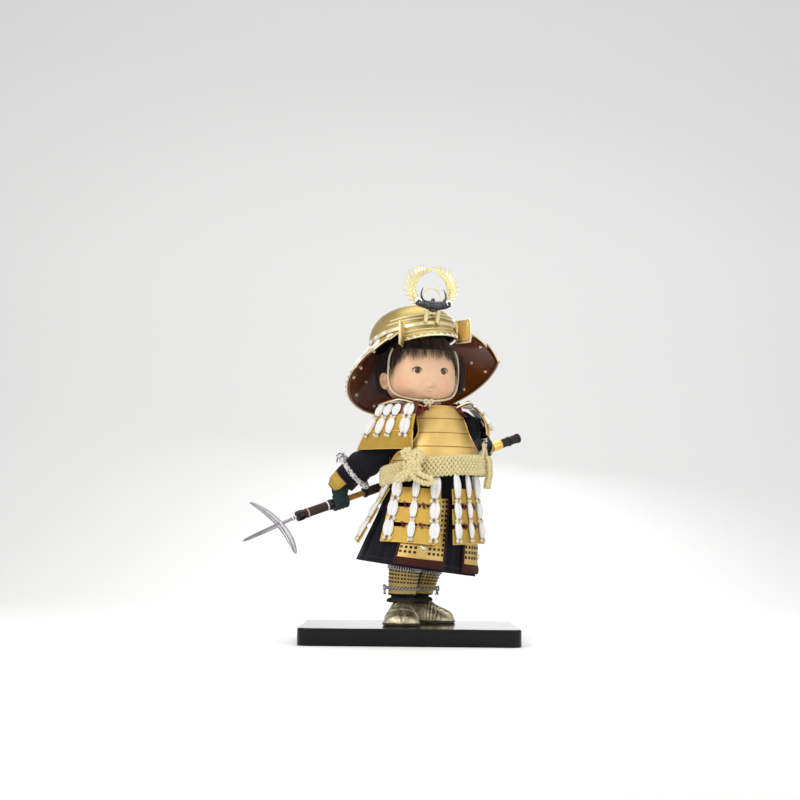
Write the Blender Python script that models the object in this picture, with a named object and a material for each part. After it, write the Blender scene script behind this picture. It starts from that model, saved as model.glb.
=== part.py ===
"""A child samurai doll in gold armour, on a black lacquered board, with a cross-bladed spear.

Metres, +Z up. The origin is the middle of the board's underside. The doll faces -Y and is
turned a little towards +X. Azimuths are in degrees in plan, from -Y towards +X. Right and
left are the doll's own.
"""

import math

import bmesh
import bpy
from mathutils import Matrix, Vector

# Clearances: between stacked pieces, and between curved layers, whose facets cut corners
SEAT_GAP = 0.0003
LAYER_GAP = 0.0005

# Board
BOARD_LENGTH = 0.170
BOARD_DEPTH = 0.120
BOARD_HEIGHT = 0.0134
BOARD_CORNER = 0.008
BOARD_EDGE = 0.0015

# Stance
BODY_Y = 0.003
TRUNK_TURN = 20.0
HEAD_TURN = 19.0
WAIST_HEIGHT = 0.133
WAIST_X = 0.0187
TRUNK_LEAN = 0.034

# Shoes, as height and half width along the foot from the heel
SHOE_STATIONS = (
    (-0.016, 0.0065, 0.009), (-0.0125, 0.0095, 0.0145), (-0.004, 0.0112, 0.0195),
    (0.004, 0.0122, 0.0180), (0.012, 0.0137, 0.0130), (0.019, 0.0140, 0.0098),
    (0.0235, 0.0112, 0.0068), (0.0255, 0.0055, 0.0036),
)
RIGHT_FOOT = (-0.0060, 0.0010, 0.0)
LEFT_FOOT = (0.0115, 0.0315, 82.0)

# Legs and shin guards
LEG_RADIUS_ANKLE = 0.0090
LEG_RADIUS_KNEE = 0.0104
RIGHT_KNEE = (-0.0040, 0.0040)
LEFT_KNEE = (0.0140, 0.0290)
SHIN_GUARD_WALL = 0.0011
SHIN_GUARD_LOW = 0.14
SHIN_GUARD_HIGH = 0.93
SHIN_GUARD_SPREAD = 115.0
SHIN_CORD_RADIUS = 0.0011
SHIN_CORD_LEVEL = 0.32

# Hakama levels: height, middle X, half width, half depth, slope of the level, front dent
HAKAMA_LEVELS = (
    (0.0580, 0.0050, 0.0480, 0.0410, -0.135, 0.0050),
    (0.0780, 0.0088, 0.0443, 0.0375, -0.070, 0.0045),
    (0.0980, 0.0122, 0.0395, 0.0340, 0.000, 0.0025),
    (0.1160, 0.0150, 0.0345, 0.0305, 0.000, 0.0010),
    (0.1324, 0.0185, 0.0310, 0.0270, 0.000, 0.0),
)
HAKAMA_DENT_AZIMUTH = 40.0
HAKAMA_DENT_SPREAD = 20.0

# Thigh guards
THIGH_GUARD_WALL = 0.0012
THIGH_GUARD_LOW = 0.0598
THIGH_GUARD_HIGH = 0.1120
THIGH_GUARD_SPREAD = 23.5
RIGHT_THIGH_AZIMUTH = 2.5
LEFT_THIGH_AZIMUTH = 76.0
STUD_RADIUS = 0.0030

# Tassets: a panel of three laced lames on each side of a five-sided skirt
TASSET_MIDDLE_X = 0.0116
TASSET_TOP = 0.1200
TASSET_BOTTOM = 0.0775
TASSET_TOP_WIDTH = 0.038
TASSET_BOTTOM_WIDTH = 0.048
TASSET_ROWS = 3
TASSET_ROW_GAP = 0.0040
TASSET_BULGE = 0.0016
LAME_WALL = 0.0010
LACE_WIDTH = 0.0062
LACE_DEPTH = 0.0040
LACE_STAND = 0.0010
LACE_OVERHANG = 0.0016
LACE_REACH = 0.0102
LACE_COLUMNS = (-0.80, 0.0, 0.80)
# Panel name, azimuth that it faces, extra flare at its lower edge, roll, lies on a thigh guard
TASSETS = (
    ("front", -12.0, 0.0, -4.0, True),
    ("front_left", 57.0, 0.0, 1.5, True),
    ("back_left", 129.0, 0.004, 0.0, False),
    ("back_right", 201.0, 0.002, 0.0, False),
    ("right", -87.0, 0.006, 0.0, False),
)

# Cuirass, as height and outer half width, and its plates' half angle
CUIRASS_PROFILE = (
    (0.1330, 0.0375), (0.1400, 0.0369), (0.1470, 0.0359), (0.1530, 0.0346), (0.1590, 0.0328),
    (0.1660, 0.0295), (0.1730, 0.0254), (0.1800, 0.0206), (0.1865, 0.0155),
)
PLATE_SPREADS = (88.0, 88.0, 78.0, 58.0, 48.0, 46.0, 54.0, 64.0, 68.0)
TRUNK_DEPTH_RATIO = 0.87
CUIRASS_WALL = 0.0012
TRUNK_GAP = 0.0012

# Sash, its droop to the doll's right, and its knot
SASH_WIDTH = 0.0130
SASH_DEPTH = 0.0056
SASH_GAP = 0.0008
SASH_COLUMNS = 20
SASH_HEIGHT = 0.1370
SASH_SLOPE = 0.13
SASH_SAG = 1.7
KNOT_AZIMUTH = -18.0
KNOT_STAND = 0.0004

# Shoulder yoke
YOKE_WALL = 0.0012
YOKE_HEIGHT = 0.1850
YOKE_RISE = 0.0060
YOKE_DROOP = 0.0050
YOKE_SHIFT = -0.0080
YOKE_HALF_WIDTH = 0.0400
YOKE_HALF_DEPTH = 0.0250
YOKE_THROAT = (0.0172, 0.0160)
YOKE_OPENING = 50.0

# Sleeves: route of the middle and radius
RIGHT_SLEEVE = (
    (0.0030, 0.0020, 0.1700, 0.0125), (-0.0150, 0.0020, 0.1570, 0.0130),
    (-0.0320, 0.0040, 0.1440, 0.0118), (-0.0450, 0.0070, 0.1345, 0.0127),
    (-0.0535, 0.0095, 0.1265, 0.0104),
)
LEFT_SLEEVE = (
    (0.0340, 0.0100, 0.1680, 0.0105), (0.0420, 0.0240, 0.1630, 0.0095),
    (0.0505, 0.0400, 0.1600, 0.0090), (0.0580, 0.0560, 0.1590, 0.0088),
    (0.0610, 0.0635, 0.1585, 0.0080),
)
RIGHT_BAND_LEVEL = 3
LEFT_BAND_LEVEL = 2
BAND_RADIUS = 0.0016

# Shoulder guards: half widths, middle of the lower edge and the azimuth they face
GUARD_WALL = 0.0012
GUARD_TOP_HALF = 0.0150
GUARD_BOTTOM_HALF = 0.0250
GUARD_BULGE = 0.0040
GUARD_TUCK = 0.88
RIGHT_GUARD = ((-0.0222, -0.0190, 0.1516), -30.0)
LEFT_GUARD = ((0.0625, 0.0060, 0.1635), 92.0)

# Spear: a point on its middle line, its turn and its rise, and lengths along it from there
SPEAR_POINT = (-0.0610, 0.0095, 0.1087)
SPEAR_TURN = 26.84
SPEAR_RISE = 19.02
SHAFT_RADIUS = 0.0025
GRIP_RADIUS = 0.00375
RING_RADIUS = 0.0043
FRONT_GRIP_START = -0.0340
MIDDLE_GRIP_START = 0.0275
MIDDLE_GRIP_END = 0.0600
BUTT_START = 0.1640
BUTT_END = 0.1835
BLADE_LENGTH = 0.0490
BLADE_DROOP = 4.5
BLADE_HALF_WIDTH = 0.0022
BLADE_HALF_DEPTH = 0.0017
CROSS_FROM_TIP = 0.0335
CROSS_SPAN = 0.0700
CROSS_SWEEP = 0.0065
CROSS_HALF_WIDTH = 0.0034
CROSS_WALL = 0.0016
CROSS_ROLL = 51.0
RIGHT_GRASP = 0.0050
LEFT_GRASP = 0.1455

# Hands
HAND_HALF = (0.0080, 0.0065, 0.0088)
HAND_LIFT = 0.0085
FIST_RADIUS = 0.0060
FIST_HALF_LENGTH = 0.0072
HAND_PLATE_WALL = 0.0008

# Head
HEAD_MIDDLE = (0.0075, BODY_Y, 0.2090)
HEAD_HALF_WIDTH = 0.0285
HEAD_HALF_DEPTH = 0.0270
HEAD_BELOW = 0.0205
HEAD_ABOVE = 0.0410
JAW_FULLNESS = 0.80
HEAD_LEVELS = (-90, -76, -62, -48, -35, -22, -12, 0, 8, 16, 27, 45, 68, 90)
HEAD_COLUMNS = 20
NECK_RADIUS = 0.0075
NECK_PLACE = (0.0175, 0.0045)
EYE_AZIMUTH = 24.0
EYE_LEVEL = 5.6
EYE_HALF = (0.0031, 0.0015, 0.0025)
EAR_HALF = (0.0026, 0.0046, 0.0070)
CHIN_CORD_RADIUS = 0.0013
HAIR_WALL = 0.0030
HAIRLINE_AZIMUTH = 60.0
NAPE_AZIMUTH = 105.0

# Helmet: the bowl and the flaring neck guard share the head's turn
BOWL_MIDDLE = (0.0020, 0.0060, 0.2400)
BOWL_HALF_WIDTH = 0.0345
BOWL_HALF_DEPTH = 0.0370
BOWL_HEIGHT = 0.0255
BOWL_WALL = 0.0014
BOWL_PITCH = 13.0
BOWL_ROLL = -6.0
PEAK_SPREAD = 33.0
PEAK_REACH = 0.0070
PEAK_DROP = 0.0105
PEAK_WALL = 0.0012
# Neck guard's top and bottom edge: middle, half width and depth, half opening, pitch
NECK_GUARD_TOP = (0.0040, 0.0055, 0.2392, 0.0365, 0.0385, 37.0, 13.0)
NECK_GUARD_BOTTOM = (0.0105, 0.0035, 0.2145, 0.0590, 0.0590, 81.0, 29.0)
NECK_GUARD_ROLL = -6.0
NECK_GUARD_ROWS = 3
NECK_GUARD_WALL = 0.0011
TURNBACK_WIDTH = 0.0150
TURNBACK_HEIGHT = 0.0175
TURNBACK_DROP = 0.0120
TURNBACK_WALL = 0.0014
TURNBACK_SPLAY = 19.0

# Crest
WREATH_MIDDLE = (0.0155, -0.0282, 0.2780)
WREATH_HALF_WIDTH = 0.0255
WREATH_HALF_HEIGHT = 0.0205
WREATH_BAND = 0.0130
WREATH_WALL = 0.0010
WREATH_LEAVES = 17
HORN_SPREAD = 0.0118
HORN_RISE = 0.0180
HORN_BODY_RADIUS = 0.0026
PEG_RADIUS = 0.0020
PEG_DROP = 0.0100
PEG_LEAN = 15.0
PEG_SPREAD = 0.0048

GOLD = ("gold lacquer", (0.62, 0.42, 0.11), 0.35, 0.85)
PALE_GOLD = ("pale gold", (0.70, 0.56, 0.25), 0.35, 0.85)
BLACK_LACQUER = ("black lacquer", (0.012, 0.011, 0.012), 0.06, 0.0)
BROWN_LACQUER = ("brown lacquer", (0.13, 0.045, 0.015), 0.25, 0.0)
NAVY_CLOTH = ("navy cloth", (0.017, 0.019, 0.030), 0.9, 0.0)
SHOE_LEATHER = ("bronze leather", (0.20, 0.16, 0.08), 0.3, 0.5)
CREAM_CORD = ("cream cord", (0.76, 0.68, 0.42), 0.8, 0.0)
WHITE_CORD = ("white cord", (0.82, 0.82, 0.80), 0.8, 0.0)
SKIN = ("skin", (0.82, 0.55, 0.38), 0.5, 0.0)
HAIR = ("hair", (0.020, 0.014, 0.012), 0.5, 0.0)
EYE_GLASS = ("eye glass", (0.03, 0.018, 0.012), 0.05, 0.0)
GLOVE = ("glove", (0.030, 0.055, 0.060), 0.6, 0.0)
STEEL = ("steel", (0.30, 0.31, 0.34), 0.25, 1.0)
DARK_METAL = ("dark metal", (0.08, 0.08, 0.09), 0.35, 0.9)
SHAFT_WOOD = ("shaft", (0.50, 0.27, 0.07), 0.3, 0.2)
LINING = ("lining", (0.10, 0.09, 0.08), 0.9, 0.0)


def heading(azimuth):
    """Unit vector in plan that an azimuth points along."""
    angle = math.radians(azimuth)
    return Vector((math.sin(angle), -math.cos(angle), 0.0))


def blend(table, key):
    """Row of a table at a key between its rows; the first value of a row is its key."""
    if key <= table[0][0]:
        return table[0][1:]
    for low, high in zip(table, table[1:]):
        if key <= high[0]:
            share = (key - low[0]) / (high[0] - low[0])
            return tuple(a + (b - a) * share for a, b in zip(low[1:], high[1:]))
    return table[-1][1:]


def steps(start, end, count):
    """Evenly spaced values, both ends included."""
    return [start + (end - start) * i / (count - 1) for i in range(count)]


def through(points, count):
    """Points along a smooth curve through the given ones."""
    ends = [points[0] * 2 - points[1], *points, points[-1] * 2 - points[-2]]
    spans = len(points) - 1
    curve = []
    for value in steps(0.0, spans, count):
        i = min(int(value), spans - 1)
        t = value - i
        a, b, c, d = ends[i:i + 4]
        curve.append(0.5 * (2 * b + (c - a) * t + (2 * a - 5 * b + 4 * c - d) * t ** 2
                            + (3 * b - 3 * c + d - a) * t ** 3))
    return curve


def clear_scene():
    for item in list(bpy.data.objects):
        bpy.data.objects.remove(item, do_unlink=True)


def material(finish):
    name, colour, roughness, metallic = finish
    made = bpy.data.materials.new(name)
    made.use_nodes = True
    shader = made.node_tree.nodes["Principled BSDF"]
    shader.inputs["Base Color"].default_value = (*colour, 1.0)
    shader.inputs["Roughness"].default_value = roughness
    shader.inputs["Metallic"].default_value = metallic
    return made


def place(name, data, finish, frame=None):
    """Adds an object with its own material, in a frame."""
    made = bpy.data.objects.new(name, data)
    bpy.context.scene.collection.objects.link(made)
    made.data.materials.append(material(finish))
    if frame is not None:
        made.matrix_world = frame
    return made


def solid(name, bm, finish, frame=None):
    """An object from a closed bmesh."""
    mesh = bpy.data.meshes.new(name)
    bm.to_mesh(mesh)
    bm.free()
    mesh.shade_smooth()
    mesh.set_sharp_from_angle(angle=math.radians(40.0))
    return place(name, mesh, finish, frame)


def skin(rows, closed=True, capped=True):
    """Faces through rows of points. Rows that rise, with points to the right, face out."""
    bm = bmesh.new()
    lines = [[bm.verts.new(point) for point in row] for row in rows]
    for low, high in zip(lines, lines[1:]):
        wrap = len(low) if closed else len(low) - 1
        for i in range(wrap):
            j = (i + 1) % len(low)
            bm.faces.new((low[i], low[j], high[j], high[i]))
    if closed and capped:
        bm.faces.new(list(reversed(lines[0])))
        bm.faces.new(lines[-1])
    return bm


def lofted(name, rings, finish, frame=None):
    """A closed body through rings."""
    bm = skin(rings)
    bmesh.ops.recalc_face_normals(bm, faces=bm.faces)
    return solid(name, bm, finish, frame)


def plate(name, rows, wall, finish, closed=False):
    """A sheet through rows of its inner face, thickened outwards."""
    made = solid(name, skin(rows, closed=closed, capped=False), finish)
    shell = made.modifiers.new("wall", "SOLIDIFY")
    shell.thickness = wall
    shell.offset = 1.0
    shell.use_even_offset = True
    return made


def tube(name, points, radius, finish, cyclic=False):
    """A round cord along points."""
    curve = bpy.data.curves.new(name, "CURVE")
    curve.dimensions = "3D"
    curve.bevel_depth = radius
    curve.bevel_resolution = 1
    curve.use_fill_caps = True
    spline = curve.splines.new("POLY")
    spline.points.add(len(points) - 1)
    for knot, point in zip(spline.points, points):
        knot.co = (*point, 1.0)
    spline.use_cyclic_u = cyclic
    return place(name, curve, finish)


def ellipsoid(name, half, finish, frame, columns=12, levels=8):
    """An egg of three half sizes."""
    bm = bmesh.new()
    bmesh.ops.create_uvsphere(bm, u_segments=columns, v_segments=levels, radius=1.0)
    bmesh.ops.scale(bm, vec=Vector(half), verts=bm.verts)
    return solid(name, bm, finish, frame)


def turned(name, profile, finish, frame, sides=12):
    """A body turned about its frame's Z, from pairs of height and radius."""
    rings = [
        [Vector((radius * math.cos(a), radius * math.sin(a), height))
         for a in steps(0.0, math.tau * (sides - 1) / sides, sides)]
        for height, radius in profile
    ]
    return lofted(name, rings, finish, frame)


def helper(item):
    """Marks an object as a guide for a Boolean."""
    item.hide_render = True
    item.display_type = "WIRE"
    return item


def combine(target, other, operation):
    """Joins a guide to the target, or cuts it away."""
    modifier = target.modifiers.new(operation.lower(), "BOOLEAN")
    modifier.operation = operation
    modifier.object = helper(other)
    return target


def facing(origin, azimuth, rise=0.0, roll=0.0):
    """A frame whose -Y looks along an azimuth, raised and then rolled."""
    return (Matrix.Translation(Vector(origin)) @ Matrix.Rotation(math.radians(azimuth), 4, "Z")
            @ Matrix.Rotation(math.radians(-rise), 4, "X")
            @ Matrix.Rotation(math.radians(roll), 4, "Y"))


def trunk_middle(height):
    return Vector((WAIST_X + TRUNK_LEAN * (height - WAIST_HEIGHT), BODY_Y, height))


def trunk_point(turn, height, outset):
    """A point on the trunk's oval, an outset from the cuirass's outer face."""
    half, = blend(CUIRASS_PROFILE, height)
    angle = math.radians(turn)
    across = heading(TRUNK_TURN + 90.0) * (half + outset) * math.sin(angle)
    ahead = heading(TRUNK_TURN) * (half * TRUNK_DEPTH_RATIO + outset) * math.cos(angle)
    return trunk_middle(height) + across + ahead


def hakama_point(azimuth, height, outset):
    """A point on the hakama, an outset from its cloth."""
    middle, width, depth, slope, dent = blend(HAKAMA_LEVELS, height)
    away = (azimuth - HAKAMA_DENT_AZIMUTH + 180.0) % 360.0 - 180.0
    inward = dent * math.exp(-(away / HAKAMA_DENT_SPREAD) ** 2)
    way = heading(azimuth)
    x = way.x * (width + outset - inward)
    y = way.y * (depth + outset - inward)
    return Vector((middle + x, BODY_Y + y, height + slope * x))


def hakama_reach(azimuth, height, outset):
    """How far the hakama stands out from the tassets' middle along an azimuth."""
    middle = Vector((TASSET_MIDDLE_X, BODY_Y, 0.0))
    return max((hakama_point(a, height, outset) - middle).dot(heading(azimuth))
               for a in steps(0.0, 355.0, 72))


def sash_height(place_x):
    """Height of the sash's middle line, which droops to the doll's right."""
    off = place_x - WAIST_X
    return SASH_HEIGHT + SASH_SLOPE * off - SASH_SAG * off * off


def yoke_point(turn, share):
    """A point of the yoke's lower face: share 0 at the throat and 1 at its rim."""
    angle = math.radians(turn)
    wide = YOKE_THROAT[0] + (YOKE_HALF_WIDTH - YOKE_THROAT[0]) * share
    deep = YOKE_THROAT[1] + (YOKE_HALF_DEPTH - YOKE_THROAT[1]) * share
    side = heading(TRUNK_TURN + 90.0) * (wide * math.sin(angle) + YOKE_SHIFT * share)
    point = trunk_middle(YOKE_HEIGHT) + side + heading(TRUNK_TURN) * deep * math.cos(angle)
    point.z += YOKE_RISE * share - YOKE_DROOP * (share * math.sin(angle)) ** 4
    return point


def yoke_height(point):
    """Height of the yoke's lower face over a point in plan."""
    off = point - trunk_middle(YOKE_HEIGHT)
    side, ahead = off.dot(heading(TRUNK_TURN + 90.0)), off.dot(heading(TRUNK_TURN))
    low, high = 0.0, 2.0
    for _ in range(24):
        share = 0.5 * (low + high)
        wide = YOKE_THROAT[0] + (YOKE_HALF_WIDTH - YOKE_THROAT[0]) * share
        deep = YOKE_THROAT[1] + (YOKE_HALF_DEPTH - YOKE_THROAT[1]) * share
        across = (side - YOKE_SHIFT * share) / wide
        if math.hypot(across, ahead / deep) > 1.0:
            low = share
        else:
            high = share
    return YOKE_HEIGHT + YOKE_RISE * share - YOKE_DROOP * (share * across) ** 4


def spear_frame(along):
    """A frame on the spear's middle line, whose Z runs to the butt."""
    turn, rise = math.radians(SPEAR_TURN), math.radians(SPEAR_RISE)
    way = Vector((math.cos(turn) * math.cos(rise), math.sin(turn) * math.cos(rise), math.sin(rise)))
    side = Vector((-math.sin(turn), math.cos(turn), 0.0))
    over = way.cross(side)
    basis = Matrix((side, over, way)).transposed().to_4x4()
    return Matrix.Translation(Vector(SPEAR_POINT) + way * along) @ basis


def spear_profile(outset):
    """The turned profile of the shaft with its grips and rings, grown by an outset."""
    profile = (
        (FRONT_GRIP_START, 0.6 * GRIP_RADIUS), (FRONT_GRIP_START + 0.002, 0.92 * GRIP_RADIUS),
        (FRONT_GRIP_START + 0.0085, GRIP_RADIUS), (FRONT_GRIP_START + 0.0095, RING_RADIUS),
        (FRONT_GRIP_START + 0.0110, GRIP_RADIUS), (-0.0070, GRIP_RADIUS), (-0.0055, RING_RADIUS),
        (-0.0040, GRIP_RADIUS), (0.0, GRIP_RADIUS), (0.0006, SHAFT_RADIUS),
        (MIDDLE_GRIP_START, SHAFT_RADIUS), (MIDDLE_GRIP_START + 0.0006, 0.9 * GRIP_RADIUS),
        (MIDDLE_GRIP_END, 0.9 * GRIP_RADIUS), (MIDDLE_GRIP_END + 0.0006, SHAFT_RADIUS),
        (BUTT_START, SHAFT_RADIUS), (BUTT_START + 0.0006, GRIP_RADIUS),
        (BUTT_END - 0.0105, GRIP_RADIUS), (BUTT_END - 0.0095, RING_RADIUS),
        (BUTT_END - 0.0080, GRIP_RADIUS), (BUTT_END - 0.0008, GRIP_RADIUS), (BUTT_END, 0.8 * GRIP_RADIUS),
    )
    return [(height, radius + outset) for height, radius in profile]


def head_point(azimuth, level, outset=0.0):
    """A point on the head: azimuth from the face's middle, level from -90 under the chin to 90."""
    angle = math.radians(level)
    fullness = JAW_FULLNESS if level < 0 else 1.0
    height = HEAD_BELOW if level < 0 else HEAD_ABOVE
    out = max(math.cos(angle), 0.0) ** fullness
    up = math.copysign(abs(math.sin(angle)) ** fullness, level)
    turned_by = (azimuth + 180.0) % 360.0 - 180.0
    nose = 0.0022 * math.exp(-(turned_by / 6.5) ** 2 - ((level + 15.0) / 7.0) ** 2)
    cheeks = 0.0012 * math.exp(-((abs(turned_by) - 36.0) / 16.0) ** 2 - ((level + 24.0) / 16.0) ** 2)
    brow = -0.0008 * math.exp(-((abs(turned_by) - 23.0) / 12.0) ** 2 - ((level - 4.0) / 9.0) ** 2)
    shape = (nose + cheeks + brow) * out
    way = heading(HEAD_TURN + azimuth)
    side = heading(HEAD_TURN + 90.0)
    ahead = heading(HEAD_TURN)
    across = side * side.dot(way) * (HEAD_HALF_WIDTH + outset + shape) * out
    along = ahead * ahead.dot(way) * (HEAD_HALF_DEPTH + outset + shape) * out
    return Vector(HEAD_MIDDLE) + across + along + Vector((0.0, 0.0, up * (height + outset)))


def bowl_frame():
    return facing(BOWL_MIDDLE, HEAD_TURN, BOWL_PITCH, BOWL_ROLL)


def bowl_point(azimuth, level, outset=0.0):
    """A point of the bowl's inner face in its frame: level 0 is the rim and 90 the crown."""
    angle = math.radians(level)
    out = max(math.cos(angle), 0.0) ** 0.72
    up = math.sin(max(angle, 0.0)) ** 0.95
    way = heading(azimuth)
    return Vector((way.x * out * (BOWL_HALF_WIDTH + outset), way.y * out * (BOWL_HALF_DEPTH + outset),
                   up * (BOWL_HEIGHT + outset)))


def neck_guard_point(share, azimuth_share, outset=0.0):
    """A point of the neck guard: share 0 at its top and 1 at its rim, azimuth share 0 to 1."""
    x, y, z, wide, deep, opening, pitch = (
        a + (b - a) * share for a, b in zip(NECK_GUARD_TOP, NECK_GUARD_BOTTOM))
    azimuth = opening + (360.0 - 2.0 * opening) * azimuth_share
    flat = Matrix.Rotation(math.radians(-pitch), 4, "X") @ Matrix.Rotation(
        math.radians(NECK_GUARD_ROLL), 4, "Y")
    way = heading(azimuth)
    local = flat @ Vector((way.x * (wide + outset), way.y * (deep + outset), 0.0))
    turn = Matrix.Rotation(math.radians(HEAD_TURN), 4, "Z")
    return turn @ local + Vector((x, y, z))


def build_board():
    bm = bmesh.new()
    corner_x = BOARD_LENGTH / 2 - BOARD_CORNER
    corner_y = BOARD_DEPTH / 2 - BOARD_CORNER
    outline = []
    for i, (sx, sy) in enumerate(((1, 1), (-1, 1), (-1, -1), (1, -1))):
        for a in steps(90.0 * i, 90.0 * i + 90.0, 4):
            angle = math.radians(a)
            outline.append(bm.verts.new((sx * corner_x + BOARD_CORNER * math.cos(angle),
                                         sy * corner_y + BOARD_CORNER * math.sin(angle), 0.0)))
    floor = bm.faces.new(outline)
    raised = bmesh.ops.extrude_face_region(bm, geom=[floor])
    top = [v for v in raised["geom"] if isinstance(v, bmesh.types.BMVert)]
    bmesh.ops.translate(bm, vec=(0.0, 0.0, BOARD_HEIGHT), verts=top)
    bmesh.ops.recalc_face_normals(bm, faces=bm.faces)
    board = solid("base_board", bm, BLACK_LACQUER)
    edge = board.modifiers.new("edge", "BEVEL")
    edge.width = BOARD_EDGE
    edge.segments = 2
    edge.limit_method = "ANGLE"
    edge.angle_limit = math.radians(60.0)


def ankle_height():
    return BOARD_HEIGHT + SEAT_GAP + max(height for _, _, height in SHOE_STATIONS)


def build_shoe(side, foot):
    rings = []
    for along, half, height in SHOE_STATIONS:
        ring = [Vector((-half * math.cos(a), -along, height * math.sin(a) ** 0.8))
                for a in steps(0.0, math.pi, 9)]
        rings.append(ring)
    x, y, turn = foot
    frame = facing((x, y, BOARD_HEIGHT + SEAT_GAP), turn)
    lofted(f"{side}_shoe", rings, SHOE_LEATHER, frame)


def leg_middle(foot, knee, share):
    """Middle of a leg, from the ankle at 0 to the hakama's underside at 1."""
    x, y, turn = foot
    ankle = Vector((x, y, 0.0)) - heading(turn) * 0.004
    top, = blend(((0.0, 0.0), (1.0, 1.0)), share)
    plan = ankle.lerp(Vector((*knee, 0.0)), top)
    low = ankle_height() + SEAT_GAP
    high = HAKAMA_LEVELS[0][0]
    return Vector((plan.x, plan.y, low + (high - low) * share))


def leg_ring(foot, knee, share, outset, turns):
    """Points round a leg; at the top they follow the slope of the hakama's underside."""
    middle = leg_middle(foot, knee, share)
    radius = LEG_RADIUS_ANKLE + (LEG_RADIUS_KNEE - LEG_RADIUS_ANKLE) * share + outset
    _, hem_x, _, _, slope, _ = HAKAMA_LEVELS[0]
    ring = []
    for turn in turns:
        point = middle + heading(turn) * radius
        point.z += (slope * (point.x - hem_x) - SEAT_GAP) * share
        ring.append(point)
    return ring


def build_leg(side, foot, knee):
    round_turns = steps(0.0, 337.5, 16)
    rings = [leg_ring(foot, knee, share, 0.0, round_turns) for share in (0.0, 0.5, 1.0)]
    lofted(f"{side}_leg", rings, NAVY_CLOTH)
    turn = foot[2] * 0.5
    guard_turns = steps(turn - SHIN_GUARD_SPREAD, turn + SHIN_GUARD_SPREAD, 11)
    rows = [leg_ring(foot, knee, share, LAYER_GAP, guard_turns)
            for share in steps(SHIN_GUARD_LOW, SHIN_GUARD_HIGH, 3)]
    plate(f"{side}_shin_guard", rows, SHIN_GUARD_WALL, GOLD)
    outset = 2 * LAYER_GAP + SHIN_GUARD_WALL + SHIN_CORD_RADIUS
    loop = leg_ring(foot, knee, SHIN_CORD_LEVEL, outset, round_turns)
    tube(f"{side}_shin_cord", loop, SHIN_CORD_RADIUS, WHITE_CORD, cyclic=True)


def build_hakama():
    heights = [level[0] for level in HAKAMA_LEVELS]
    rings = [[hakama_point(a, height, 0.0) for a in steps(0.0, 348.0, 30)] for height in heights]
    lofted("hakama", rings, NAVY_CLOTH)


def build_thigh_guard(side, azimuth):
    heights = sorted({THIGH_GUARD_LOW, 0.078, 0.098, THIGH_GUARD_HIGH})
    turns = steps(azimuth - THIGH_GUARD_SPREAD, azimuth + THIGH_GUARD_SPREAD, 6)
    rows = [[hakama_point(a, height, LAYER_GAP) for a in turns] for height in heights]
    plate(f"{side}_thigh_guard", rows, THIGH_GUARD_WALL, GOLD)


def lace(name, width, depth, length, frame):
    """One laced bundle of cord: a spindle that hangs along its frame's -Z."""
    rings = []
    for share in (0.03, 0.42, 0.97):
        swell = math.sin(math.pi * share) ** 0.7
        rings.append([Vector((0.5 * width * swell * math.cos(a), 0.5 * depth * swell * math.sin(a),
                              -length * share)) for a in steps(0.0, math.tau * 5 / 6, 6)])
    return lofted(name, rings, WHITE_CORD, frame)


def build_tasset(name, azimuth, flare, roll, on_guard):
    outset = LAYER_GAP + (THIGH_GUARD_WALL + 2 * LAYER_GAP if on_guard else 0.0)
    way = heading(azimuth)
    across = heading(azimuth + 90.0)
    middle = Vector((TASSET_MIDDLE_X, BODY_Y, 0.0))
    top_out = hakama_reach(azimuth, TASSET_TOP, outset) - TASSET_BULGE
    low_out = hakama_reach(azimuth, TASSET_BOTTOM, outset) - TASSET_BULGE + flare
    top = middle + way * top_out + Vector((0.0, 0.0, TASSET_TOP))
    low = middle + way * low_out + Vector((0.0, 0.0, TASSET_BOTTOM))
    down = (low - top).normalized()
    length = (low - top).length
    out = across.cross(down).normalized()
    if out.dot(way) < 0:
        out = -out
    tilt = Matrix.Rotation(math.radians(roll), 4, out)
    basis = Matrix((across, -out, -down)).transposed().to_4x4()
    frame = Matrix.Translation(top) @ tilt @ basis
    row_length = (length - (TASSET_ROWS - 1) * TASSET_ROW_GAP) / TASSET_ROWS
    for row in range(TASSET_ROWS):
        start = row * (row_length + TASSET_ROW_GAP)
        rows = []
        for along in (start + row_length, start):
            half = 0.5 * (TASSET_TOP_WIDTH + (TASSET_BOTTOM_WIDTH - TASSET_TOP_WIDTH) * along / length)
            rows.append([Vector((half * s, -TASSET_BULGE * (1 - s * s), -along))
                         for s in steps(-1.0, 1.0, 5)])
        lame = plate(f"tasset_{name}_lame_{row + 1}", rows, LAME_WALL, GOLD)
        lame.matrix_world = frame
        half_top = 0.5 * (TASSET_TOP_WIDTH + (TASSET_BOTTOM_WIDTH - TASSET_TOP_WIDTH) * start / length)
        for i, share in enumerate(LACE_COLUMNS):
            rise = TASSET_ROW_GAP + LACE_OVERHANG
            spot = Vector((half_top * share, -TASSET_BULGE * (1 - share * share) - LAME_WALL - LACE_STAND,
                           -start + rise))
            if row == 0:
                world = frame @ spot
                rise = min(0.012, sash_height(world.x) - 0.5 * SASH_WIDTH - 3 * LAYER_GAP - TASSET_TOP)
                spot.z = -start + rise
            made = lace(f"lace_{name}_{row}_{i}", LACE_WIDTH, LACE_DEPTH, rise + LACE_REACH,
                        frame @ Matrix.Translation(spot))
            combine(lame, made, "UNION")


def trunk_envelope(name, outset):
    """A closed body round the trunk, an outset from the cuirass's outer face."""
    rings = [[trunk_point(a, height, outset) for a in steps(0.0, 342.0, 20)]
             for height, _ in CUIRASS_PROFILE]
    return lofted(name, rings, LINING)


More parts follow.
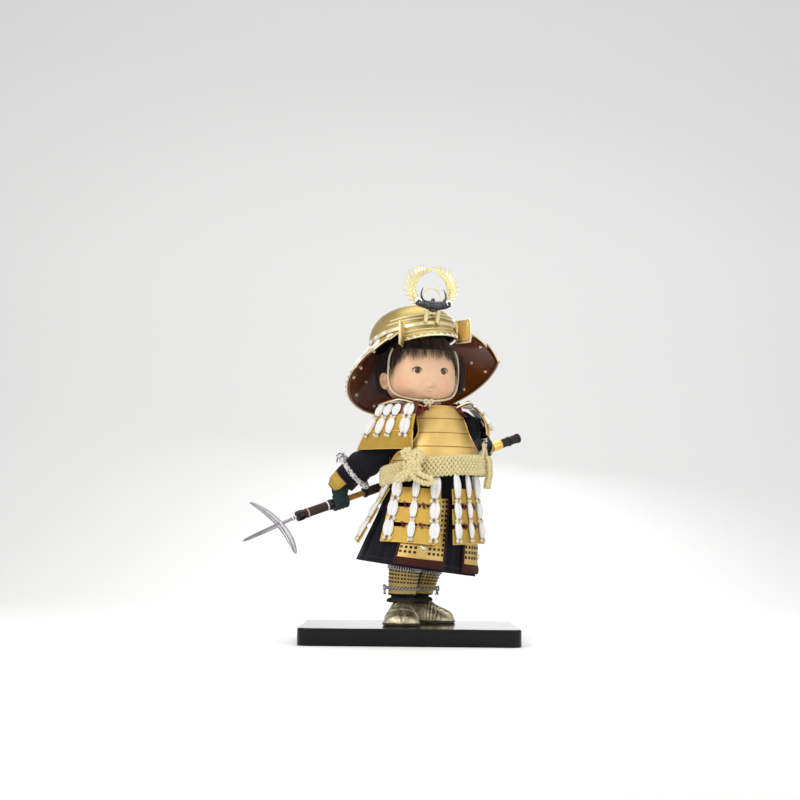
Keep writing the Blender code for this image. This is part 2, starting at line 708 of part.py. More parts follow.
def build_trunk():
    trunk_envelope("torso", -CUIRASS_WALL - TRUNK_GAP)
    for side, turn in (("front", 0.0), ("back", 180.0)):
        rows = [[trunk_point(turn + spread * s, height, -CUIRASS_WALL) for s in steps(-1.0, 1.0, 11)]
                for (height, _), spread in zip(CUIRASS_PROFILE, PLATE_SPREADS)]
        plate(f"cuirass_{side}", rows, CUIRASS_WALL, GOLD)


def sash_ring(column, outset):
    """The sash's section at one of its columns round the trunk."""
    turn = 360.0 * column / SASH_COLUMNS
    lean = trunk_point(turn, SASH_HEIGHT, 0.0)
    middle = sash_height(lean.x)
    ring = []
    for a in steps(0.0, math.tau * 7 / 8, 8):
        height = middle + (0.5 * SASH_WIDTH + outset) * math.sin(a)
        out = SASH_GAP + 0.5 * SASH_DEPTH - (0.5 * SASH_DEPTH + outset) * math.cos(a)
        wide, = CUIRASS_PROFILE[0][1:]
        rest = trunk_point(turn, max(height, WAIST_HEIGHT), 0.0)
        outward = trunk_point(turn, max(height, WAIST_HEIGHT), 1.0) - rest
        point = rest + outward.normalized() * (out + 0.4 * (wide - blend(CUIRASS_PROFILE, height)[0]))
        point.z = height
        ring.append(point)
    return ring


def build_sash():
    bm = skin([sash_ring(column, 0.0) for column in range(SASH_COLUMNS + 1)], capped=False)
    bmesh.ops.remove_doubles(bm, verts=bm.verts, dist=0.00001)
    bmesh.ops.recalc_face_normals(bm, faces=bm.faces)
    solid("sash", bm, CREAM_CORD)


def build_knot():
    turn = KNOT_AZIMUTH - TRUNK_TURN
    rest = trunk_point(turn, SASH_HEIGHT, SASH_GAP + SASH_DEPTH)
    rest.z = sash_height(rest.x)
    face = facing(rest + heading(KNOT_AZIMUTH) * 0.0042, KNOT_AZIMUTH)
    knot = ellipsoid("sash_knot", (0.0068, 0.0036, 0.0078), CREAM_CORD, face, 10, 6)
    loops = (
        ((-0.0050, 0.0, 0.0090), (0.0042, 0.0026, 0.0052), 30.0),
        ((0.0055, 0.0, 0.0086), (0.0040, 0.0026, 0.0050), -30.0),
        ((0.0056, 0.0, -0.0062), (0.0066, 0.0030, 0.0036), 12.0),
        ((-0.0056, 0.0, -0.0060), (0.0050, 0.0028, 0.0032), -12.0),
    )
    for i, (spot, half, lean) in enumerate(loops):
        frame = face @ Matrix.Translation(spot) @ Matrix.Rotation(math.radians(-lean), 4, "Y")
        combine(knot, ellipsoid(f"knot_loop_{i}", half, CREAM_CORD, frame, 6, 4), "UNION")
    column = round(turn * SASH_COLUMNS / 360.0)
    keep_off = skin([sash_ring(c, KNOT_STAND) for c in range(column - 3, column + 4)])
    bmesh.ops.recalc_face_normals(keep_off, faces=keep_off.faces)
    combine(knot, solid("knot_seat", keep_off, LINING), "DIFFERENCE")
    combine(knot, trunk_envelope("knot_trunk_seat", LAYER_GAP), "DIFFERENCE")


def build_yoke():
    turns = steps(YOKE_OPENING, 360.0 - YOKE_OPENING, 17)
    rows = [[yoke_point(turn, share) for turn in turns] for share in (1.0, 0.75, 0.0)]
    plate("shoulder_yoke", rows, YOKE_WALL, BROWN_LACQUER)


def route_ring(middle, way, radius, count=14):
    """A ring of points square to a route."""
    side = way.cross(Vector((0.0, 0.0, 1.0))).normalized()
    over = side.cross(way).normalized()
    return [middle + (side * math.cos(a) + over * math.sin(a)) * radius
            for a in steps(0.0, math.tau * (count - 1) / count, count)]


def sleeve_rings(route, outset):
    middles = [Vector(level[:3]) for level in route]
    rings = []
    for i, level in enumerate(route):
        way = (middles[min(i + 1, len(route) - 1)] - middles[max(i - 1, 0)]).normalized()
        middle = middles[i]
        if i in (0, len(route) - 1):
            middle = middle + way * (outset if i else -outset)
        rings.append(route_ring(middle, way, level[3] + outset))
    return rings


def build_sleeve(side, route, band_level):
    sleeve = lofted(f"{side}_sleeve", sleeve_rings(route, 0.0), NAVY_CLOTH)
    combine(sleeve, trunk_envelope(f"{side}_armhole", LAYER_GAP), "DIFFERENCE")
    middles = [Vector(level[:3]) for level in route]
    way = (middles[band_level + 1] - middles[band_level - 1]).normalized()
    loop = route_ring(middles[band_level], way, route[band_level][3] + LAYER_GAP + BAND_RADIUS)
    tube(f"{side}_sleeve_cord", loop, BAND_RADIUS, WHITE_CORD, cyclic=True)


def build_hand(side, route, grasp, plate_azimuth):
    grip = spear_frame(grasp)
    cuff = [Vector(level[:3]) for level in route[-2:]]
    wrist, way = cuff[1], (cuff[1] - cuff[0]).normalized()
    palm = (grip.translation + Vector((0.0, 0.0, HAND_LIFT))).lerp(wrist, 0.12)
    hand = ellipsoid(f"{side}_hand", HAND_HALF, GLOVE, facing(palm, TRUNK_TURN), 9, 6)
    knuckles = ((-FIST_HALF_LENGTH, 0.7 * FIST_RADIUS), (-0.6 * FIST_HALF_LENGTH, FIST_RADIUS),
                (0.6 * FIST_HALF_LENGTH, FIST_RADIUS), (FIST_HALF_LENGTH, 0.7 * FIST_RADIUS))
    combine(hand, turned(f"{side}_fist", knuckles, GLOVE, grip, 8), "UNION")
    bore = turned(f"{side}_grasp", spear_profile(SEAT_GAP), GLOVE, spear_frame(0.0), 8)
    combine(hand, bore, "DIFFERENCE")
    seat = lofted(f"{side}_cuff_seat", sleeve_rings(route, SEAT_GAP), NAVY_CLOTH)
    combine(hand, seat, "DIFFERENCE")
    out = heading(plate_azimuth)
    out = (out - way * out.dot(way)).normalized()
    right = (-way).cross(out)
    rows = []
    for along, grow in ((0.0085, -0.0022), (0.0030, 0.0), (-0.0030, 0.0)):
        radius = route[-1][3] + LAYER_GAP + grow + max(-along, 0.0) * 0.23
        rows.append([wrist + way * along + (out * math.cos(a) + right * math.sin(a)) * radius
                     for a in steps(-0.62, 0.62, 6)])
    plate(f"{side}_hand_plate", rows, HAND_PLATE_WALL, PALE_GOLD)


def build_shoulder_guard(side, guard):
    """A plate that hangs from under the yoke's rim."""
    bottom, azimuth = guard
    way = heading(azimuth)
    across = heading(azimuth + 90.0)
    top = yoke_point(azimuth - TRUNK_TURN, GUARD_TUCK)
    rows = []
    for share in (1.0, 0.75, 0.5, 0.25, 0.0):
        middle = top.lerp(Vector(bottom), share) + way * 0.0040 * math.sin(math.pi * share)
        half = GUARD_TOP_HALF + (GUARD_BOTTOM_HALF - GUARD_TOP_HALF) * share
        row = []
        for s in steps(-1.0, 1.0, 7):
            point = middle + across * half * s - way * GUARD_BULGE * s * s
            if share == 0.0:
                outer = point + way * GUARD_WALL
                point.z = min(yoke_height(point), yoke_height(outer)) - 3 * LAYER_GAP
            row.append(point)
        rows.append(row)
    plate(f"{side}_shoulder_guard", rows, GUARD_WALL, GOLD)


def build_head():
    rings = [[head_point(a, level) for a in steps(0.0, 342.0, HEAD_COLUMNS)] for level in HEAD_LEVELS[1:-1]]
    bm = skin(rings, capped=False)
    bm.verts.ensure_lookup_table()
    last = len(bm.verts) - HEAD_COLUMNS
    for level, first, flip in ((-90, 0, True), (90, last, False)):
        pole = bm.verts.new(head_point(0.0, level))
        bm.verts.ensure_lookup_table()
        for i in range(HEAD_COLUMNS):
            pair = [bm.verts[first + i], bm.verts[first + (i + 1) % HEAD_COLUMNS]]
            bm.faces.new([pole, *(reversed(pair) if flip else pair)])
    bmesh.ops.recalc_face_normals(bm, faces=bm.faces)
    head = solid("head", bm, SKIN)
    top = CUIRASS_PROFILE[-1][0] + SEAT_GAP
    neck = turned("neck", ((top, NECK_RADIUS), (HEAD_MIDDLE[2] - 0.6 * HEAD_BELOW, NECK_RADIUS)), SKIN,
                  Matrix.Translation((*NECK_PLACE, 0.0)), 10)
    combine(head, neck, "UNION")
    for side, sign in (("right", -1.0), ("left", 1.0)):
        ear = facing(head_point(sign * 92.0, -4.0), HEAD_TURN)
        combine(head, ellipsoid(f"{side}_ear", EAR_HALF, SKIN, ear, 8, 4), "UNION")
        azimuth = HEAD_TURN + sign * EYE_AZIMUTH
        spot = head_point(sign * EYE_AZIMUTH, EYE_LEVEL) - heading(azimuth) * 0.0007
        frame = facing(spot, azimuth, 6.0)
        socket = tuple(half + SEAT_GAP for half in EYE_HALF)
        combine(head, ellipsoid(f"{side}_socket", socket, SKIN, frame, 8, 6), "DIFFERENCE")
        ellipsoid(f"{side}_eye", EYE_HALF, EYE_GLASS, frame, 8, 6)


def build_hair():
    """A wig: a layer over the head, open at the face, down to the nape behind the ears."""
    levels = [level for level in HEAD_LEVELS if level >= -22]
    lifts = [HAIR_WALL * 0.5 if level < 0 else HAIR_WALL for level in levels]
    bm = bmesh.new()
    grid = {}
    for row, level in enumerate(levels[:-1]):
        for column in range(HEAD_COLUMNS):
            turn = 360.0 * column / HEAD_COLUMNS
            for layer, lift in (("in", LAYER_GAP), ("out", LAYER_GAP + lifts[row])):
                grid[layer, row, column] = bm.verts.new(head_point(turn, level, lift))
    for layer, lift in (("in", LAYER_GAP), ("out", LAYER_GAP + HAIR_WALL)):
        grid[layer, "pole"] = bm.verts.new(head_point(0.0, 90, lift))

    def covered(row, column):
        away = abs((360.0 * (column + 0.5) / HEAD_COLUMNS + 180.0) % 360.0 - 180.0)
        if levels[row] < 16:
            return away > NAPE_AZIMUTH
        return away > HAIRLINE_AZIMUTH or levels[row] >= 27

    for row in range(len(levels) - 2):
        for column in range(HEAD_COLUMNS):
            if not covered(row, column):
                continue
            beside = (column + 1) % HEAD_COLUMNS
            corners = ((row, column), (row, beside), (row + 1, beside), (row + 1, column))
            bm.faces.new([grid[("out", *c)] for c in corners])
            bm.faces.new([grid[("in", *c)] for c in reversed(corners)])
    top = len(levels) - 2
    for column in range(HEAD_COLUMNS):
        beside = (column + 1) % HEAD_COLUMNS
        bm.faces.new([grid["out", top, column], grid["out", top, beside], grid["out", "pole"]])
        bm.faces.new([grid["in", top, beside], grid["in", top, column], grid["in", "pole"]])
    bmesh.ops.delete(bm, geom=[v for v in bm.verts if not v.link_faces], context="VERTS")
    rims = [edge for edge in bm.edges if edge.is_boundary]
    partner = {}
    for key, vert in grid.items():
        if vert.is_valid and key[0] == "out" and len(key) == 3:
            partner[vert] = grid[("in", *key[1:])]
    for edge in rims:
        a, b = edge.verts
        if a in partner and b in partner:
            bm.faces.new((b, a, partner[a], partner[b]))
    bmesh.ops.recalc_face_normals(bm, faces=bm.faces)
    solid("hair", bm, HAIR)


def build_chin_cord():
    side = ((76.0, 11.0), (77.0, -4.0), (74.0, -22.0), (64.0, -38.0), (44.0, -48.0), (20.0, -54.0))
    route = [(-a, level) for a, level in side] + [(0.0, -56.0)]
    route += [(a, level) for a, level in reversed(side)]
    points = []
    for azimuth, level in route:
        rest = head_point(azimuth, level)
        out = (head_point(azimuth, level, 0.01) - rest).normalized()
        points.append(rest + out * (CHIN_CORD_RADIUS + 2 * LAYER_GAP))
    tube("chin_cord", through(points, 15), CHIN_CORD_RADIUS, CREAM_CORD)


def build_helmet():
    levels = (0.0, 24.0, 48.0, 70.0)
    rows = [[bowl_point(a, level) for a in steps(0.0, 342.0, 20)] for level in levels]
    bm = skin(rows, capped=False)
    bm.verts.ensure_lookup_table()
    crown = bm.verts.new(bowl_point(0.0, 90.0))
    bm.verts.ensure_lookup_table()
    first = (len(levels) - 1) * 20
    for i in range(20):
        bm.faces.new((bm.verts[first + i], bm.verts[first + (i + 1) % 20], crown))
    bowl = solid("helmet_bowl", bm, PALE_GOLD, bowl_frame())
    shell = bowl.modifiers.new("wall", "SOLIDIFY")
    shell.thickness = BOWL_WALL
    shell.offset = 1.0

    inside = [[bowl_point(a, level, -LAYER_GAP * 1.6) for a in steps(0.0, 342.0, 20)]
              for level in (2.0, 24.0, 48.0, 70.0)]
    liner = lofted("helmet_liner", inside, LINING, bowl_frame())
    wig = [[head_point(a, level, HAIR_WALL + 2.6 * LAYER_GAP) for a in steps(0.0, 342.0, HEAD_COLUMNS)]
           for level in (0, 16, 27, 45, 68, 86)]
    combine(liner, lofted("liner_seat", wig, LINING), "DIFFERENCE")

    rows = []
    frame = bowl_frame()
    for share in (1.0, 0.5, 0.0):
        row = []
        for a in steps(-PEAK_SPREAD, PEAK_SPREAD, 9):
            way = heading(a)
            fade = math.cos(math.radians(a * 90.0 / (PEAK_SPREAD + 24.0)))
            out = BOWL_WALL + LAYER_GAP + PEAK_REACH * share * fade
            point = Vector((way.x * (BOWL_HALF_WIDTH + out), way.y * (BOWL_HALF_DEPTH + out),
                            -SEAT_GAP - PEAK_DROP * share))
            row.append(frame @ point)
        rows.append(row)
    plate("helmet_peak", rows, PEAK_WALL, PALE_GOLD)


def build_neck_guard():
    names = ("upper", "middle", "lower")
    for index, name in enumerate(names):
        top = index / NECK_GUARD_ROWS
        low = (index + 1) / NECK_GUARD_ROWS
        lift = index * (NECK_GUARD_WALL + 2 * LAYER_GAP)
        tuck = 0.05 if index else 0.0
        rows = [[neck_guard_point(share, turn, lift) for turn in steps(0.0, 1.0, 17)]
                for share in (low, top - tuck)]
        plate(f"neck_guard_{name}", rows, NECK_GUARD_WALL, GOLD)


def build_turnback(side, sign):
    """A plate folded forward from the front end of the neck guard."""
    edge = neck_guard_point(0.02, 0.0 if sign > 0 else 1.0, 0.5 * NECK_GUARD_WALL)
    way = heading(HEAD_TURN + sign * TURNBACK_SPLAY)
    start = edge + way * SEAT_GAP - Vector((0.0, 0.0, TURNBACK_DROP))
    across = heading(HEAD_TURN + sign * (TURNBACK_SPLAY + 90.0))
    rows = []
    for up in steps(0.0, 1.0, 4):
        width = TURNBACK_WIDTH * (0.80 + 0.20 * math.sin(math.pi * (0.25 + 0.5 * up)))
        row = [start + way * width * s + across * 0.0020 * s * s + Vector((0.0, 0.0, TURNBACK_HEIGHT * up))
               for s in steps(0.0, 1.0, 4)]
        rows.append(row if sign < 0 else list(reversed(row)))
    plate(f"{side}_turnback", rows, TURNBACK_WALL, GOLD)


def build_crest():
    frame = facing(WREATH_MIDDLE, HEAD_TURN, 0.0, 1.0)
    bm = bmesh.new()
    count = WREATH_LEAVES * 2
    outer, inner = [], []
    for i in range(count):
        angle = math.tau * i / count
        tip = 1.0 if i % 2 == 0 else 0.87
        x, z = math.sin(angle), -math.cos(angle)
        outer.append((x * WREATH_HALF_WIDTH * tip, z * WREATH_HALF_HEIGHT * tip))
        inner.append((x * (WREATH_HALF_WIDTH - WREATH_BAND), z * (WREATH_HALF_HEIGHT - WREATH_BAND * 0.62)))
    faces = []
    for depth in (-0.5 * WREATH_WALL, 0.5 * WREATH_WALL):
        faces.append([[bm.verts.new((x, depth, z)) for x, z in line] for line in (outer, inner)])
    (front_out, front_in), (back_out, back_in) = faces
    for i in range(count):
        j = (i + 1) % count
        for a, b in ((front_out, front_in), (front_in, back_in),
                     (back_in, back_out), (back_out, front_out)):
            bm.faces.new((a[i], a[j], b[j], b[i]))
    bmesh.ops.recalc_face_normals(bm, faces=bm.faces)
    solid("crest_wreath", bm, GOLD, frame)

    ahead = -(0.5 * WREATH_WALL + SEAT_GAP + HORN_BODY_RADIUS)
    base = -WREATH_HALF_HEIGHT + 0.0030
    rings = []
    for s in steps(-1.0, 1.0, 9):
        spot = Vector((HORN_SPREAD * 1.25 * math.sin(s * 1.45), ahead, base + HORN_RISE * abs(s) ** 2.4))
        way = Vector((math.cos(s * 1.45), 0.0, 1.3 * s * abs(s))).normalized()
        over = Vector((-way.z, 0.0, way.x))
        radius = HORN_BODY_RADIUS * (1.0 - 0.78 * abs(s) ** 1.4)
        rings.append([spot + (over * math.cos(a) + Vector((0.0, 1.0, 0.0)) * math.sin(a)) * radius
                      for a in steps(0.0, math.tau * 5 / 6, 6)])
    horns = lofted("crest_horns", rings, DARK_METAL, frame)
    for i, sign in enumerate((-1.0, 1.0)):
        lean = Matrix.Rotation(math.radians(PEG_LEAN), 4, "X")
        peg = turned(f"peg_{i}", ((-PEG_DROP, PEG_RADIUS), (0.0, PEG_RADIUS)), GOLD,
                     frame @ Matrix.Translation((sign * PEG_SPREAD, ahead, base)) @ lean, 8)
        combine(horns, peg, "UNION")
    outside = [[bowl_point(a, level, BOWL_WALL + SEAT_GAP) for a in steps(0.0, 342.0, 20)]
               for level in (0.0, 24.0, 48.0, 70.0, 86.0)]
    combine(horns, lofted("peg_seat", outside, GOLD, bowl_frame()), "DIFFERENCE")


def build_spear():
    turned("spear_shaft", spear_profile(0.0), SHAFT_WOOD, spear_frame(0.0), 8)

    start = spear_frame(FRONT_GRIP_START - SEAT_GAP)
    turn, rise = math.radians(SPEAR_TURN), math.radians(SPEAR_RISE + BLADE_DROOP)
    way = -Vector((math.cos(turn) * math.cos(rise), math.sin(turn) * math.cos(rise), math.sin(rise)))
    flat = Vector((-math.sin(turn), math.cos(turn), 0.0))
    over = way.cross(flat).normalized()
    if over.z < 0:
        over = -over
    roll = math.radians(CROSS_ROLL)
    chord = (over * math.cos(roll) + flat * math.sin(roll)).normalized()
    face = way.cross(chord)
    frame = Matrix.Translation(start.translation) @ Matrix((chord, face, way)).transposed().to_4x4()
    rings = []
    for along, share in ((0.0, 0.75), (0.004, 0.60), (0.014, 0.60), (0.0175, 1.0), (0.030, 1.1),
                         (BLADE_LENGTH - 0.012, 0.95), (BLADE_LENGTH - 0.004, 0.6), (BLADE_LENGTH, 0.12)):
        rings.append([Vector((BLADE_HALF_WIDTH * share * x, BLADE_HALF_DEPTH * share * y, along))
                      for x, y in ((1, 0), (0.35, 0.7), (-0.35, 0.7), (-1, 0), (-0.35, -0.7), (0.35, -0.7))])
    blade = lofted("spear_blade", rings, STEEL, frame)
    cross = bmesh.new()
    middle = BLADE_LENGTH - CROSS_FROM_TIP
    ahead, behind = [], []
    for s in steps(-1.0, 1.0, 13):
        along = middle + CROSS_SWEEP * (s * s)
        half = CROSS_HALF_WIDTH * (1.0 - abs(s) ** 1.7) + 0.0003
        ahead.append((0.5 * CROSS_SPAN * s, along + half * 0.8))
        behind.append((0.5 * CROSS_SPAN * s, along - half * 0.8))
    outline = ahead + list(reversed(behind))
    low = [cross.verts.new((x, -0.5 * CROSS_WALL, z)) for x, z in outline]
    high = [cross.verts.new((x, 0.5 * CROSS_WALL, z)) for x, z in outline]
    half = len(ahead)
    for line in (low, high):
        for i in range(half - 1):
            cross.faces.new((line[i], line[i + 1], line[-i - 2], line[-i - 1]))
    for i in range(len(outline)):
        j = (i + 1) % len(outline)
        cross.faces.new((low[i], low[j], high[j], high[i]))
    bmesh.ops.recalc_face_normals(cross, faces=cross.faces)
    combine(blade, solid("cross_blade", cross, STEEL, frame), "UNION")


def main():
    clear_scene()
    build_board()
    for side, foot, knee, azimuth in (("right", RIGHT_FOOT, RIGHT_KNEE, RIGHT_THIGH_AZIMUTH),
                                      ("left", LEFT_FOOT, LEFT_KNEE, LEFT_THIGH_AZIMUTH)):
        build_shoe(side, foot)
        build_leg(side, foot, knee)
        build_thigh_guard(side, azimuth)
    build_hakama()
    for tasset in TASSETS:
        build_tasset(*tasset)
    build_trunk()
    build_sash()
    build_knot()
    build_yoke()
    for side, route, level, guard, grasp, azimuth in (
            ("right", RIGHT_SLEEVE, RIGHT_BAND_LEVEL, RIGHT_GUARD, RIGHT_GRASP, -30.0),
            ("left", LEFT_SLEEVE, LEFT_BAND_LEVEL, LEFT_GUARD, LEFT_GRASP, 60.0)):
        build_sleeve(side, route, level)
        build_shoulder_guard(side, guard)
        build_hand(side, route, grasp, azimuth)
    build_head()
    build_hair()
    build_chin_cord()
    build_helmet()
    build_neck_guard()
    build_turnback("right", -1.0)
    build_turnback("left", 1.0)
    build_crest()
    build_spear()


main()
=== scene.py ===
"""Looks of the child samurai doll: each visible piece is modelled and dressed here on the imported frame.

Metres, +Z up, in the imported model's own frame. The doll faces -Y and is turned a little towards +X.
Azimuths are degrees in plan, from -Y towards +X. Right and left are the doll's own.
"""

import logging
import math
from dataclasses import dataclass, field
from enum import Enum
from functools import lru_cache
from typing import Sequence

import bmesh
import bpy
import numpy as np
from mathutils import Matrix, Vector, noise


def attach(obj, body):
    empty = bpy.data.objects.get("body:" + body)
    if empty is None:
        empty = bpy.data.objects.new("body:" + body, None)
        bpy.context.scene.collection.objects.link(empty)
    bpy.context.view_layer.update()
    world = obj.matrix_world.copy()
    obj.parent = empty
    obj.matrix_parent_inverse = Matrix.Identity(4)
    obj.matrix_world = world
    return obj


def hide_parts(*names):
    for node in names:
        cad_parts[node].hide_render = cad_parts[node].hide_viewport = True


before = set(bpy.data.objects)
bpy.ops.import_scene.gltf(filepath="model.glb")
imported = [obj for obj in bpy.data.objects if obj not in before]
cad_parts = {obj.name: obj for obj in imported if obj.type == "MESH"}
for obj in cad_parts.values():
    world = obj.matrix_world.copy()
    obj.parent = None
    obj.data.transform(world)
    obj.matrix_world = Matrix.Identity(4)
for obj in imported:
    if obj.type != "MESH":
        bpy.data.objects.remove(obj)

LOG = logging.getLogger("samurai doll")
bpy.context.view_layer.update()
Array = np.ndarray
Term = "Signal | float | Sequence[float]"


# Shader maths

class Signal:
    """A shader socket whose arithmetic adds Math nodes."""

    def __init__(self, bench: "Tree", socket: bpy.types.NodeSocket) -> None:
        """Wraps an output socket of a node tree."""
        self.bench = bench
        self.socket = socket

    def math(self, operation: str, other: "Term" = 0.0, flip: bool = False) -> "Signal":
        """Adds a Math node on this signal and another term, which flip puts first."""
        pair = (other, self) if flip else (self, other)
        return self.bench.node("ShaderNodeMath", {"operation": operation}, {0: pair[0], 1: pair[1]})

    def __add__(self, other: "Term") -> "Signal":
        """Sum of two terms."""
        return self.math("ADD", other)

    __radd__ = __add__

    def __mul__(self, other: "Term") -> "Signal":
        """Product of two terms."""
        return self.math("MULTIPLY", other)

    __rmul__ = __mul__

    def __sub__(self, other: "Term") -> "Signal":
        """This term less the other."""
        return self.math("SUBTRACT", other)

    def __rsub__(self, other: "Term") -> "Signal":
        """The other term less this one."""
        return self.math("SUBTRACT", other, flip=True)

    def wave(self) -> "Signal":
        """Sine of the signal, brought to 0 to 1."""
        return self.math("SINE") * 0.5 + 0.5

    def step(self, low: float, high: float) -> "Signal":
        """A soft step from 0 at low to 1 at high.

        Args:
            low: where it is 0.
            high: where it is 1.

        Returns:
            The stepped signal.
        """
        return self.bench.node(
            "ShaderNodeMapRange", {"interpolation_type": "SMOOTHSTEP"},
            {"Value": self, "From Min": low, "From Max": high})


class Tree:
    """A node tree, and the one way in which nodes are added to it."""

    def __init__(self, tree: bpy.types.NodeTree) -> None:
        """Wraps the tree of a material or a world."""
        self.tree = tree

    def node(self, kind: str, settings: dict | None = None, sockets: dict | None = None,
             out: int | str = 0) -> Signal:
        """Adds any node.

        Args:
            kind: the node's type.
            settings: its properties, set first; "stops" is a ramp's list of place and colour.
            sockets: values or signals by socket name or index.
            out: the output that is wanted.

        Returns:
            That output.
        """
        made = self.tree.nodes.new(kind)
        for key, value in (settings or {}).items():
            if key == "stops":
                ramp = made.color_ramp
                while len(ramp.elements) < len(value):
                    ramp.elements.new(0.5)
                for element, (place, colour) in zip(ramp.elements, value):
                    element.position = place
                    element.color = (*colour, 1.0)
            else:
                setattr(made, key, value)
        for key, value in (sockets or {}).items():
            self.feed(made.inputs[key], value)
        return Signal(self, made.outputs[out])

    def feed(self, socket: bpy.types.NodeSocket, value: "Term") -> None:
        """Links a signal to a socket, or sets its value.

        Args:
            socket: the input.
            value: a signal to link, or a plain value.
        """
        if isinstance(value, Signal):
            self.tree.links.new(value.socket, socket)
        elif isinstance(value, (tuple, list)) and socket.type == "RGBA":
            socket.default_value = (*value[:3], 1.0)
        else:
            socket.default_value = value

    def mix(self, share: "Term", first: "Term", second: "Term", blend: str = "MIX") -> Signal:
        """Mixes two colours by a share."""
        return self.node("ShaderNodeMix", {"data_type": "RGBA", "blend_type": blend},
                         {0: share, 6: first, 7: second}, 2)


class Bench(Tree):
    """One material's node tree, with the patterns that the finishes share."""

    def __init__(self, name: str) -> None:
        """Starts a material with only its output and its Principled shader.

        Args:
            name: the material's name.
        """
        self.material = bpy.data.materials.new(name)
        self.material.use_nodes = True
        super().__init__(self.material.node_tree)
        self.shader = self.tree.nodes["Principled BSDF"]

    def place(self, scale: Sequence[float] = (1.0, 1.0, 1.0), laid: bool = False) -> Signal:
        """Coordinates in metres: of space, or as laid along the piece, times a scale."""
        source = self.node("ShaderNodeTexCoord", out="UV" if laid else "Object")
        return self.node("ShaderNodeVectorMath", {"operation": "MULTIPLY"}, {0: source, 1: tuple(scale)})

    def axis(self, name: str) -> Signal:
        """One laid coordinate: X along the piece and Y round or across it."""
        source = self.node("ShaderNodeTexCoord", out="UV")
        return self.node("ShaderNodeSeparateXYZ", sockets={0: source}, out=name)

    def cloud(self, size: float, detail: float = 3.0, at: Signal | None = None) -> Signal:
        """Soft noise whose patches are about a size in metres."""
        return self.node("ShaderNodeTexNoise", sockets={
            "Vector": at or self.place(), "Scale": 1.0 / size, "Detail": detail})

    def tint(self) -> Signal:
        """The piece's own tint, from 0 to 1, stored with its points."""
        return self.node("ShaderNodeAttribute", {"attribute_name": "tint"}, out="Fac")

    def finish(self, colour: "Term", roughness: "Term", height: Signal | None = None,
               relief: float = 0.0001, metal: "Term" = 0.0, **constant: float | tuple) -> bpy.types.Material:
        """Feeds the shader.

        Args:
            colour: base colour.
            roughness: roughness.
            height: relief from 0 to 1.
            relief: the relief's depth in metres.
            metal: metallic share.
            constant: other sockets that are the same all over, with _ for a space.

        Returns:
            The finished material.
        """
        self.feed(self.shader.inputs["Base Color"], colour)
        self.feed(self.shader.inputs["Roughness"], roughness)
        self.feed(self.shader.inputs["Metallic"], metal)
        for key, value in constant.items():
            self.feed(self.shader.inputs[key.replace("_", " ")], value)
        if height is not None:
            bump = self.node("ShaderNodeBump",
                             sockets={"Height": height, "Distance": relief, "Strength": 1.0})
            self.feed(self.shader.inputs["Normal"], bump)
        return self.material


# Finishes

@dataclass(frozen=True)
class Finish:
    """A finish with a name and a main colour."""

    name: str
    colour: tuple[float, float, float]

    def shade(self, factor: float) -> tuple[float, float, float]:
        """The main colour made darker or paler."""
        return tuple(min(c * factor, 1.0) for c in self.colour)

    def make(self) -> bpy.types.Material:
        """Builds the material."""
        raise NotImplementedError


@dataclass(frozen=True)
class GoldLeaf(Finish):
    """Gold on lacquer: fine upright scales, hand-laid patches and rubbed spots."""

    roughness: float = 0.34
    pitch: float = 0.0011
    ribbed: float = 0.5
    metal: float = 0.75

    def make(self) -> bpy.types.Material:
        """Builds the material.

        Returns:
            The material.
        """
        bench = Bench(self.name)
        across = bench.axis("Y") * (math.tau / self.pitch)
        ribs = (across + bench.cloud(0.004) * 1.5).wave()
        streaks = bench.cloud(1.0, 4.0, bench.place((90.0, 1800.0, 1.0), laid=True))
        patches = bench.cloud(0.009, 4.0)
        rubbed = bench.cloud(0.0016, 5.0).step(0.62, 0.78)
        colour = bench.mix(patches.step(0.3, 0.7), self.shade(0.93), self.shade(1.05))
        colour = bench.mix(streaks.step(0.35, 0.75) * 0.30, colour, self.shade(0.66))
        colour = bench.mix(ribs * 0.22 * self.ribbed, colour, self.shade(0.55))
        colour = bench.mix(rubbed * 0.22, colour, self.shade(0.50))
        roughness = streaks * 0.16 + patches * 0.10 + (self.roughness - 0.10)
        height = ribs * self.ribbed + streaks * 0.35
        return bench.finish(colour, roughness, height, 0.00007, metal=self.metal)


@dataclass(frozen=True)
class SatinBrass(Finish):
    """Pale spun brass with soft cloudy shading and hair-fine lines."""

    roughness: float = 0.36

    def make(self) -> bpy.types.Material:
        """Builds the material.

        Returns:
            The material.
        """
        bench = Bench(self.name)
        clouds = bench.cloud(0.014, 3.0)
        lines = bench.cloud(1.0, 3.0, bench.place((60.0, 2600.0, 1.0), laid=True))
        specks = bench.cloud(0.0007, 2.0)
        colour = bench.mix(clouds.step(0.3, 0.7), self.shade(0.88), self.shade(1.08))
        colour = bench.mix(lines.step(0.4, 0.8) * 0.18, colour, self.shade(0.68))
        colour = bench.mix(specks.step(0.66, 0.75) * 0.25, colour, self.shade(0.6))
        roughness = lines * 0.12 + clouds * 0.10 + (self.roughness - 0.08)
        return bench.finish(colour, roughness, lines * 0.6 + specks * 0.4, 0.00003, metal=0.80)


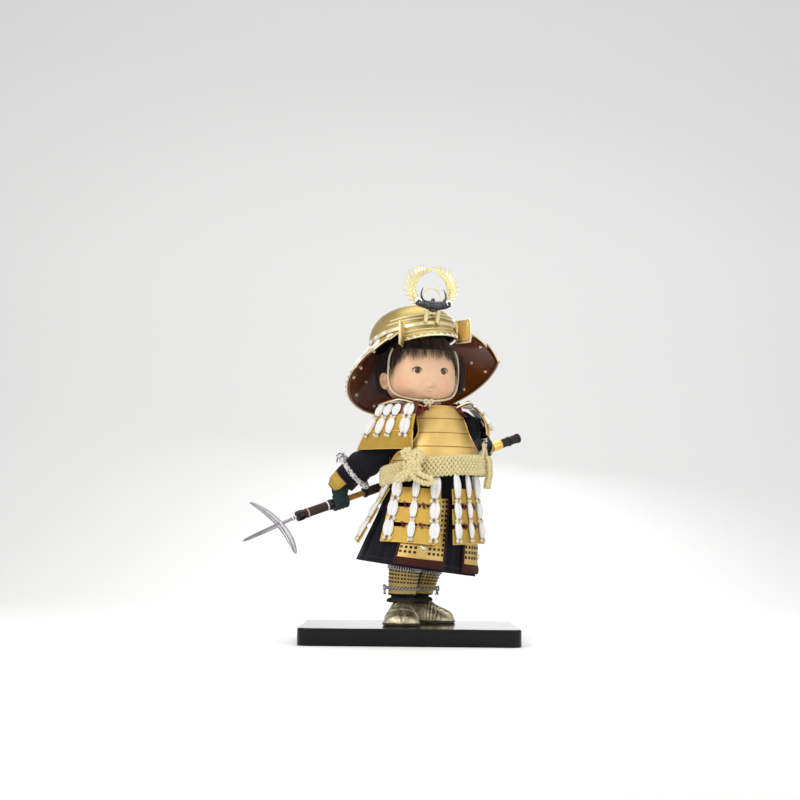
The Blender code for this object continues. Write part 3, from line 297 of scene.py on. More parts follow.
@dataclass(frozen=True)
class Lacquer(Finish):
    """Polished lacquer with a faint peel, dust and hairline scratches."""

    roughness: float = 0.05
    glow: float = 1.6

    def make(self) -> bpy.types.Material:
        """Builds the material.

        Returns:
            The material.
        """
        bench = Bench(self.name)
        clouds = bench.cloud(0.018, 3.0)
        dust = bench.cloud(0.0009, 3.0).step(0.66, 0.80)
        scratches = bench.node("ShaderNodeTexWave", {"wave_type": "BANDS"}, {
            "Vector": bench.place(), "Scale": 260.0, "Distortion": 18.0, "Detail": 3.0, "Detail Scale": 0.6},
            out="Fac").step(0.985, 1.0)
        colour = bench.mix(clouds.step(0.3, 0.75), self.colour, self.shade(self.glow))
        colour = bench.mix(dust * 0.05, colour, (0.35, 0.33, 0.30))
        roughness = dust * 0.18 + scratches * 0.10 + clouds * 0.04 + self.roughness
        height = bench.cloud(0.0035, 2.0) * 0.7 + scratches * -0.3
        return bench.finish(colour, roughness, height, 0.00002, Coat_Weight=0.08, Coat_Roughness=0.04,
                            Specular_IOR_Level=0.17)


@dataclass(frozen=True)
class Cloth(Finish):
    """Woven cloth: fine crossing threads, slubs and a soft sheen."""

    thread: float = 0.00042
    pale: float = 1.9

    def make(self) -> bpy.types.Material:
        """Builds the material.

        Returns:
            The material.
        """
        bench = Bench(self.name)
        turn = math.tau / self.thread
        along, across = bench.axis("X") * turn, bench.axis("Y") * turn
        weave = along.wave() * across.wave() + (1.0 - along.wave()) * (1.0 - across.wave())
        slubs = bench.cloud(1.0, 3.0, bench.place((900.0, 120.0, 1.0), laid=True))
        wear = bench.cloud(0.011, 4.0)
        colour = bench.mix(weave * 0.6 + slubs * 0.25, self.shade(0.65), self.shade(self.pale * 0.75))
        colour = bench.mix(wear.step(0.45, 0.75) * 0.35, colour, self.shade(self.pale))
        roughness = 0.96 - slubs * 0.16
        return bench.finish(colour, roughness, weave + slubs * 0.5, 0.00006,
                            Sheen_Weight=0.10, Sheen_Roughness=0.45, Specular_IOR_Level=0.15)


@dataclass(frozen=True)
class Silk(Finish):
    """Soft cord: plies that wind round it, loose fibre, and painted shade in the hollows between the plies.
    """

    shadow: tuple[float, float, float] = (0.3, 0.28, 0.2)
    twist: float = 0.0022
    plies: float = 3.0
    straight: bool = False

    def make(self) -> bpy.types.Material:
        """Builds the material.

        Returns:
            The material.
        """
        bench = Bench(self.name)
        along, around = bench.axis("X"), bench.axis("Y")
        if self.straight:
            ply = (around * (math.tau * self.plies) + bench.cloud(0.002) * 2.0).wave()
        else:
            ply = (along * (math.tau / self.twist) + around * (math.tau * self.plies)).wave()
        fibre = bench.cloud(1.0, 4.0, bench.place((500.0, 26.0, 1.0), laid=True))
        patches = bench.cloud(0.004, 3.0)
        # Painted shade: the hollows between the plies are darkened towards the shadow colour.
        hollow = ply.step(0.55, 0.0)
        colour = bench.mix(hollow * 0.32, self.colour, self.shadow)
        colour = bench.mix(fibre.step(0.40, 0.85) * 0.16, colour, self.shadow)
        colour = bench.mix(patches.step(0.4, 0.8) * 0.22, colour, self.shade(0.80))
        colour = bench.mix(bench.tint() * 0.18, colour, self.shade(0.66))
        height = ply + fibre * 0.6
        return bench.finish(colour, 0.90 - fibre * 0.22, height, 0.00012,
                            Sheen_Weight=0.2, Sheen_Roughness=0.4, Specular_IOR_Level=0.3)


@dataclass(frozen=True)
class Skin(Finish):
    """Painted skin of powdered shell: matt, warm, with a soft flush."""

    flush: tuple[float, float, float] = (0.86, 0.36, 0.26)
    spots: tuple[tuple[float, float, float, float], ...] = ()

    def spot(self, bench: Bench, at: tuple[float, float, float, float]) -> Signal:
        """A soft round mask about a point: x, y, z and radius.

        Args:
            bench: the material's bench.
            at: x, y, z and radius, in metres.

        Returns:
            The mask, 1 in the middle.
        """
        away = bench.node("ShaderNodeVectorMath", {"operation": "DISTANCE"}, {
            0: bench.place(), 1: at[:3]}, out="Value")
        return away.step(at[3], at[3] * 0.15)

    def make(self) -> bpy.types.Material:
        """Builds the material.

        Returns:
            The material.
        """
        bench = Bench(self.name)
        mottle = bench.cloud(0.006, 4.0)
        pores = bench.cloud(0.0005, 3.0)
        colour = bench.mix(mottle.step(0.3, 0.7), self.shade(0.95), self.shade(1.04))
        for at in self.spots:
            colour = bench.mix(self.spot(bench, at) * 0.42, colour, self.flush)
        colour = bench.mix(bench.tint(), colour, (0.62, 0.24, 0.16))
        colour = bench.mix(pores.step(0.5, 0.8) * 0.06, colour, self.shade(0.70))
        return bench.finish(colour, 0.52 - mottle * 0.10 + pores * 0.08, pores, 0.000012,
                            Subsurface_Weight=0.08, Subsurface_Radius=(0.002, 0.0008, 0.0005),
                            Subsurface_Scale=1.0, Specular_IOR_Level=0.4)


@dataclass(frozen=True)
class Fibre(Finish):
    """Combed hair: strands run along each lock."""

    tip: tuple[float, float, float] = (0.17, 0.11, 0.07)

    def make(self) -> bpy.types.Material:
        """Builds the material.

        Returns:
            The material.
        """
        bench = Bench(self.name)
        lines = bench.cloud(1.0, 3.0, bench.place((30.0, 40.0, 1.0), laid=True))
        colour = bench.mix(bench.tint(), self.colour, self.tip)
        colour = bench.mix(lines.step(0.3, 0.8) * 0.5, colour, self.shade(0.4))
        return bench.finish(colour, 0.42 + lines * 0.2, lines, 0.00004, Specular_IOR_Level=0.35)


@dataclass(frozen=True)
class Leather(Finish):
    """Leather with a metal wash, fine creases and rubbed high spots."""

    roughness: float = 0.26
    metal: float = 0.65

    def make(self) -> bpy.types.Material:
        """Builds the material.

        Returns:
            The material.
        """
        bench = Bench(self.name)
        grain = bench.node("ShaderNodeTexVoronoi", {"feature": "DISTANCE_TO_EDGE"}, {
            "Vector": bench.place(), "Scale": 1500.0}).step(0.0, 0.25)
        clouds = bench.cloud(0.005, 4.0)
        creases = bench.cloud(0.0022, 5.0).step(0.42, 0.50)
        colour = bench.mix(clouds.step(0.35, 0.65), self.shade(0.62), self.shade(1.25))
        colour = bench.mix((1.0 - grain) * 0.45, colour, self.shade(0.35))
        roughness = clouds * 0.14 + (1.0 - grain) * 0.12 + (self.roughness - 0.05)
        return bench.finish(colour, roughness, grain * 0.7 + creases * 0.5 + clouds * 0.5, 0.00009,
                            metal=self.metal)


@dataclass(frozen=True)
class Metal(Finish):
    """Worked metal: drawn lines, tarnish in patches and small pits."""

    roughness: float = 0.24
    drawn: float = 2200.0
    tarnish: float = 0.45

    def make(self) -> bpy.types.Material:
        """Builds the material.

        Returns:
            The material.
        """
        bench = Bench(self.name)
        lines = bench.cloud(1.0, 3.0, bench.place((80.0, self.drawn, 1.0), laid=True))
        patches = bench.cloud(0.006, 5.0)
        pits = bench.cloud(0.0006, 2.0).step(0.66, 0.78)
        colour = bench.mix(patches.step(0.42, 0.7) * self.tarnish, self.colour, self.shade(0.55))
        colour = bench.mix(pits * 0.5, colour, self.shade(0.35))
        roughness = lines * 0.18 + patches * 0.14 + pits * 0.2 + (self.roughness - 0.10)
        return bench.finish(colour, roughness, lines * 0.5 - pits * 0.7, 0.00003, metal=1.0)


@dataclass(frozen=True)
class Glass(Finish):
    """A glass eye: dark iris that fades to its rim and a clear coat."""

    def make(self) -> bpy.types.Material:
        """Builds the material.

        Returns:
            The material.
        """
        bench = Bench(self.name)
        out = bench.axis("X")
        spokes = bench.cloud(1.0, 3.0, bench.place((4.0, 60.0, 1.0), laid=True))
        iris = bench.mix(spokes, self.shade(0.8), self.shade(2.4))
        colour = bench.mix(out.step(0.22, 0.28), (0.004, 0.003, 0.003), iris)
        colour = bench.mix(out.step(0.44, 0.52), colour, self.shade(0.30))
        colour = bench.mix(out.step(0.53, 0.57), colour, (0.74, 0.69, 0.64))
        return bench.finish(colour, 0.10 + spokes * 0.05, spokes, 0.00001, Coat_Weight=0.2,
                            Coat_Roughness=0.02,
                            Specular_IOR_Level=0.3)


@dataclass(frozen=True)
class ShaftLacquer(Finish):
    """Amber lacquer over wood: grain runs along the shaft."""

    def make(self) -> bpy.types.Material:
        """Builds the material.

        Returns:
            The material.
        """
        bench = Bench(self.name)
        grain = bench.cloud(1.0, 5.0, bench.place((70.0, 9.0, 1.0), laid=True))
        clouds = bench.cloud(0.012, 3.0)
        colour = bench.mix(grain.step(0.35, 0.70), self.shade(0.62), self.shade(1.22))
        colour = bench.mix(clouds.step(0.4, 0.8) * 0.4, colour, self.shade(0.75))
        return bench.finish(colour, 0.18 + grain * 0.18, grain, 0.00003, metal=0.25,
                            Coat_Weight=0.5, Coat_Roughness=0.08)


CHEEKS = ((-0.0075, -0.0205, 0.2010, 0.0095), (0.0275, -0.0150, 0.2010, 0.0095))


class Look(Enum):
    """The finishes of the doll."""

    BOARD = Lacquer("board lacquer", (0.003, 0.003, 0.003), 0.035, 1.36)
    BLACK = Lacquer("black lacquer", (0.008, 0.007, 0.007), 0.14, 1.7)
    BROWN = Lacquer("brown lacquer", (0.098, 0.020, 0.001), 0.16, 1.7)
    ARMOUR = GoldLeaf("armour gold", (0.52, 0.325, 0.050), 0.48, 0.0017, 1.0, 0.45)
    CUIRASS = GoldLeaf("cuirass gold", (0.70, 0.475, 0.15), 0.42, 0.0040, 0.04, 0.45)
    GUARD = GoldLeaf("guard gold", (0.54, 0.37, 0.115), 0.42, 0.0017, 0.25, 0.60)
    BRASS = SatinBrass("helmet brass", (0.40, 0.30, 0.10), 0.36)
    RIM = SatinBrass("rim brass", (0.80, 0.70, 0.42), 0.26)
    # Painted shade: the darker line along the cuirass's seams.
    SEAM_SHADE = SatinBrass("seam painted shade", (0.36, 0.21, 0.05), 0.40)
    FERN = SatinBrass("fern brass", (0.92, 0.82, 0.42), 0.22)
    COPPER = SatinBrass("turned gold", (0.74, 0.48, 0.14), 0.30)
    NAVY = Cloth("navy cloth", (0.0075, 0.008, 0.0125))
    MAROON = Cloth("maroon binding", (0.050, 0.013, 0.010), 0.0005, 1.7)
    GLOVE = Cloth("glove cloth", (0.022, 0.046, 0.043), 0.0005, 1.7)
    CREAM = Silk("cream cord", (0.82, 0.70, 0.38), (0.20, 0.18, 0.06))
    WHITE = Silk("white lacing", (0.90, 0.89, 0.87), (0.50, 0.50, 0.52), 0.0022, 7.0, True)
    KNOT = Silk("cream knots", (0.86, 0.76, 0.58), (0.52, 0.42, 0.28))
    GREY = Silk("grey thread", (0.20, 0.20, 0.19), (0.05, 0.05, 0.05), 0.0008)
    BAND = Silk("white band cord", (0.82, 0.81, 0.82), (0.16, 0.15, 0.17), 0.0018, 2.0)
    # Painted shade: the dark band seen in the gaps of the sash's plait.
    SASH_GAP_SHADE = Silk("sash gap shade", (0.23, 0.20, 0.07), (0.07, 0.06, 0.02), 0.0018, 2.0)
    DARK = Silk("black cord", (0.020, 0.018, 0.018), (0.004, 0.004, 0.004), 0.0018, 2.0)
    RED = Silk("red cord", (0.19, 0.014, 0.010), (0.04, 0.004, 0.004), 0.0016)
    WRAP = Silk("grip thread", (0.055, 0.030, 0.022), (0.010, 0.006, 0.005), 0.0010)
    HAIR = Fibre("hair", (0.012, 0.008, 0.007))
    SHOES = Leather("bronze leather", (0.60, 0.53, 0.36), 0.17, 0.88)
    SOLE = Leather("sole leather", (0.10, 0.075, 0.035), 0.5, 0.25)
    STEEL = Metal("blade steel", (0.25, 0.235, 0.25), 0.25)
    GUNMETAL = Metal("gunmetal", (0.075, 0.075, 0.085), 0.30, 900.0)
    EYE = Glass("eye glass", (0.080, 0.034, 0.016))
    SHAFT = ShaftLacquer("shaft lacquer", (0.62, 0.34, 0.06))
    PINK = Silk("pink thread", (0.66, 0.36, 0.33), (0.30, 0.14, 0.13), 0.0010)
    EDGE = Metal("bright edge", (0.86, 0.87, 0.90), 0.14, tarnish=0.15)
    SKIN = Skin("doll skin", (0.78, 0.50, 0.31), spots=CHEEKS)


@lru_cache(maxsize=None)
def material_of(finish: Finish) -> bpy.types.Material:
    """The one material of a finish."""
    return finish.make()


# Lines and surfaces

def heading(azimuth: float | Array) -> Array:
    """Unit vector in plan that an azimuth points along."""
    angle = np.radians(azimuth)
    return np.stack([np.sin(angle), -np.cos(angle), np.zeros_like(angle)], -1)


def unit(vectors: Array) -> Array:
    """Vectors brought to length one."""
    return vectors / np.maximum(np.linalg.norm(vectors, axis=-1, keepdims=True), 1e-12)


def bump_at(value: Array, middle: float, spread: float) -> Array:
    """A bell curve of height one about a middle."""
    return np.exp(-((value - middle) / spread) ** 2)


def ease(value: Array, low: float, high: float) -> Array:
    """A soft step from 0 at low to 1 at high."""
    share = np.clip((value - low) / (high - low), 0.0, 1.0)
    return share * share * (3.0 - 2.0 * share)


def smooth_rows(table: Sequence[Sequence[float]], key: Array) -> Array:
    """Reads a table smoothly between its rows.

    Args:
        table: rows whose first value is their key, rising.
        key: the keys that are wanted.

    Returns:
        The other values of a row, in a new last axis.
    """
    rows = np.array(table, float)
    x, y = rows[:, 0], rows[:, 1:]
    slope = np.gradient(y, x, axis=0)
    key = np.clip(np.asarray(key, float), x[0], x[-1])
    i = np.clip(np.searchsorted(x, key, side="right") - 1, 0, len(x) - 2)
    step = (x[i + 1] - x[i])[..., None]
    t = ((key - x[i])[..., None]) / step
    return ((2 * t ** 3 - 3 * t ** 2 + 1) * y[i] + (t ** 3 - 2 * t ** 2 + t) * step * slope[i]
            + (3 * t ** 2 - 2 * t ** 3) * y[i + 1] + (t ** 3 - t ** 2) * step * slope[i + 1])


def curve(points: Sequence[Sequence[float]], count: int, closed: bool = False) -> Array:
    """Evenly spaced places on a smooth curve through points.

    Args:
        points: the points it goes through.
        count: how many places are wanted.
        closed: joins the end to the start.

    Returns:
        Places, one a row.
    """
    pts = np.array(points, float)
    if closed:
        ends = np.vstack([pts[-1], pts, pts[0], pts[1]])
    else:
        ends = np.vstack([2 * pts[0] - pts[1], pts, 2 * pts[-1] - pts[-2]])
    fine = []
    for i in range(len(ends) - 3):
        a, b, c, d = ends[i:i + 4]
        t = np.linspace(0.0, 1.0, 12, endpoint=False)[:, None]
        fine.append(0.5 * (2 * b + (c - a) * t + (2 * a - 5 * b + 4 * c - d) * t ** 2
                           + (3 * b - 3 * c + d - a) * t ** 3))
    fine = np.vstack([*fine, ends[-2][None]])
    run = np.concatenate([[0.0], np.cumsum(np.linalg.norm(np.diff(fine, axis=0), axis=1))])
    wanted = np.linspace(0.0, run[-1], count, endpoint=not closed)
    return np.stack([np.interp(wanted, run, fine[:, k]) for k in range(3)], -1)


def ways(path: Array, closed: bool = False) -> Array:
    """Unit directions along a path.

    Args:
        path: points of the path.
        closed: the path is a loop.

    Returns:
        One direction a point.
    """
    if closed:
        return unit(np.roll(path, -1, 0) - np.roll(path, 1, 0))
    return unit(np.gradient(path, axis=0))


def frames(path: Array, closed: bool = False,
           up: Sequence[float] | None = None) -> tuple[Array, Array, Array]:
    """Directions along, beside and over a path, with no sudden twist.

    Args:
        path: points of the path.
        closed: the path is a loop.
        up: a direction that over leans to; else it is carried along.

    Returns:
        Along, beside and over.
    """
    along = ways(path, closed)
    if up is not None:
        beside = unit(np.cross(along, np.array(up, float)))
        return along, beside, np.cross(beside, along)
    first = np.array((0.0, 0.0, 1.0)) if abs(along[0][2]) < 0.9 else np.array((1.0, 0.0, 0.0))
    over = [unit(first - along[0] * first.dot(along[0]))]
    for i in range(1, len(path)):
        last = over[-1] - along[i] * over[-1].dot(along[i])
        over.append(unit(last))
    over = np.array(over)
    if closed:
        start, end = over[0], over[-1] - along[0] * over[-1].dot(along[0])
        side = np.cross(along[0], end)
        gap = math.atan2(start.dot(side), start.dot(end))
        turn = np.linspace(0.0, gap, len(path))[:, None]
        over = over * np.cos(turn) + np.cross(along, over) * np.sin(turn)
    return along, np.cross(along, over), over


class Stock:
    """Gathers points and faces, and makes one mesh of them."""

    def __init__(self) -> None:
        """Starts with nothing."""
        self.points: list[Array] = []
        self.faces: list[tuple[Array, int]] = []
        self.coords: list[Array] = []
        self.tints: list[Array] = []
        self.count = 0

    def lattice(self, points: Array, loop: bool = False, caps: bool = False, look: int = 0,
                laid: Array | None = None, tint: float | Array = 0.0) -> "Stock":
        """Adds a surface through a grid of points.

        Args:
            points: rows, columns, 3.
            loop: joins the last column to the first.
            caps: closes the first and last row.
            look: index of its finish.
            laid: rows, columns, 2 coordinates along and across; else measured.
            tint: its tint, one value or one a point.

        Returns:
            This stock.
        """
        rows, columns = points.shape[:2]
        if loop:
            points = np.concatenate([points, points[:, :1]], 1)
            if laid is not None and laid.shape[1] == columns:
                laid = np.concatenate([laid, laid[:, :1]], 1)
            columns += 1
        if laid is None:
            down = np.linalg.norm(np.diff(points, axis=0), axis=-1)
            over = np.linalg.norm(np.diff(points, axis=1), axis=-1)
            along = np.concatenate([np.zeros((1, columns)), np.cumsum(down, 0)], 0)
            across = np.concatenate([np.zeros((rows, 1)), np.cumsum(over, 1)], 1)
            laid = np.stack([along.mean(1, keepdims=True) + 0 * along, across.max(0)[None] + 0 * along], -1)
        if loop and np.ndim(tint) == 2:
            tint = np.concatenate([tint, tint[:, :1]], 1)
        index = self.count + np.arange(rows * columns).reshape(rows, columns)
        if loop:
            index[:, -1] = index[:, 0]
        quads = np.stack([index[:-1, :-1], index[:-1, 1:], index[1:, 1:], index[1:, :-1]], -1).reshape(-1, 4)
        plan = np.arange(rows * columns).reshape(rows, columns)
        spots = np.stack([plan[:-1, :-1], plan[:-1, 1:], plan[1:, 1:], plan[1:, :-1]], -1).reshape(-1, 4)
        flat = laid.reshape(-1, 2)
        self.faces.append((quads, look))
        self.coords.append(flat[spots].reshape(-1, 2))
        if caps:
            keep = columns - 1 if loop else columns
            for row in (index[0, :keep][::-1], index[-1, :keep]):
                self.faces.append((row[None], look))
                self.coords.append(np.tile(flat[plan[0, 0]], (keep, 1)))
        self.points.append(points.reshape(-1, 3))
        self.tints.append(np.broadcast_to(np.asarray(tint, float), (rows * columns,)) if np.ndim(tint) < 2
                          else np.asarray(tint, float).reshape(-1))
        self.count += rows * columns
        return self

    def tube(self, path: Array, radius: float | Array, sides: int = 8, closed: bool = False, look: int = 0,
             flat: float = 1.0, up: Sequence[float] | None = None, tint: float = 0.0,
             ridges: int = 0) -> "Stock":
        """Adds a cord along a path.

        Args:
            path: points along its middle.
            radius: its radius, or one a point.
            sides: points round it.
            closed: the path is a loop.
            look: index of its finish.
            flat: thickness over width.
            up: the direction its thin side faces.
            tint: its tint.
            ridges: strands that show round it.

        Returns:
            This stock.
        """
        along, beside, over = frames(path, closed, up)
        angle = np.linspace(0.0, math.tau, sides, endpoint=False)
        size = np.broadcast_to(np.asarray(radius, float), (len(path),))[:, None]
        if ridges:
            size = size * (1.0 - 0.13 * (1.0 - np.abs(np.sin(angle * ridges * 0.5)))[None])
        ring = (beside[:, None] * (np.cos(angle)[None] * size)[..., None]
                + over[:, None] * (np.sin(angle)[None] * size * flat)[..., None])
        run = np.concatenate([[0.0], np.cumsum(np.linalg.norm(np.diff(path, axis=0), axis=1))])
        laid = np.stack(np.broadcast_arrays(run[:, None], np.linspace(0.0, 1.0, sides + 1)[None]), -1)
        grid = path[:, None] + ring
        if closed:
            grid = np.concatenate([grid, grid[:1]], 0)
            laid = np.concatenate([laid, laid[-1:] + (run[1], 0.0)], 0)
        return self.lattice(grid, loop=True, caps=not closed, look=look, laid=laid, tint=tint)

    def ball(self, middle: Array, half: Sequence[float], axes: Array | None = None, look: int = 0,
             columns: int = 16, levels: int = 10, tint: float = 0.0) -> "Stock":
        """Adds an egg of three half sizes in a frame of axes.

        Args:
            middle: its middle.
            half: its three half sizes.
            axes: its directions as rows; else those of space.
            look: index of its finish.
            columns: points round it.
            levels: rows from end to end.
            tint: its tint.

        Returns:
            This stock.
        """
        axes = np.eye(3) if axes is None else np.asarray(axes)
        level = np.linspace(-0.5 * math.pi, 0.5 * math.pi, levels + 1)[:, None]
        angle = np.linspace(0.0, math.tau, columns, endpoint=False)[None]
        local = np.stack(np.broadcast_arrays(np.cos(level) * np.cos(angle) * half[0],
                                             np.cos(level) * np.sin(angle) * half[1],
                                             np.sin(level) * half[2]), -1)
        grid = np.asarray(middle) + local @ axes
        laid = np.stack(np.broadcast_arrays(level * half[2], np.linspace(0.0, 1.0, columns + 1)[None]), -1)
        return self.lattice(grid, loop=True, look=look, laid=laid, tint=tint)

    def plate(self, inner: Array, wall: float, look: int = 0, inside: int | None = None,
              loop: bool = False, laid: Array | None = None, toward: Array | None = None) -> "Stock":
        """Adds a sheet with round edges, outside where rows fall and columns turn with the azimuth.

        Args:
            inner: rows, columns, 3 of its inner face.
            wall: its thickness.
            look: index of the finish outside and on its edges.
            inside: index of the finish inside.
            loop: joins the last column to the first.
            laid: coordinates of its points.
            toward: a direction that its outside faces, whatever the rows' order.

        Returns:
            This stock.
        """
        down = np.gradient(inner, axis=0)
        wide = np.concatenate([inner[:, -1:], inner, inner[:, :1]], 1) if loop else inner
        over = np.gradient(wide, axis=1)
        over = over[:, 1:-1] if loop else over
        normal = unit(np.cross(down, over))
        if toward is not None and normal.mean((0, 1)) @ np.asarray(toward) < 0:
            normal = -normal
        outer = inner + normal * wall
        core = 0.5 * (inner + outer)
        core[0] -= unit(down[0]) * wall * 0.3
        core[-1] += unit(down[-1]) * wall * 0.3
        if not loop:
            core[:, 0] -= unit(over[:, 0]) * wall * 0.3
            core[:, -1] += unit(over[:, -1]) * wall * 0.3
        self.lattice(outer, loop, look=look, laid=laid)
        self.lattice(inner, loop, look=look if inside is None else inside, laid=laid)
        for row in (0, -1):
            self.lattice(np.stack([inner[row], core[row], outer[row]]), loop, look=look)
        if not loop:
            for column in (0, -1):
                self.lattice(np.stack([inner[:, column], core[:, column], outer[:, column]]), look=look)
        return self

    def mesh(self, name: str, sharp: float = 50.0) -> bpy.types.Object:
        """Makes the object.

        Args:
            name: its name.
            sharp: edges that turn more than this, in degrees, stay sharp.

        Returns:
            The object, linked to the scene.
        """
        data = bpy.data.meshes.new(name)
        faces = [face for block, _ in self.faces for face in block.tolist()]
        data.from_pydata(np.concatenate(self.points).tolist(), [], faces)
        data.polygons.foreach_set("material_index", np.concatenate(
            [np.full(len(block), look, np.int32) for block, look in self.faces]))
        layer = data.uv_layers.new(name="laid")
        layer.uv.foreach_set("vector", np.concatenate(self.coords).astype(np.float32).ravel())
        tint = data.attributes.new("tint", "FLOAT", "POINT")
        tint.data.foreach_set("value", np.concatenate(self.tints).astype(np.float32))
        bm = bmesh.new()
        bm.from_mesh(data)
        bmesh.ops.remove_doubles(bm, verts=bm.verts, dist=1e-6)
        bmesh.ops.recalc_face_normals(bm, faces=bm.faces)
        bmesh.ops.delete(bm, geom=[v for v in bm.verts if not v.link_faces], context="VERTS")
        bm.to_mesh(data)
        bm.free()
        data.shade_smooth()
        data.set_sharp_from_angle(angle=math.radians(sharp))
        made = bpy.data.objects.new(name, data)
        bpy.context.scene.collection.objects.link(made)
        return made


@dataclass
class Assembly:
    """A sub-assembly: build() makes its pieces and dress() gives them their finishes."""

    pieces: list[tuple[bpy.types.Object, tuple[Look, ...]]] = field(default_factory=list, init=False)

    def add(self, made: bpy.types.Object, slot: str, looks: Sequence[Look], *nodes: str) -> bpy.types.Object:
        """Keeps a piece.

        Args:
            made: its object.
            slot: the record's material slot; not used.
            looks: its finishes, in the order of their indices.
            nodes: the CAD nodes that it stands for.

        Returns:
            The object.
        """
        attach(made, "root")
        if nodes:
            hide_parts(*nodes)
        self.pieces.append((made, tuple(looks)))
        return made

    def build(self) -> None:
        """Makes the meshes."""
        raise NotImplementedError

    def dress(self) -> None:
        """Gives each piece its finishes."""
        for made, looks in self.pieces:
            for look in looks:
                made.data.materials.append(material_of(look.value))
            LOG.info("%s: %d faces", made.name, len(made.data.polygons))


def facing(origin: Sequence[float], azimuth: float, rise: float = 0.0, roll: float = 0.0) -> Matrix:
    """A frame whose -Y looks along an azimuth, raised and then rolled."""
    return (Matrix.Translation(Vector(origin)) @ Matrix.Rotation(math.radians(azimuth), 4, "Z")
            @ Matrix.Rotation(math.radians(-rise), 4, "X") @ Matrix.Rotation(math.radians(roll), 4, "Y"))


def carry(place: Matrix, points: Array) -> Array:
    """Points brought out of a frame."""
    turn = np.array(place.to_3x3())
    return np.asarray(points, float) @ turn.T + np.array(place.translation)


def twisted(path: Array, spread: float, strands: int, pitch: float, closed: bool = False) -> list[Array]:
    """Paths of strands that wind round a path.

    Args:
        path: the middle line.
        spread: how far a strand lies from it.
        strands: how many there are.
        pitch: length of one full turn.
        closed: the path is a loop.

    Returns:
        One path for each strand.
    """
    _, beside, over = frames(path, closed)
    run = np.concatenate([[0.0], np.cumsum(np.linalg.norm(np.diff(path, axis=0), axis=1))])
    whole = run[-1] + (np.linalg.norm(path[0] - path[-1]) if closed else 0.0)
    turns = max(round(whole / pitch), 1) if closed else whole / pitch
    angle = run / whole * turns * math.tau
    return [path + spread * (beside * np.cos(angle + k * math.tau / strands)[:, None]
                             + over * np.sin(angle + k * math.tau / strands)[:, None])
            for k in range(strands)]


def plaited(path: Array, width: float, pitch: float, up: Sequence[float] | None = None,
            closed: bool = False) -> list[Array]:
    """Paths of three strands plaited flat along a path, width across.

    Args:
        path: the middle line.
        width: width of the plait.
        pitch: length in which a strand comes back to its place.
        up: a direction that the plait's face leans to; else it is carried along.
        closed: the path is a loop.

    Returns:
        One path for each strand.
    """
    _, beside, over = frames(path, closed, up)
    run = np.concatenate([[0.0], np.cumsum(np.linalg.norm(np.diff(path, axis=0), axis=1))])
    whole = run[-1] + (np.linalg.norm(path[0] - path[-1]) if closed else 0.0)
    turns = max(round(whole / pitch), 1) if closed else whole / pitch
    strands = []
    for k in range(3):
        angle = run / whole * turns * math.tau + k * math.tau / 3
        strands.append(path + beside * (0.5 * width * np.sin(angle))[:, None]
                       + over * (0.20 * width * np.sin(2.0 * angle))[:, None])
    return strands


# Shared forms of the body

@dataclass(frozen=True)
class TrunkForm:
    """The oval trunk that the cuirass, sash and yoke are laid on."""

    x: float = 0.0187
    y: float = 0.003
    waist: float = 0.133
    lean: float = 0.034
    turn: float = 20.0
    depth: float = 0.87
    profile: tuple = (
        (0.1330, 0.0375), (0.1400, 0.0369), (0.1470, 0.0359), (0.1530, 0.0346), (0.1590, 0.0328),
        (0.1660, 0.0295), (0.1730, 0.0254), (0.1800, 0.0206), (0.1865, 0.0155))
    sash_level: float = 0.1370
    sash_depth: float = 0.0056
    sash_gap: float = 0.0008

    def middle(self, height: Array) -> Array:
        """Middle of the trunk at a height."""
        height = np.asarray(height, float)
        return np.stack([self.x + self.lean * (height - self.waist), self.y + 0 * height, height], -1)

    def half(self, height: Array) -> Array:
        """Half width at a height."""
        return smooth_rows(self.profile, height)[..., 0]

    def point(self, turn: Array, height: Array, outset: Array = 0.0) -> Array:
        """Points at a turn from the front and a height, an outset from the cuirass's face.

        Args:
            turn: degrees round from the trunk's front.
            height: level above the floor.
            outset: distance out from the cuirass's face.

        Returns:
            Points.
        """
        turn, height, outset = np.broadcast_arrays(*(np.asarray(v, float) for v in (turn, height, outset)))
        half, angle = self.half(height), np.radians(turn)
        across = heading(self.turn + 90.0) * ((half + outset) * np.sin(angle))[..., None]
        ahead = heading(self.turn) * ((half * self.depth + outset) * np.cos(angle))[..., None]
        return self.middle(height) + across + ahead

    def sash_height(self, x: Array) -> Array:
        """Height of the sash's middle, which droops to the doll's right."""
        off = np.asarray(x, float) - self.x
        return self.sash_level + 0.13 * off - 1.7 * off * off

    def sash_point(self, turn: Array, across: Array, out: Array) -> Array:
        """Points of the sash: turn round the trunk, across its width, and out from its middle.

        Args:
            turn: degrees round from the trunk's front.
            across: distance up from the sash's middle.
            out: distance out from the middle of its thickness.

        Returns:
            Points.
        """
        turn, across, out = np.broadcast_arrays(*(np.asarray(v, float) for v in (turn, across, out)))
        lean = self.point(turn, self.sash_level)
        height = self.sash_height(lean[..., 0]) + across
        level = np.maximum(height, self.waist)
        rest = self.point(turn, level)
        way = unit(self.point(turn, level, 1.0) - rest)
        shrink = self.profile[0][1] - self.half(np.maximum(height, self.waist))
        point = rest + way * (self.sash_gap + 0.5 * self.sash_depth + out + 0.4 * shrink)[..., None]
        point[..., 2] = height
        return point


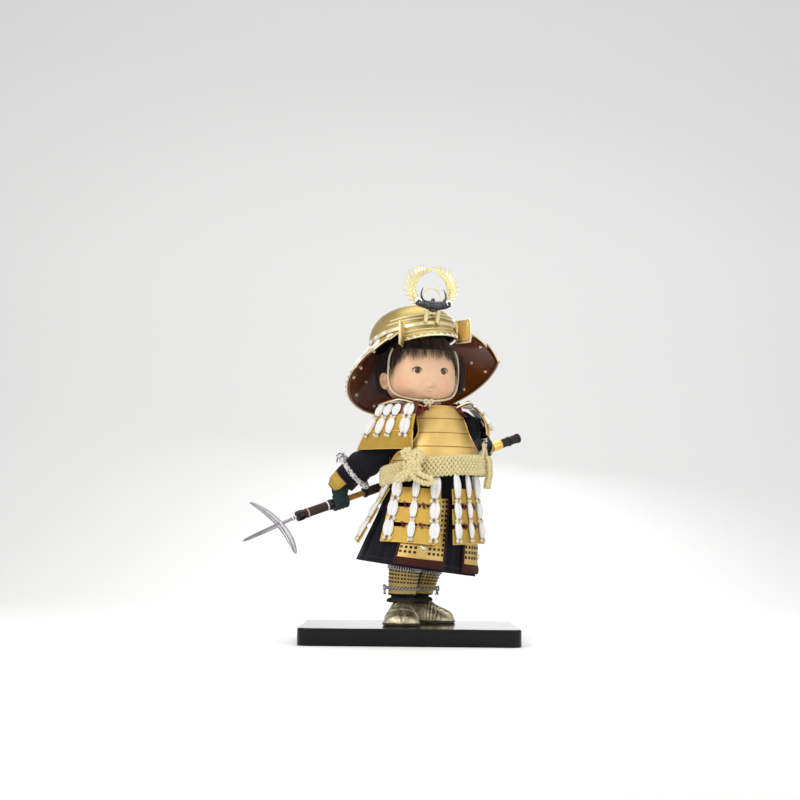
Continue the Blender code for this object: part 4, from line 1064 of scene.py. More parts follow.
@dataclass(frozen=True)
class SkirtForm:
    """The wide trousers' outer form, which the guards and panels are laid on."""

    y: float = 0.003
    levels: tuple = (
        (0.0580, 0.0050, 0.0480, 0.0410, -0.135, 0.0050), (0.0780, 0.0088, 0.0443, 0.0375, -0.070, 0.0045),
        (0.0980, 0.0122, 0.0395, 0.0340, 0.000, 0.0025), (0.1160, 0.0150, 0.0345, 0.0305, 0.000, 0.0010),
        (0.1324, 0.0185, 0.0310, 0.0270, 0.000, 0.0))

    def point(self, azimuth: Array, height: Array, outset: Array = 0.0) -> Array:
        """Points at an azimuth and level, an outset from the cloth.

        Args:
            azimuth: degrees in plan.
            height: level before the hem's slope.
            outset: distance out from the cloth.

        Returns:
            Points.
        """
        azimuth, height, outset = np.broadcast_arrays(
            *(np.asarray(v, float) for v in (azimuth, height, outset)))
        rows = np.array(self.levels)
        middle, width, depth, slope, dent = (np.interp(height, rows[:, 0], rows[:, k]) for k in range(1, 6))
        away = (azimuth - 40.0 + 180.0) % 360.0 - 180.0
        reach = outset - dent * np.exp(-(away / 20.0) ** 2)
        way = heading(azimuth)
        x, y = way[..., 0] * (width + reach), way[..., 1] * (depth + reach)
        return np.stack([middle + x, self.y + y, height + slope * x], -1)

    def reach(self, x: float, azimuth: float, height: float, outset: float) -> float:
        """How far the cloth stands out from a middle at x along an azimuth."""
        points = self.point(np.arange(0.0, 360.0, 5.0), height, outset) - np.array((x, self.y, 0.0))
        return float((points @ heading(azimuth)).max())


@dataclass(frozen=True)
class HeadForm:
    """The doll's round head."""

    middle: tuple[float, float, float] = (0.0075, 0.003, 0.2090)
    turn: float = 19.0
    half_width: float = 0.0285
    half_depth: float = 0.0270
    below: float = 0.0205
    above: float = 0.0410

    def point(self, azimuth: Array, level: Array, outset: Array = 0.0) -> Array:
        """Points at an azimuth from the face's middle and a level from -90 to 90.

        Args:
            azimuth: degrees from the face's middle.
            level: degrees up from the head's middle.
            outset: distance out from the skin.

        Returns:
            Points.
        """
        azimuth, level, outset = np.broadcast_arrays(
            *(np.asarray(v, float) for v in (azimuth, level, outset)))
        angle = np.radians(level)
        low = level < 0
        fullness = np.where(low, 0.80, 1.0)
        out = np.maximum(np.cos(angle), 0.0) ** fullness
        up = np.sign(level) * np.abs(np.sin(angle)) ** fullness
        turned = (azimuth + 180.0) % 360.0 - 180.0
        shape = (0.0022 * bump_at(turned, 0.0, 6.5) * bump_at(level, -15.0, 7.0)
                 + 0.0012 * bump_at(np.abs(turned), 36.0, 16.0) * bump_at(level, -24.0, 16.0)
                 - 0.0008 * bump_at(np.abs(turned), 23.0, 12.0) * bump_at(level, 4.0, 9.0)) * out
        side, ahead, way = heading(self.turn + 90.0), heading(self.turn), heading(self.turn + azimuth)
        across = side * ((way @ side) * (self.half_width + outset + shape) * out)[..., None]
        along = ahead * ((way @ ahead) * (self.half_depth + outset + shape) * out)[..., None]
        rise = np.where(low, self.below, self.above) + outset
        return np.array(self.middle) + across + along + np.stack([0 * up, 0 * up, up * rise], -1)


@dataclass(frozen=True)
class BowlForm:
    """The helmet's bowl, in its own tipped frame."""

    middle: tuple[float, float, float] = (0.0020, 0.0060, 0.2400)
    half_width: float = 0.0345
    half_depth: float = 0.0370
    height: float = 0.0255
    wall: float = 0.0014
    turn: float = 19.0
    rise: float = 13.0
    roll: float = -6.0

    def place(self) -> Matrix:
        """The bowl's frame."""
        return facing(self.middle, self.turn, self.rise, self.roll)

    def point(self, azimuth: Array, level: Array, outset: Array = 0.0) -> Array:
        """Points of its inner face: level 0 is the rim and 90 the crown.

        Args:
            azimuth: degrees from the bowl's front.
            level: degrees up from the rim.
            outset: distance out from the inner face.

        Returns:
            Points.
        """
        azimuth, level, outset = np.broadcast_arrays(
            *(np.asarray(v, float) for v in (azimuth, level, outset)))
        angle = np.radians(np.clip(level, 0.0, 90.0))
        out, up = np.maximum(np.cos(angle), 0.0) ** 0.72, np.sin(angle) ** 0.95
        way = heading(azimuth)
        local = np.stack([way[..., 0] * out * (self.half_width + outset),
                          way[..., 1] * out * (self.half_depth + outset), up * (self.height + outset)], -1)
        return carry(self.place(), local)

    def rim(self, azimuth: Array, out: Array, up: Array) -> Array:
        """Points about the rim, out from the inner face and up from the rim's level.

        Args:
            azimuth: degrees from the bowl's front.
            out: distance out from the inner face.
            up: distance up from the rim.

        Returns:
            Points.
        """
        azimuth, out, up = np.broadcast_arrays(*(np.asarray(v, float) for v in (azimuth, out, up)))
        way = heading(azimuth)
        local = np.stack([way[..., 0] * (self.half_width + out),
                          way[..., 1] * (self.half_depth + out), up], -1)
        return carry(self.place(), local)


@dataclass(frozen=True)
class NeckGuardForm:
    """The flaring neck guard: a middle, half sizes, half opening and pitch at its top and its rim."""

    top: tuple = (0.0040, 0.0055, 0.2392, 0.0365, 0.0385, 37.0, 13.0)
    rim: tuple = (0.0105, 0.0035, 0.2145, 0.0590, 0.0590, 81.0, 29.0)
    turn: float = 19.0
    roll: float = -6.0
    wall: float = 0.0011

    def point(self, share: Array, around: Array, outset: Array = 0.0) -> Array:
        """Points at a share from top to rim and a share round from the left opening to the right.

        Args:
            share: 0 at the top and 1 at the rim.
            around: 0 at the left opening and 1 at the right.
            outset: distance out from the inner face.

        Returns:
            Points.
        """
        share, around, outset = np.broadcast_arrays(*(np.asarray(v, float) for v in (share, around, outset)))
        x, y, z, wide, deep, opening, pitch = (a + (b - a) * share for a, b in zip(self.top, self.rim))
        way = heading(opening + (360.0 - 2.0 * opening) * around)
        lx, ly = way[..., 0] * (wide + outset), way[..., 1] * (deep + outset)
        roll, tip = math.radians(self.roll), np.radians(-pitch)
        px, pz = lx * math.cos(roll), -lx * math.sin(roll)
        py, pz = ly * np.cos(tip) - pz * np.sin(tip), ly * np.sin(tip) + pz * np.cos(tip)
        turn = math.radians(self.turn)
        return np.stack([px * math.cos(turn) - py * math.sin(turn) + x,
                         px * math.sin(turn) + py * math.cos(turn) + y, pz + z], -1)


@dataclass(frozen=True)
class SpearForm:
    """The spear's middle line, which runs up and back to the butt."""

    start: tuple[float, float, float] = (-0.0610, 0.0095, 0.1087)
    turn: float = 26.84
    rise: float = 19.02

    def axes(self) -> Array:
        """Side, over and along, as rows.

        Returns:
            Three unit directions.
        """
        turn, rise = math.radians(self.turn), math.radians(self.rise)
        way = np.array((math.cos(turn) * math.cos(rise), math.sin(turn) * math.cos(rise), math.sin(rise)))
        side = np.array((-math.sin(turn), math.cos(turn), 0.0))
        return np.stack([side, np.cross(way, side), way])

    def at(self, along: Array, side: Array = 0.0, over: Array = 0.0) -> Array:
        """Points along the spear, and beside and over it.

        Args:
            along: distance from the start towards the butt.
            side: distance beside the middle line.
            over: distance over it.

        Returns:
            Points.
        """
        along, side, over = np.broadcast_arrays(*(np.asarray(v, float) for v in (along, side, over)))
        axes = self.axes()
        return np.array(self.start) + np.stack([side, over, along], -1) @ axes


TRUNK, SKIRT, HEAD, BOWL, GUARD, SPEAR = (
    TrunkForm(), SkirtForm(), HeadForm(), BowlForm(), NeckGuardForm(), SpearForm())


# Board, shoes and legs

@dataclass
class DisplayBoard(Assembly):
    """The black lacquered board with eased corners and edges."""

    length: float = 0.170
    depth: float = 0.120
    height: float = 0.0134
    corner: float = 0.008
    edge: float = 0.0015

    def build(self) -> None:
        """Lofts the board through its outlines."""
        levels = [(0.0009, 0.0), (0.0002, 0.0003), (0.0, 0.0010), (0.0, self.height - self.edge)]
        levels += [(self.edge * (1 - math.cos(a)), self.height - self.edge * (1 - math.sin(a)))
                   for a in np.linspace(0.15, 0.5 * math.pi, 8)]
        levels += [(self.edge + 0.0004, self.height), (self.edge + 0.004, self.height)]
        rings = []
        for inset, z in levels:
            ring, radius = [], self.corner - min(inset, self.edge) - max(inset - self.edge, 0.0)
            for i, (sx, sy) in enumerate(((1, 1), (-1, 1), (-1, -1), (1, -1))):
                for a in np.radians(np.linspace(90.0 * i, 90.0 * i + 90.0, 14)):
                    ring.append((sx * (self.length / 2 - self.corner) + radius * math.cos(a),
                                 sy * (self.depth / 2 - self.corner) + radius * math.sin(a), z))
            rings.append(ring)
        stock = Stock().lattice(np.array(rings), loop=True, caps=True)
        self.add(stock.mesh("board", 60.0), "black_lacquer", [Look.BOARD], "base_board")


@dataclass
class Footwear(Assembly):
    """A pair of bronze leather shoes with a seam up the toe, piping and a sole."""

    stations: tuple = (
        (-0.0160, 0.0065, 0.009), (-0.0125, 0.0095, 0.0145), (-0.004, 0.0112, 0.0195),
        (0.004, 0.0122, 0.0180), (0.012, 0.0137, 0.0130), (0.019, 0.0140, 0.0098),
        (0.0235, 0.0112, 0.0068), (0.0255, 0.0055, 0.0036))
    board: float = 0.0137
    sole: float = 0.0009
    feet: tuple = (("right", -0.0060, 0.0010, 0.0), ("left", 0.0115, 0.0315, 82.0))

    def upper(self, place: Matrix, along: Array, angle: Array, lift: Array = 0.0) -> Array:
        """Points of a shoe's upper at places along it and angles over it.

        Args:
            place: the shoe's frame.
            along: distance towards the toe.
            angle: 0 at one side of the sole and pi at the other.
            lift: distance out from the leather.

        Returns:
            Points.
        """
        size = smooth_rows(self.stations, along)
        half, tall = size[..., 0] + lift, size[..., 1] + lift
        local = np.stack([-half * np.cos(angle), -along + 0 * angle,
                          tall * np.maximum(np.sin(angle), 0.0) ** 0.8], -1)
        return carry(place, local)

    def build(self) -> None:
        """Makes the upper, its piping, the collar and the sole of each shoe."""
        for side, x, y, turn in self.feet:
            place = facing((x, y, self.board), turn)
            stock = Stock()
            along = np.linspace(-0.016, 0.0255, 74)[:, None]
            angle = np.linspace(0.0, math.pi, 65)[None]
            fore = ease(along, 0.0, 0.006)
            seam = -0.0011 * bump_at(angle, 0.5 * math.pi, 0.055) * fore
            welt = 0.0005 * (bump_at(angle, 0.5 * math.pi - 0.14, 0.05)
                             + bump_at(angle, 0.5 * math.pi + 0.14, 0.05)) * fore
            cap = 0.0005 * bump_at(along + 0.0035 * np.abs(np.cos(angle)) ** 2, 0.0165, 0.0007)
            waves = np.sin(along * 2400.0 + 2.2 * np.abs(np.cos(angle)))
            folds = 0.00035 * waves * bump_at(along, 0.0075, 0.0042)
            shape = self.upper(place, along + 0 * angle, angle + 0 * along,
                               seam + welt + cap + folds - 0.0002)
            shape[..., 2] = np.maximum(shape[..., 2], self.board + self.sole)
            stock.lattice(shape)
            for row in (0, -1):
                base = shape[row].copy()
                base[:, 2] = self.board + self.sole
                stock.lattice(np.stack([shape[row], base]))
            for share in (0.5 - 0.063, 0.5 + 0.063):
                path = self.upper(place, np.linspace(0.004, 0.0245, 40),
                                  np.full(40, math.pi * share), 0.00035)
                stock.tube(path, 0.00042, 6, look=2)
            rim = np.linspace(0.3, math.pi - 0.3, 40)
            stock.tube(self.upper(place, np.full(40, 0.0140) - 0.0035 * np.cos(rim) ** 2, rim, 0.0002),
                       0.00045, 6, look=2)
            line = np.linspace(-0.0158, 0.0254, 44)
            half = smooth_rows(self.stations, line)[:, 0]
            outline = np.concatenate([np.stack([half, -line], -1), np.stack([-half, -line], -1)[::-1]])
            away = unit(outline - outline.mean(0))
            rings = [np.concatenate([outline + away * grow, np.full((len(outline), 1), z)], 1)
                     for z, grow in ((0.0, -0.0002), (0.0003, 0.0004), (0.0013, 0.0005), (0.0017, 0.0))]
            stock.lattice(carry(place, np.array(rings)), loop=True, caps=True, look=1)
            bead = np.concatenate([outline + away * 0.0003, np.full((len(outline), 1), 0.0019)], 1)
            stock.tube(carry(place, bead), 0.0004, 6, closed=True, look=2)
            ankle = np.array((x, y, 0.0)) - heading(turn) * 0.004
            around = heading(np.arange(0.0, 360.0, 6.0)) * 0.0096
            for k, (level, radius, look) in enumerate(((0.0318, 0.00130, 1), (0.0334, 0.0008, 3))):
                ring = ankle + around * (1.0 - 0.02 * k) + np.array((0.0, 0.0, level))
                stock.tube(ring, radius, 8, closed=True, look=look)
            for k in range(30):
                way = heading(12.0 * k)
                top = ankle + way * 0.0098 + np.array((0.0, 0.0, 0.0338))
                low = ankle + way * 0.0118 + np.array((0.0, 0.0, 0.0305 + 0.0004 * (k % 3)))
                stock.tube(np.stack([top, 0.5 * (top + low) + way * 0.0004, low]),
                           np.array((0.0005, 0.0007, 0.0002)), 5, look=3, tint=0.3 * (k % 2))
            self.add(stock.mesh(f"{side}_shoe_leather"), "shoe_leather",
                     [Look.SHOES, Look.SOLE, Look.SHOES, Look.DARK], f"{side}_shoe")


@dataclass
class LegArmour(Assembly):
    """Navy leggings with splinted gold shin guards, inlaid squares, and a twisted cord below."""

    radius_ankle: float = 0.0090
    radius_knee: float = 0.0104
    low: float = 0.0335
    high: float = 0.0580
    spread: float = 115.0
    splints: int = 9
    cord: float = 0.32
    inlays: tuple = (0.845, 0.733, 0.621, 0.509)
    inlay_height: float = 0.027
    inlay_turn: float = 3.5
    knots: tuple = (("right", -78.0), ("left", 70.0))
    sides: tuple = (("right", (-0.0060, 0.0010, 0.0), (-0.0040, 0.0040)),
                    ("left", (0.0115, 0.0315, 82.0), (0.0140, 0.0290)))

    def ring(self, foot: Sequence[float], knee: Sequence[float], share: Array, turns: Array,
             outset: Array = 0.0) -> Array:
        """Points round a leg at shares of its height.

        Args:
            foot: x, y and turn of the foot.
            knee: x and y of the leg's middle at the top.
            share: 0 at the ankle and 1 at the knee.
            turns: degrees in plan.
            outset: distance out from the leg.

        Returns:
            Points.
        """
        share, turns, outset = np.broadcast_arrays(*(np.asarray(v, float) for v in (share, turns, outset)))
        x, y, turn = foot
        ankle = np.array((x, y, 0.0)) - heading(turn) * 0.004
        middle = ankle + (np.array((*knee, 0.0)) - ankle) * share[..., None]
        radius = self.radius_ankle + (self.radius_knee - self.radius_ankle) * share + outset
        point = middle + heading(turns) * radius[..., None]
        point[..., 2] = (self.low + (self.high - self.low) * share
                         + (-0.135 * (point[..., 0] - 0.005) - 0.0003) * share)
        return point

    def build(self) -> None:
        """Makes the leggings, shin guards, inlays and cords."""
        for side, foot, knee in self.sides:
            share = np.linspace(0.0, 1.24, 24)[:, None]
            turns = np.linspace(0.0, 360.0, 48, endpoint=False)[None]
            creases = 0.0003 * np.sin(share * 26.0 + np.radians(turns) * 2.0) - 0.0003
            legging = Stock().lattice(self.ring(foot, knee, share, turns, creases), loop=True, caps=True)
            self.add(legging.mesh(f"{side}_legging"), "navy_cloth", [Look.NAVY], f"{side}_leg")

            face = foot[2] * 0.5
            step = 2.0 * self.spread / self.splints
            stock = Stock()
            for k in range(self.splints):
                first = face - self.spread + step * k
                across = np.linspace(first + 0.5, first + step - 0.5, 7)[None]
                rows = np.linspace(0.93, 0.14, 14)[:, None]
                arch = 0.00035 * (1.0 - ((across - across.mean()) / (0.5 * step)) ** 2)
                stock.plate(self.ring(foot, knee, rows, across, 0.0006 + arch), 0.0009, 0, 1)
                for at in self.inlays:
                    for spot in (first + step * 0.27, first + step * 0.73):
                        rows = np.array((at + self.inlay_height, at - self.inlay_height))[:, None]
                        turns = np.array((spot - self.inlay_turn, spot + self.inlay_turn))[None]
                        stock.plate(self.ring(foot, knee, rows, turns, 0.0017), 0.00035, 1)
            turns = np.linspace(face - self.spread, face + self.spread, 60)
            stock.tube(self.ring(foot, knee, 0.94, turns, 0.0012), 0.0010, 8, look=1)
            stock.tube(self.ring(foot, knee, 0.135, turns, 0.0012), 0.0009, 8, look=1)
            for turn in np.arange(face - self.spread + 4.0, face + self.spread, 9.0):
                stitch = self.ring(foot, knee, np.linspace(0.99, 0.875, 6), turn,
                                   0.0019 + 0.0007 * np.sin(np.linspace(0.1, 3.0, 6)))
                stock.tube(stitch, 0.00045, 6, look=2)
            self.add(stock.mesh(f"{side}_shin_splints"), "gold_armour",
                     [Look.GUARD, Look.BLACK, Look.BAND], f"{side}_shin_guard")

            cords = Stock()
            loop = self.ring(foot, knee, self.cord, np.linspace(0.0, 360.0, 120, endpoint=False), 0.0031)
            for k, strand in enumerate(twisted(loop, 0.00062, 4, 0.0052, closed=True)):
                cords.tube(strand, 0.00062, 7, closed=True, look=k % 2)
            knot_at = face + dict(self.knots)[side]
            knot, way = self.ring(foot, knee, self.cord, knot_at, 0.0040), heading(knot_at)
            beside = np.cross(way, (0.0, 0.0, 1.0))
            for sign, drop in ((1.0, 0.0022), (-1.0, 0.0018)):
                tie = np.array([knot, knot + beside * sign * 0.0024 + way * 0.0010 + (0, 0, drop),
                                knot + beside * sign * 0.0048 + way * 0.0006 + (0, 0, 0.2 * drop),
                                knot + beside * sign * 0.0026 + way * 0.0012 + (0, 0, -0.6 * drop), knot])
                for k, strand in enumerate(twisted(curve(tie, 36), 0.0003, 2, 0.0028)):
                    cords.tube(strand, 0.00042, 6, look=k)
                end = np.array([knot, knot + beside * sign * 0.0012 + way * 0.0010 - (0, 0, 0.0022),
                                knot + beside * sign * 0.0022 + way * 0.0008 - (0, 0, 0.0052)])
                for k, strand in enumerate(twisted(curve(end, 20), 0.0003, 2, 0.0028)):
                    cords.tube(strand, 0.00042, 6, look=k)
            cords.ball(knot + way * 0.0004, (0.0012, 0.0012, 0.0012), look=0, columns=10, levels=6)
            self.add(cords.mesh(f"{side}_shin_twist"), "white_cord", [Look.BAND, Look.DARK],
                     f"{side}_shin_cord")


# Trousers, thigh guards and skirt panels

@dataclass
class Trousers(Assembly):
    """Wide navy trousers with pressed pleats, a turned hem and a lining."""

    hem: float = 0.0580
    waist: float = 0.1324
    ceiling: float = 0.0650
    pleats: tuple = (-62.0, -36.0, 33.0, 45.0, 128.0, 152.0, 180.0, 208.0, 232.0, 262.0)
    seams: tuple = (0.0622, 0.0632)

    def folds(self, azimuth: Array, height: Array) -> Array:
        """How far the cloth falls in from its form: pleats that fade upwards.

        Args:
            azimuth: degrees in plan.
            height: level of the cloth.

        Returns:
            Distances, below 0 where the cloth falls in.
        """
        fall = ease(height, 0.118, 0.060)
        turn = np.radians(azimuth)
        soft = 0.5 + 0.5 * np.sin(turn * 7.0 + 1.1 + 9.0 * (height - 0.058))
        small = 0.5 + 0.5 * np.sin(turn * 17.0 + 0.6 * np.sin(turn * 5.0))
        pleat = sum(bump_at((azimuth - at + 180.0) % 360.0 - 180.0, 0.0, 2.6) for at in self.pleats)
        return -(0.0011 * soft ** 2 + 0.0003 * small) * fall - 0.0009 * pleat * (0.25 + 0.75 * fall)

    def build(self) -> None:
        """Lofts the cloth down to the hem and back up inside."""
        azimuth = np.arange(0.0, 360.0, 2.0)[None]
        outer = np.linspace(self.waist, self.hem + 0.0006, 40)[:, None]
        rings = [SKIRT.point(azimuth, outer, self.folds(azimuth, outer))]
        for drop, inset in ((0.0002, 0.0), (0.0, -0.00035), (0.0, -0.0008), (0.0003, -0.0011)):
            rings.append(SKIRT.point(azimuth, self.hem + drop, self.folds(azimuth, self.hem) + inset))
        inner = np.linspace(self.hem + 0.001, self.ceiling, 8)[:, None]
        rings.append(SKIRT.point(azimuth, inner, self.folds(azimuth, inner) - 0.0012))
        rings.append(SKIRT.point(azimuth, self.ceiling + 0.001, -0.020))
        grid = np.concatenate([r if r.ndim == 3 else r[None] for r in rings], 0)
        stock = Stock().lattice(grid, loop=True, caps=True)
        for level in self.seams:
            turns = np.arange(0.0, 360.0, 2.4)
            stock.tube(SKIRT.point(turns, level, self.folds(turns, level) + 0.00003), 0.00016, 5,
                       closed=True, look=1)
        self.add(stock.mesh("trousers"), "navy_cloth", [Look.NAVY, Look.DARK], "hakama")


@dataclass
class ThighArmour(Assembly):
    """Gold thigh guards inlaid with black squares, bound in maroon cloth, with a domed stud."""

    spread: float = 23.5
    low: float = 0.0598
    gold_low: float = 0.0650
    high: float = 0.1120
    pitch: float = 0.0036
    inlay_height: float = 0.0009
    inlay_turn: float = 1.2
    petals: int = 12
    flower: float = 0.0023
    sides: tuple = (("right", 2.5, 3.0, 0.0738), ("left", 76.0, 80.0, 0.0715))

    def build(self) -> None:
        """Makes the plate, its binding, the inlays and the stud of each guard."""
        for side, azimuth, stud_at, stud_level in self.sides:
            stock = Stock()
            turns = np.linspace(azimuth - self.spread, azimuth + self.spread, 50)[None]
            rows = np.linspace(self.high, self.gold_low, 16)[:, None]
            stock.plate(SKIRT.point(turns, rows, 0.0005), 0.0010, 0, 1)
            rolled = np.linspace(self.gold_low + 0.0006, self.low, 12)
            puff = 0.0012 * np.sin(np.linspace(0.25, math.pi - 0.2, 12)) ** 0.6
            ripple = 0.00012 * np.sin(turns * 3.1)
            stock.plate(SKIRT.point(turns, rolled[:, None], 0.0005 + puff[:, None] + ripple), 0.0006, 2, 2)
            for edge in (azimuth - self.spread, azimuth + self.spread):
                path = SKIRT.point(np.full(50, edge), np.linspace(self.low + 0.0002, self.high, 50), 0.0012)
                stock.tube(path, 0.00105, 8, look=2)
            path = SKIRT.point(turns[0], np.full(50, self.gold_low + 0.0010), 0.0017)
            stock.tube(path, 0.00030, 6, look=4)
            stud = SKIRT.point(stud_at, stud_level, 0.0015)
            columns = np.linspace(azimuth - self.spread + 2.9, azimuth + self.spread - 2.9, 10)
            for level in np.arange(self.gold_low + 0.0052, self.high - 0.002, self.pitch):
                for at in columns:
                    middle = SKIRT.point(at, level, 0.0015)
                    if np.linalg.norm(middle - stud) < 2.0 * self.flower:
                        continue
                    turns = np.array((at - self.inlay_turn, at + self.inlay_turn))[None]
                    rows = np.array((level + self.inlay_height, level - self.inlay_height))[:, None]
                    stock.plate(SKIRT.point(turns, rows, 0.0014), 0.00035, 1)
            away = unit(SKIRT.point(stud_at, stud_level, 0.01) - stud)
            over = unit(np.cross(away, np.cross((0.0, 0.0, 1.0), away)))
            axes = np.stack([np.cross(over, away), over, away])
            for k in range(self.petals):
                a = math.tau * k / self.petals
                ray = axes[0] * math.cos(a) + axes[1] * math.sin(a)
                own = np.stack([ray, axes[1] * math.cos(a) - axes[0] * math.sin(a), away])
                stock.ball(stud + ray * self.flower + away * 0.0001, (0.0010, 0.00062, 0.0005), own, look=3,
                           columns=10, levels=6)
            stock.ball(stud + away * 0.0002, (0.0021, 0.0021, 0.0019), axes, look=3, columns=24, levels=14)
            angle = np.linspace(0, math.tau, 40, endpoint=False)[:, None]
            ring = stud + self.flower * (axes[0] * np.cos(angle) + axes[1] * np.sin(angle))
            stock.tube(ring + away * 0.0006, 0.00028, 6, closed=True, look=3)
            self.add(stock.mesh(f"{side}_thigh_plate"), "gold_armour",
                     [Look.GUARD, Look.BLACK, Look.MAROON, Look.RIM, Look.COPPER], f"{side}_thigh_guard")


@dataclass
class Lacing:
    """Bundles of white silk, tied off at each end, with cream knots below."""

    width: float = 0.0062
    depth: float = 0.0036
    silk: int = 0
    thread: int = 1
    knot: int = 2

    def hang(self, stock: Stock, top: Array, low: Array, out: Array, double: bool = False,
             knots: bool = True) -> None:
        """Adds one bundle.

        Args:
            stock: where it goes.
            top: its upper end.
            low: its lower end.
            out: the direction that it bulges in.
            double: two bundles side by side, which look like a wide one.
            knots: adds the knots under it.
        """
        way, out = unit(low - top), unit(out)
        beside = unit(np.cross(way, out))
        share = np.linspace(0.0, 1.0, 13)
        swell = 0.34 + 0.66 * np.sin(math.pi * share ** 0.92) ** 0.62
        for off in ((-0.30, 0.30) if double else (0.0,)):
            width = self.width * (0.74 if double else 1.0)
            middle = beside * off * self.width
            path = top + middle * swell[:, None] + (low - top) * share[:, None]
            path = path + out * (0.0008 * np.sin(math.pi * share))[:, None]
            stock.tube(path, 0.5 * width * swell, 24, look=self.silk, flat=self.depth / width, up=out,
                       ridges=10, tint=float(abs(off)))
            for end, turn in ((top, 1.0), (low, -1.0)):
                place = end + middle * 0.4 + way * turn * 0.0007
                angle = np.linspace(0.0, math.tau, 18, endpoint=False)[:, None]
                ring = place + beside * np.cos(angle) * 0.24 * width + out * np.sin(angle) * 0.24 * self.depth
                stock.tube(ring, 0.00026, 6, closed=True, look=self.thread)
        if not knots:
            return
        for off in ((-0.38, 0.38) if double else (-0.17, 0.17)):
            spot = low + way * 0.0013 + beside * off * self.width + out * 0.0003
            half = (0.0015, 0.0013, 0.0016) if double else (0.0012, 0.0012, 0.0015)
            stock.ball(spot, half, np.stack([beside, out, way]), look=self.knot, columns=12, levels=8)
            loop = np.linspace(0.0, math.tau, 16, endpoint=False)[:, None]
            ring = spot + beside * np.cos(loop) * half[0] * 1.02 + out * np.sin(loop) * half[1] * 1.02
            stock.tube(ring, 0.00030, 6, closed=True, look=self.knot, tint=0.7)
        spot = low + way * 0.0002
        stock.tube(np.stack([spot - beside * 0.0012, spot + beside * 0.0012]) + out * 0.0010,
                   0.00030, 6, look=self.thread)


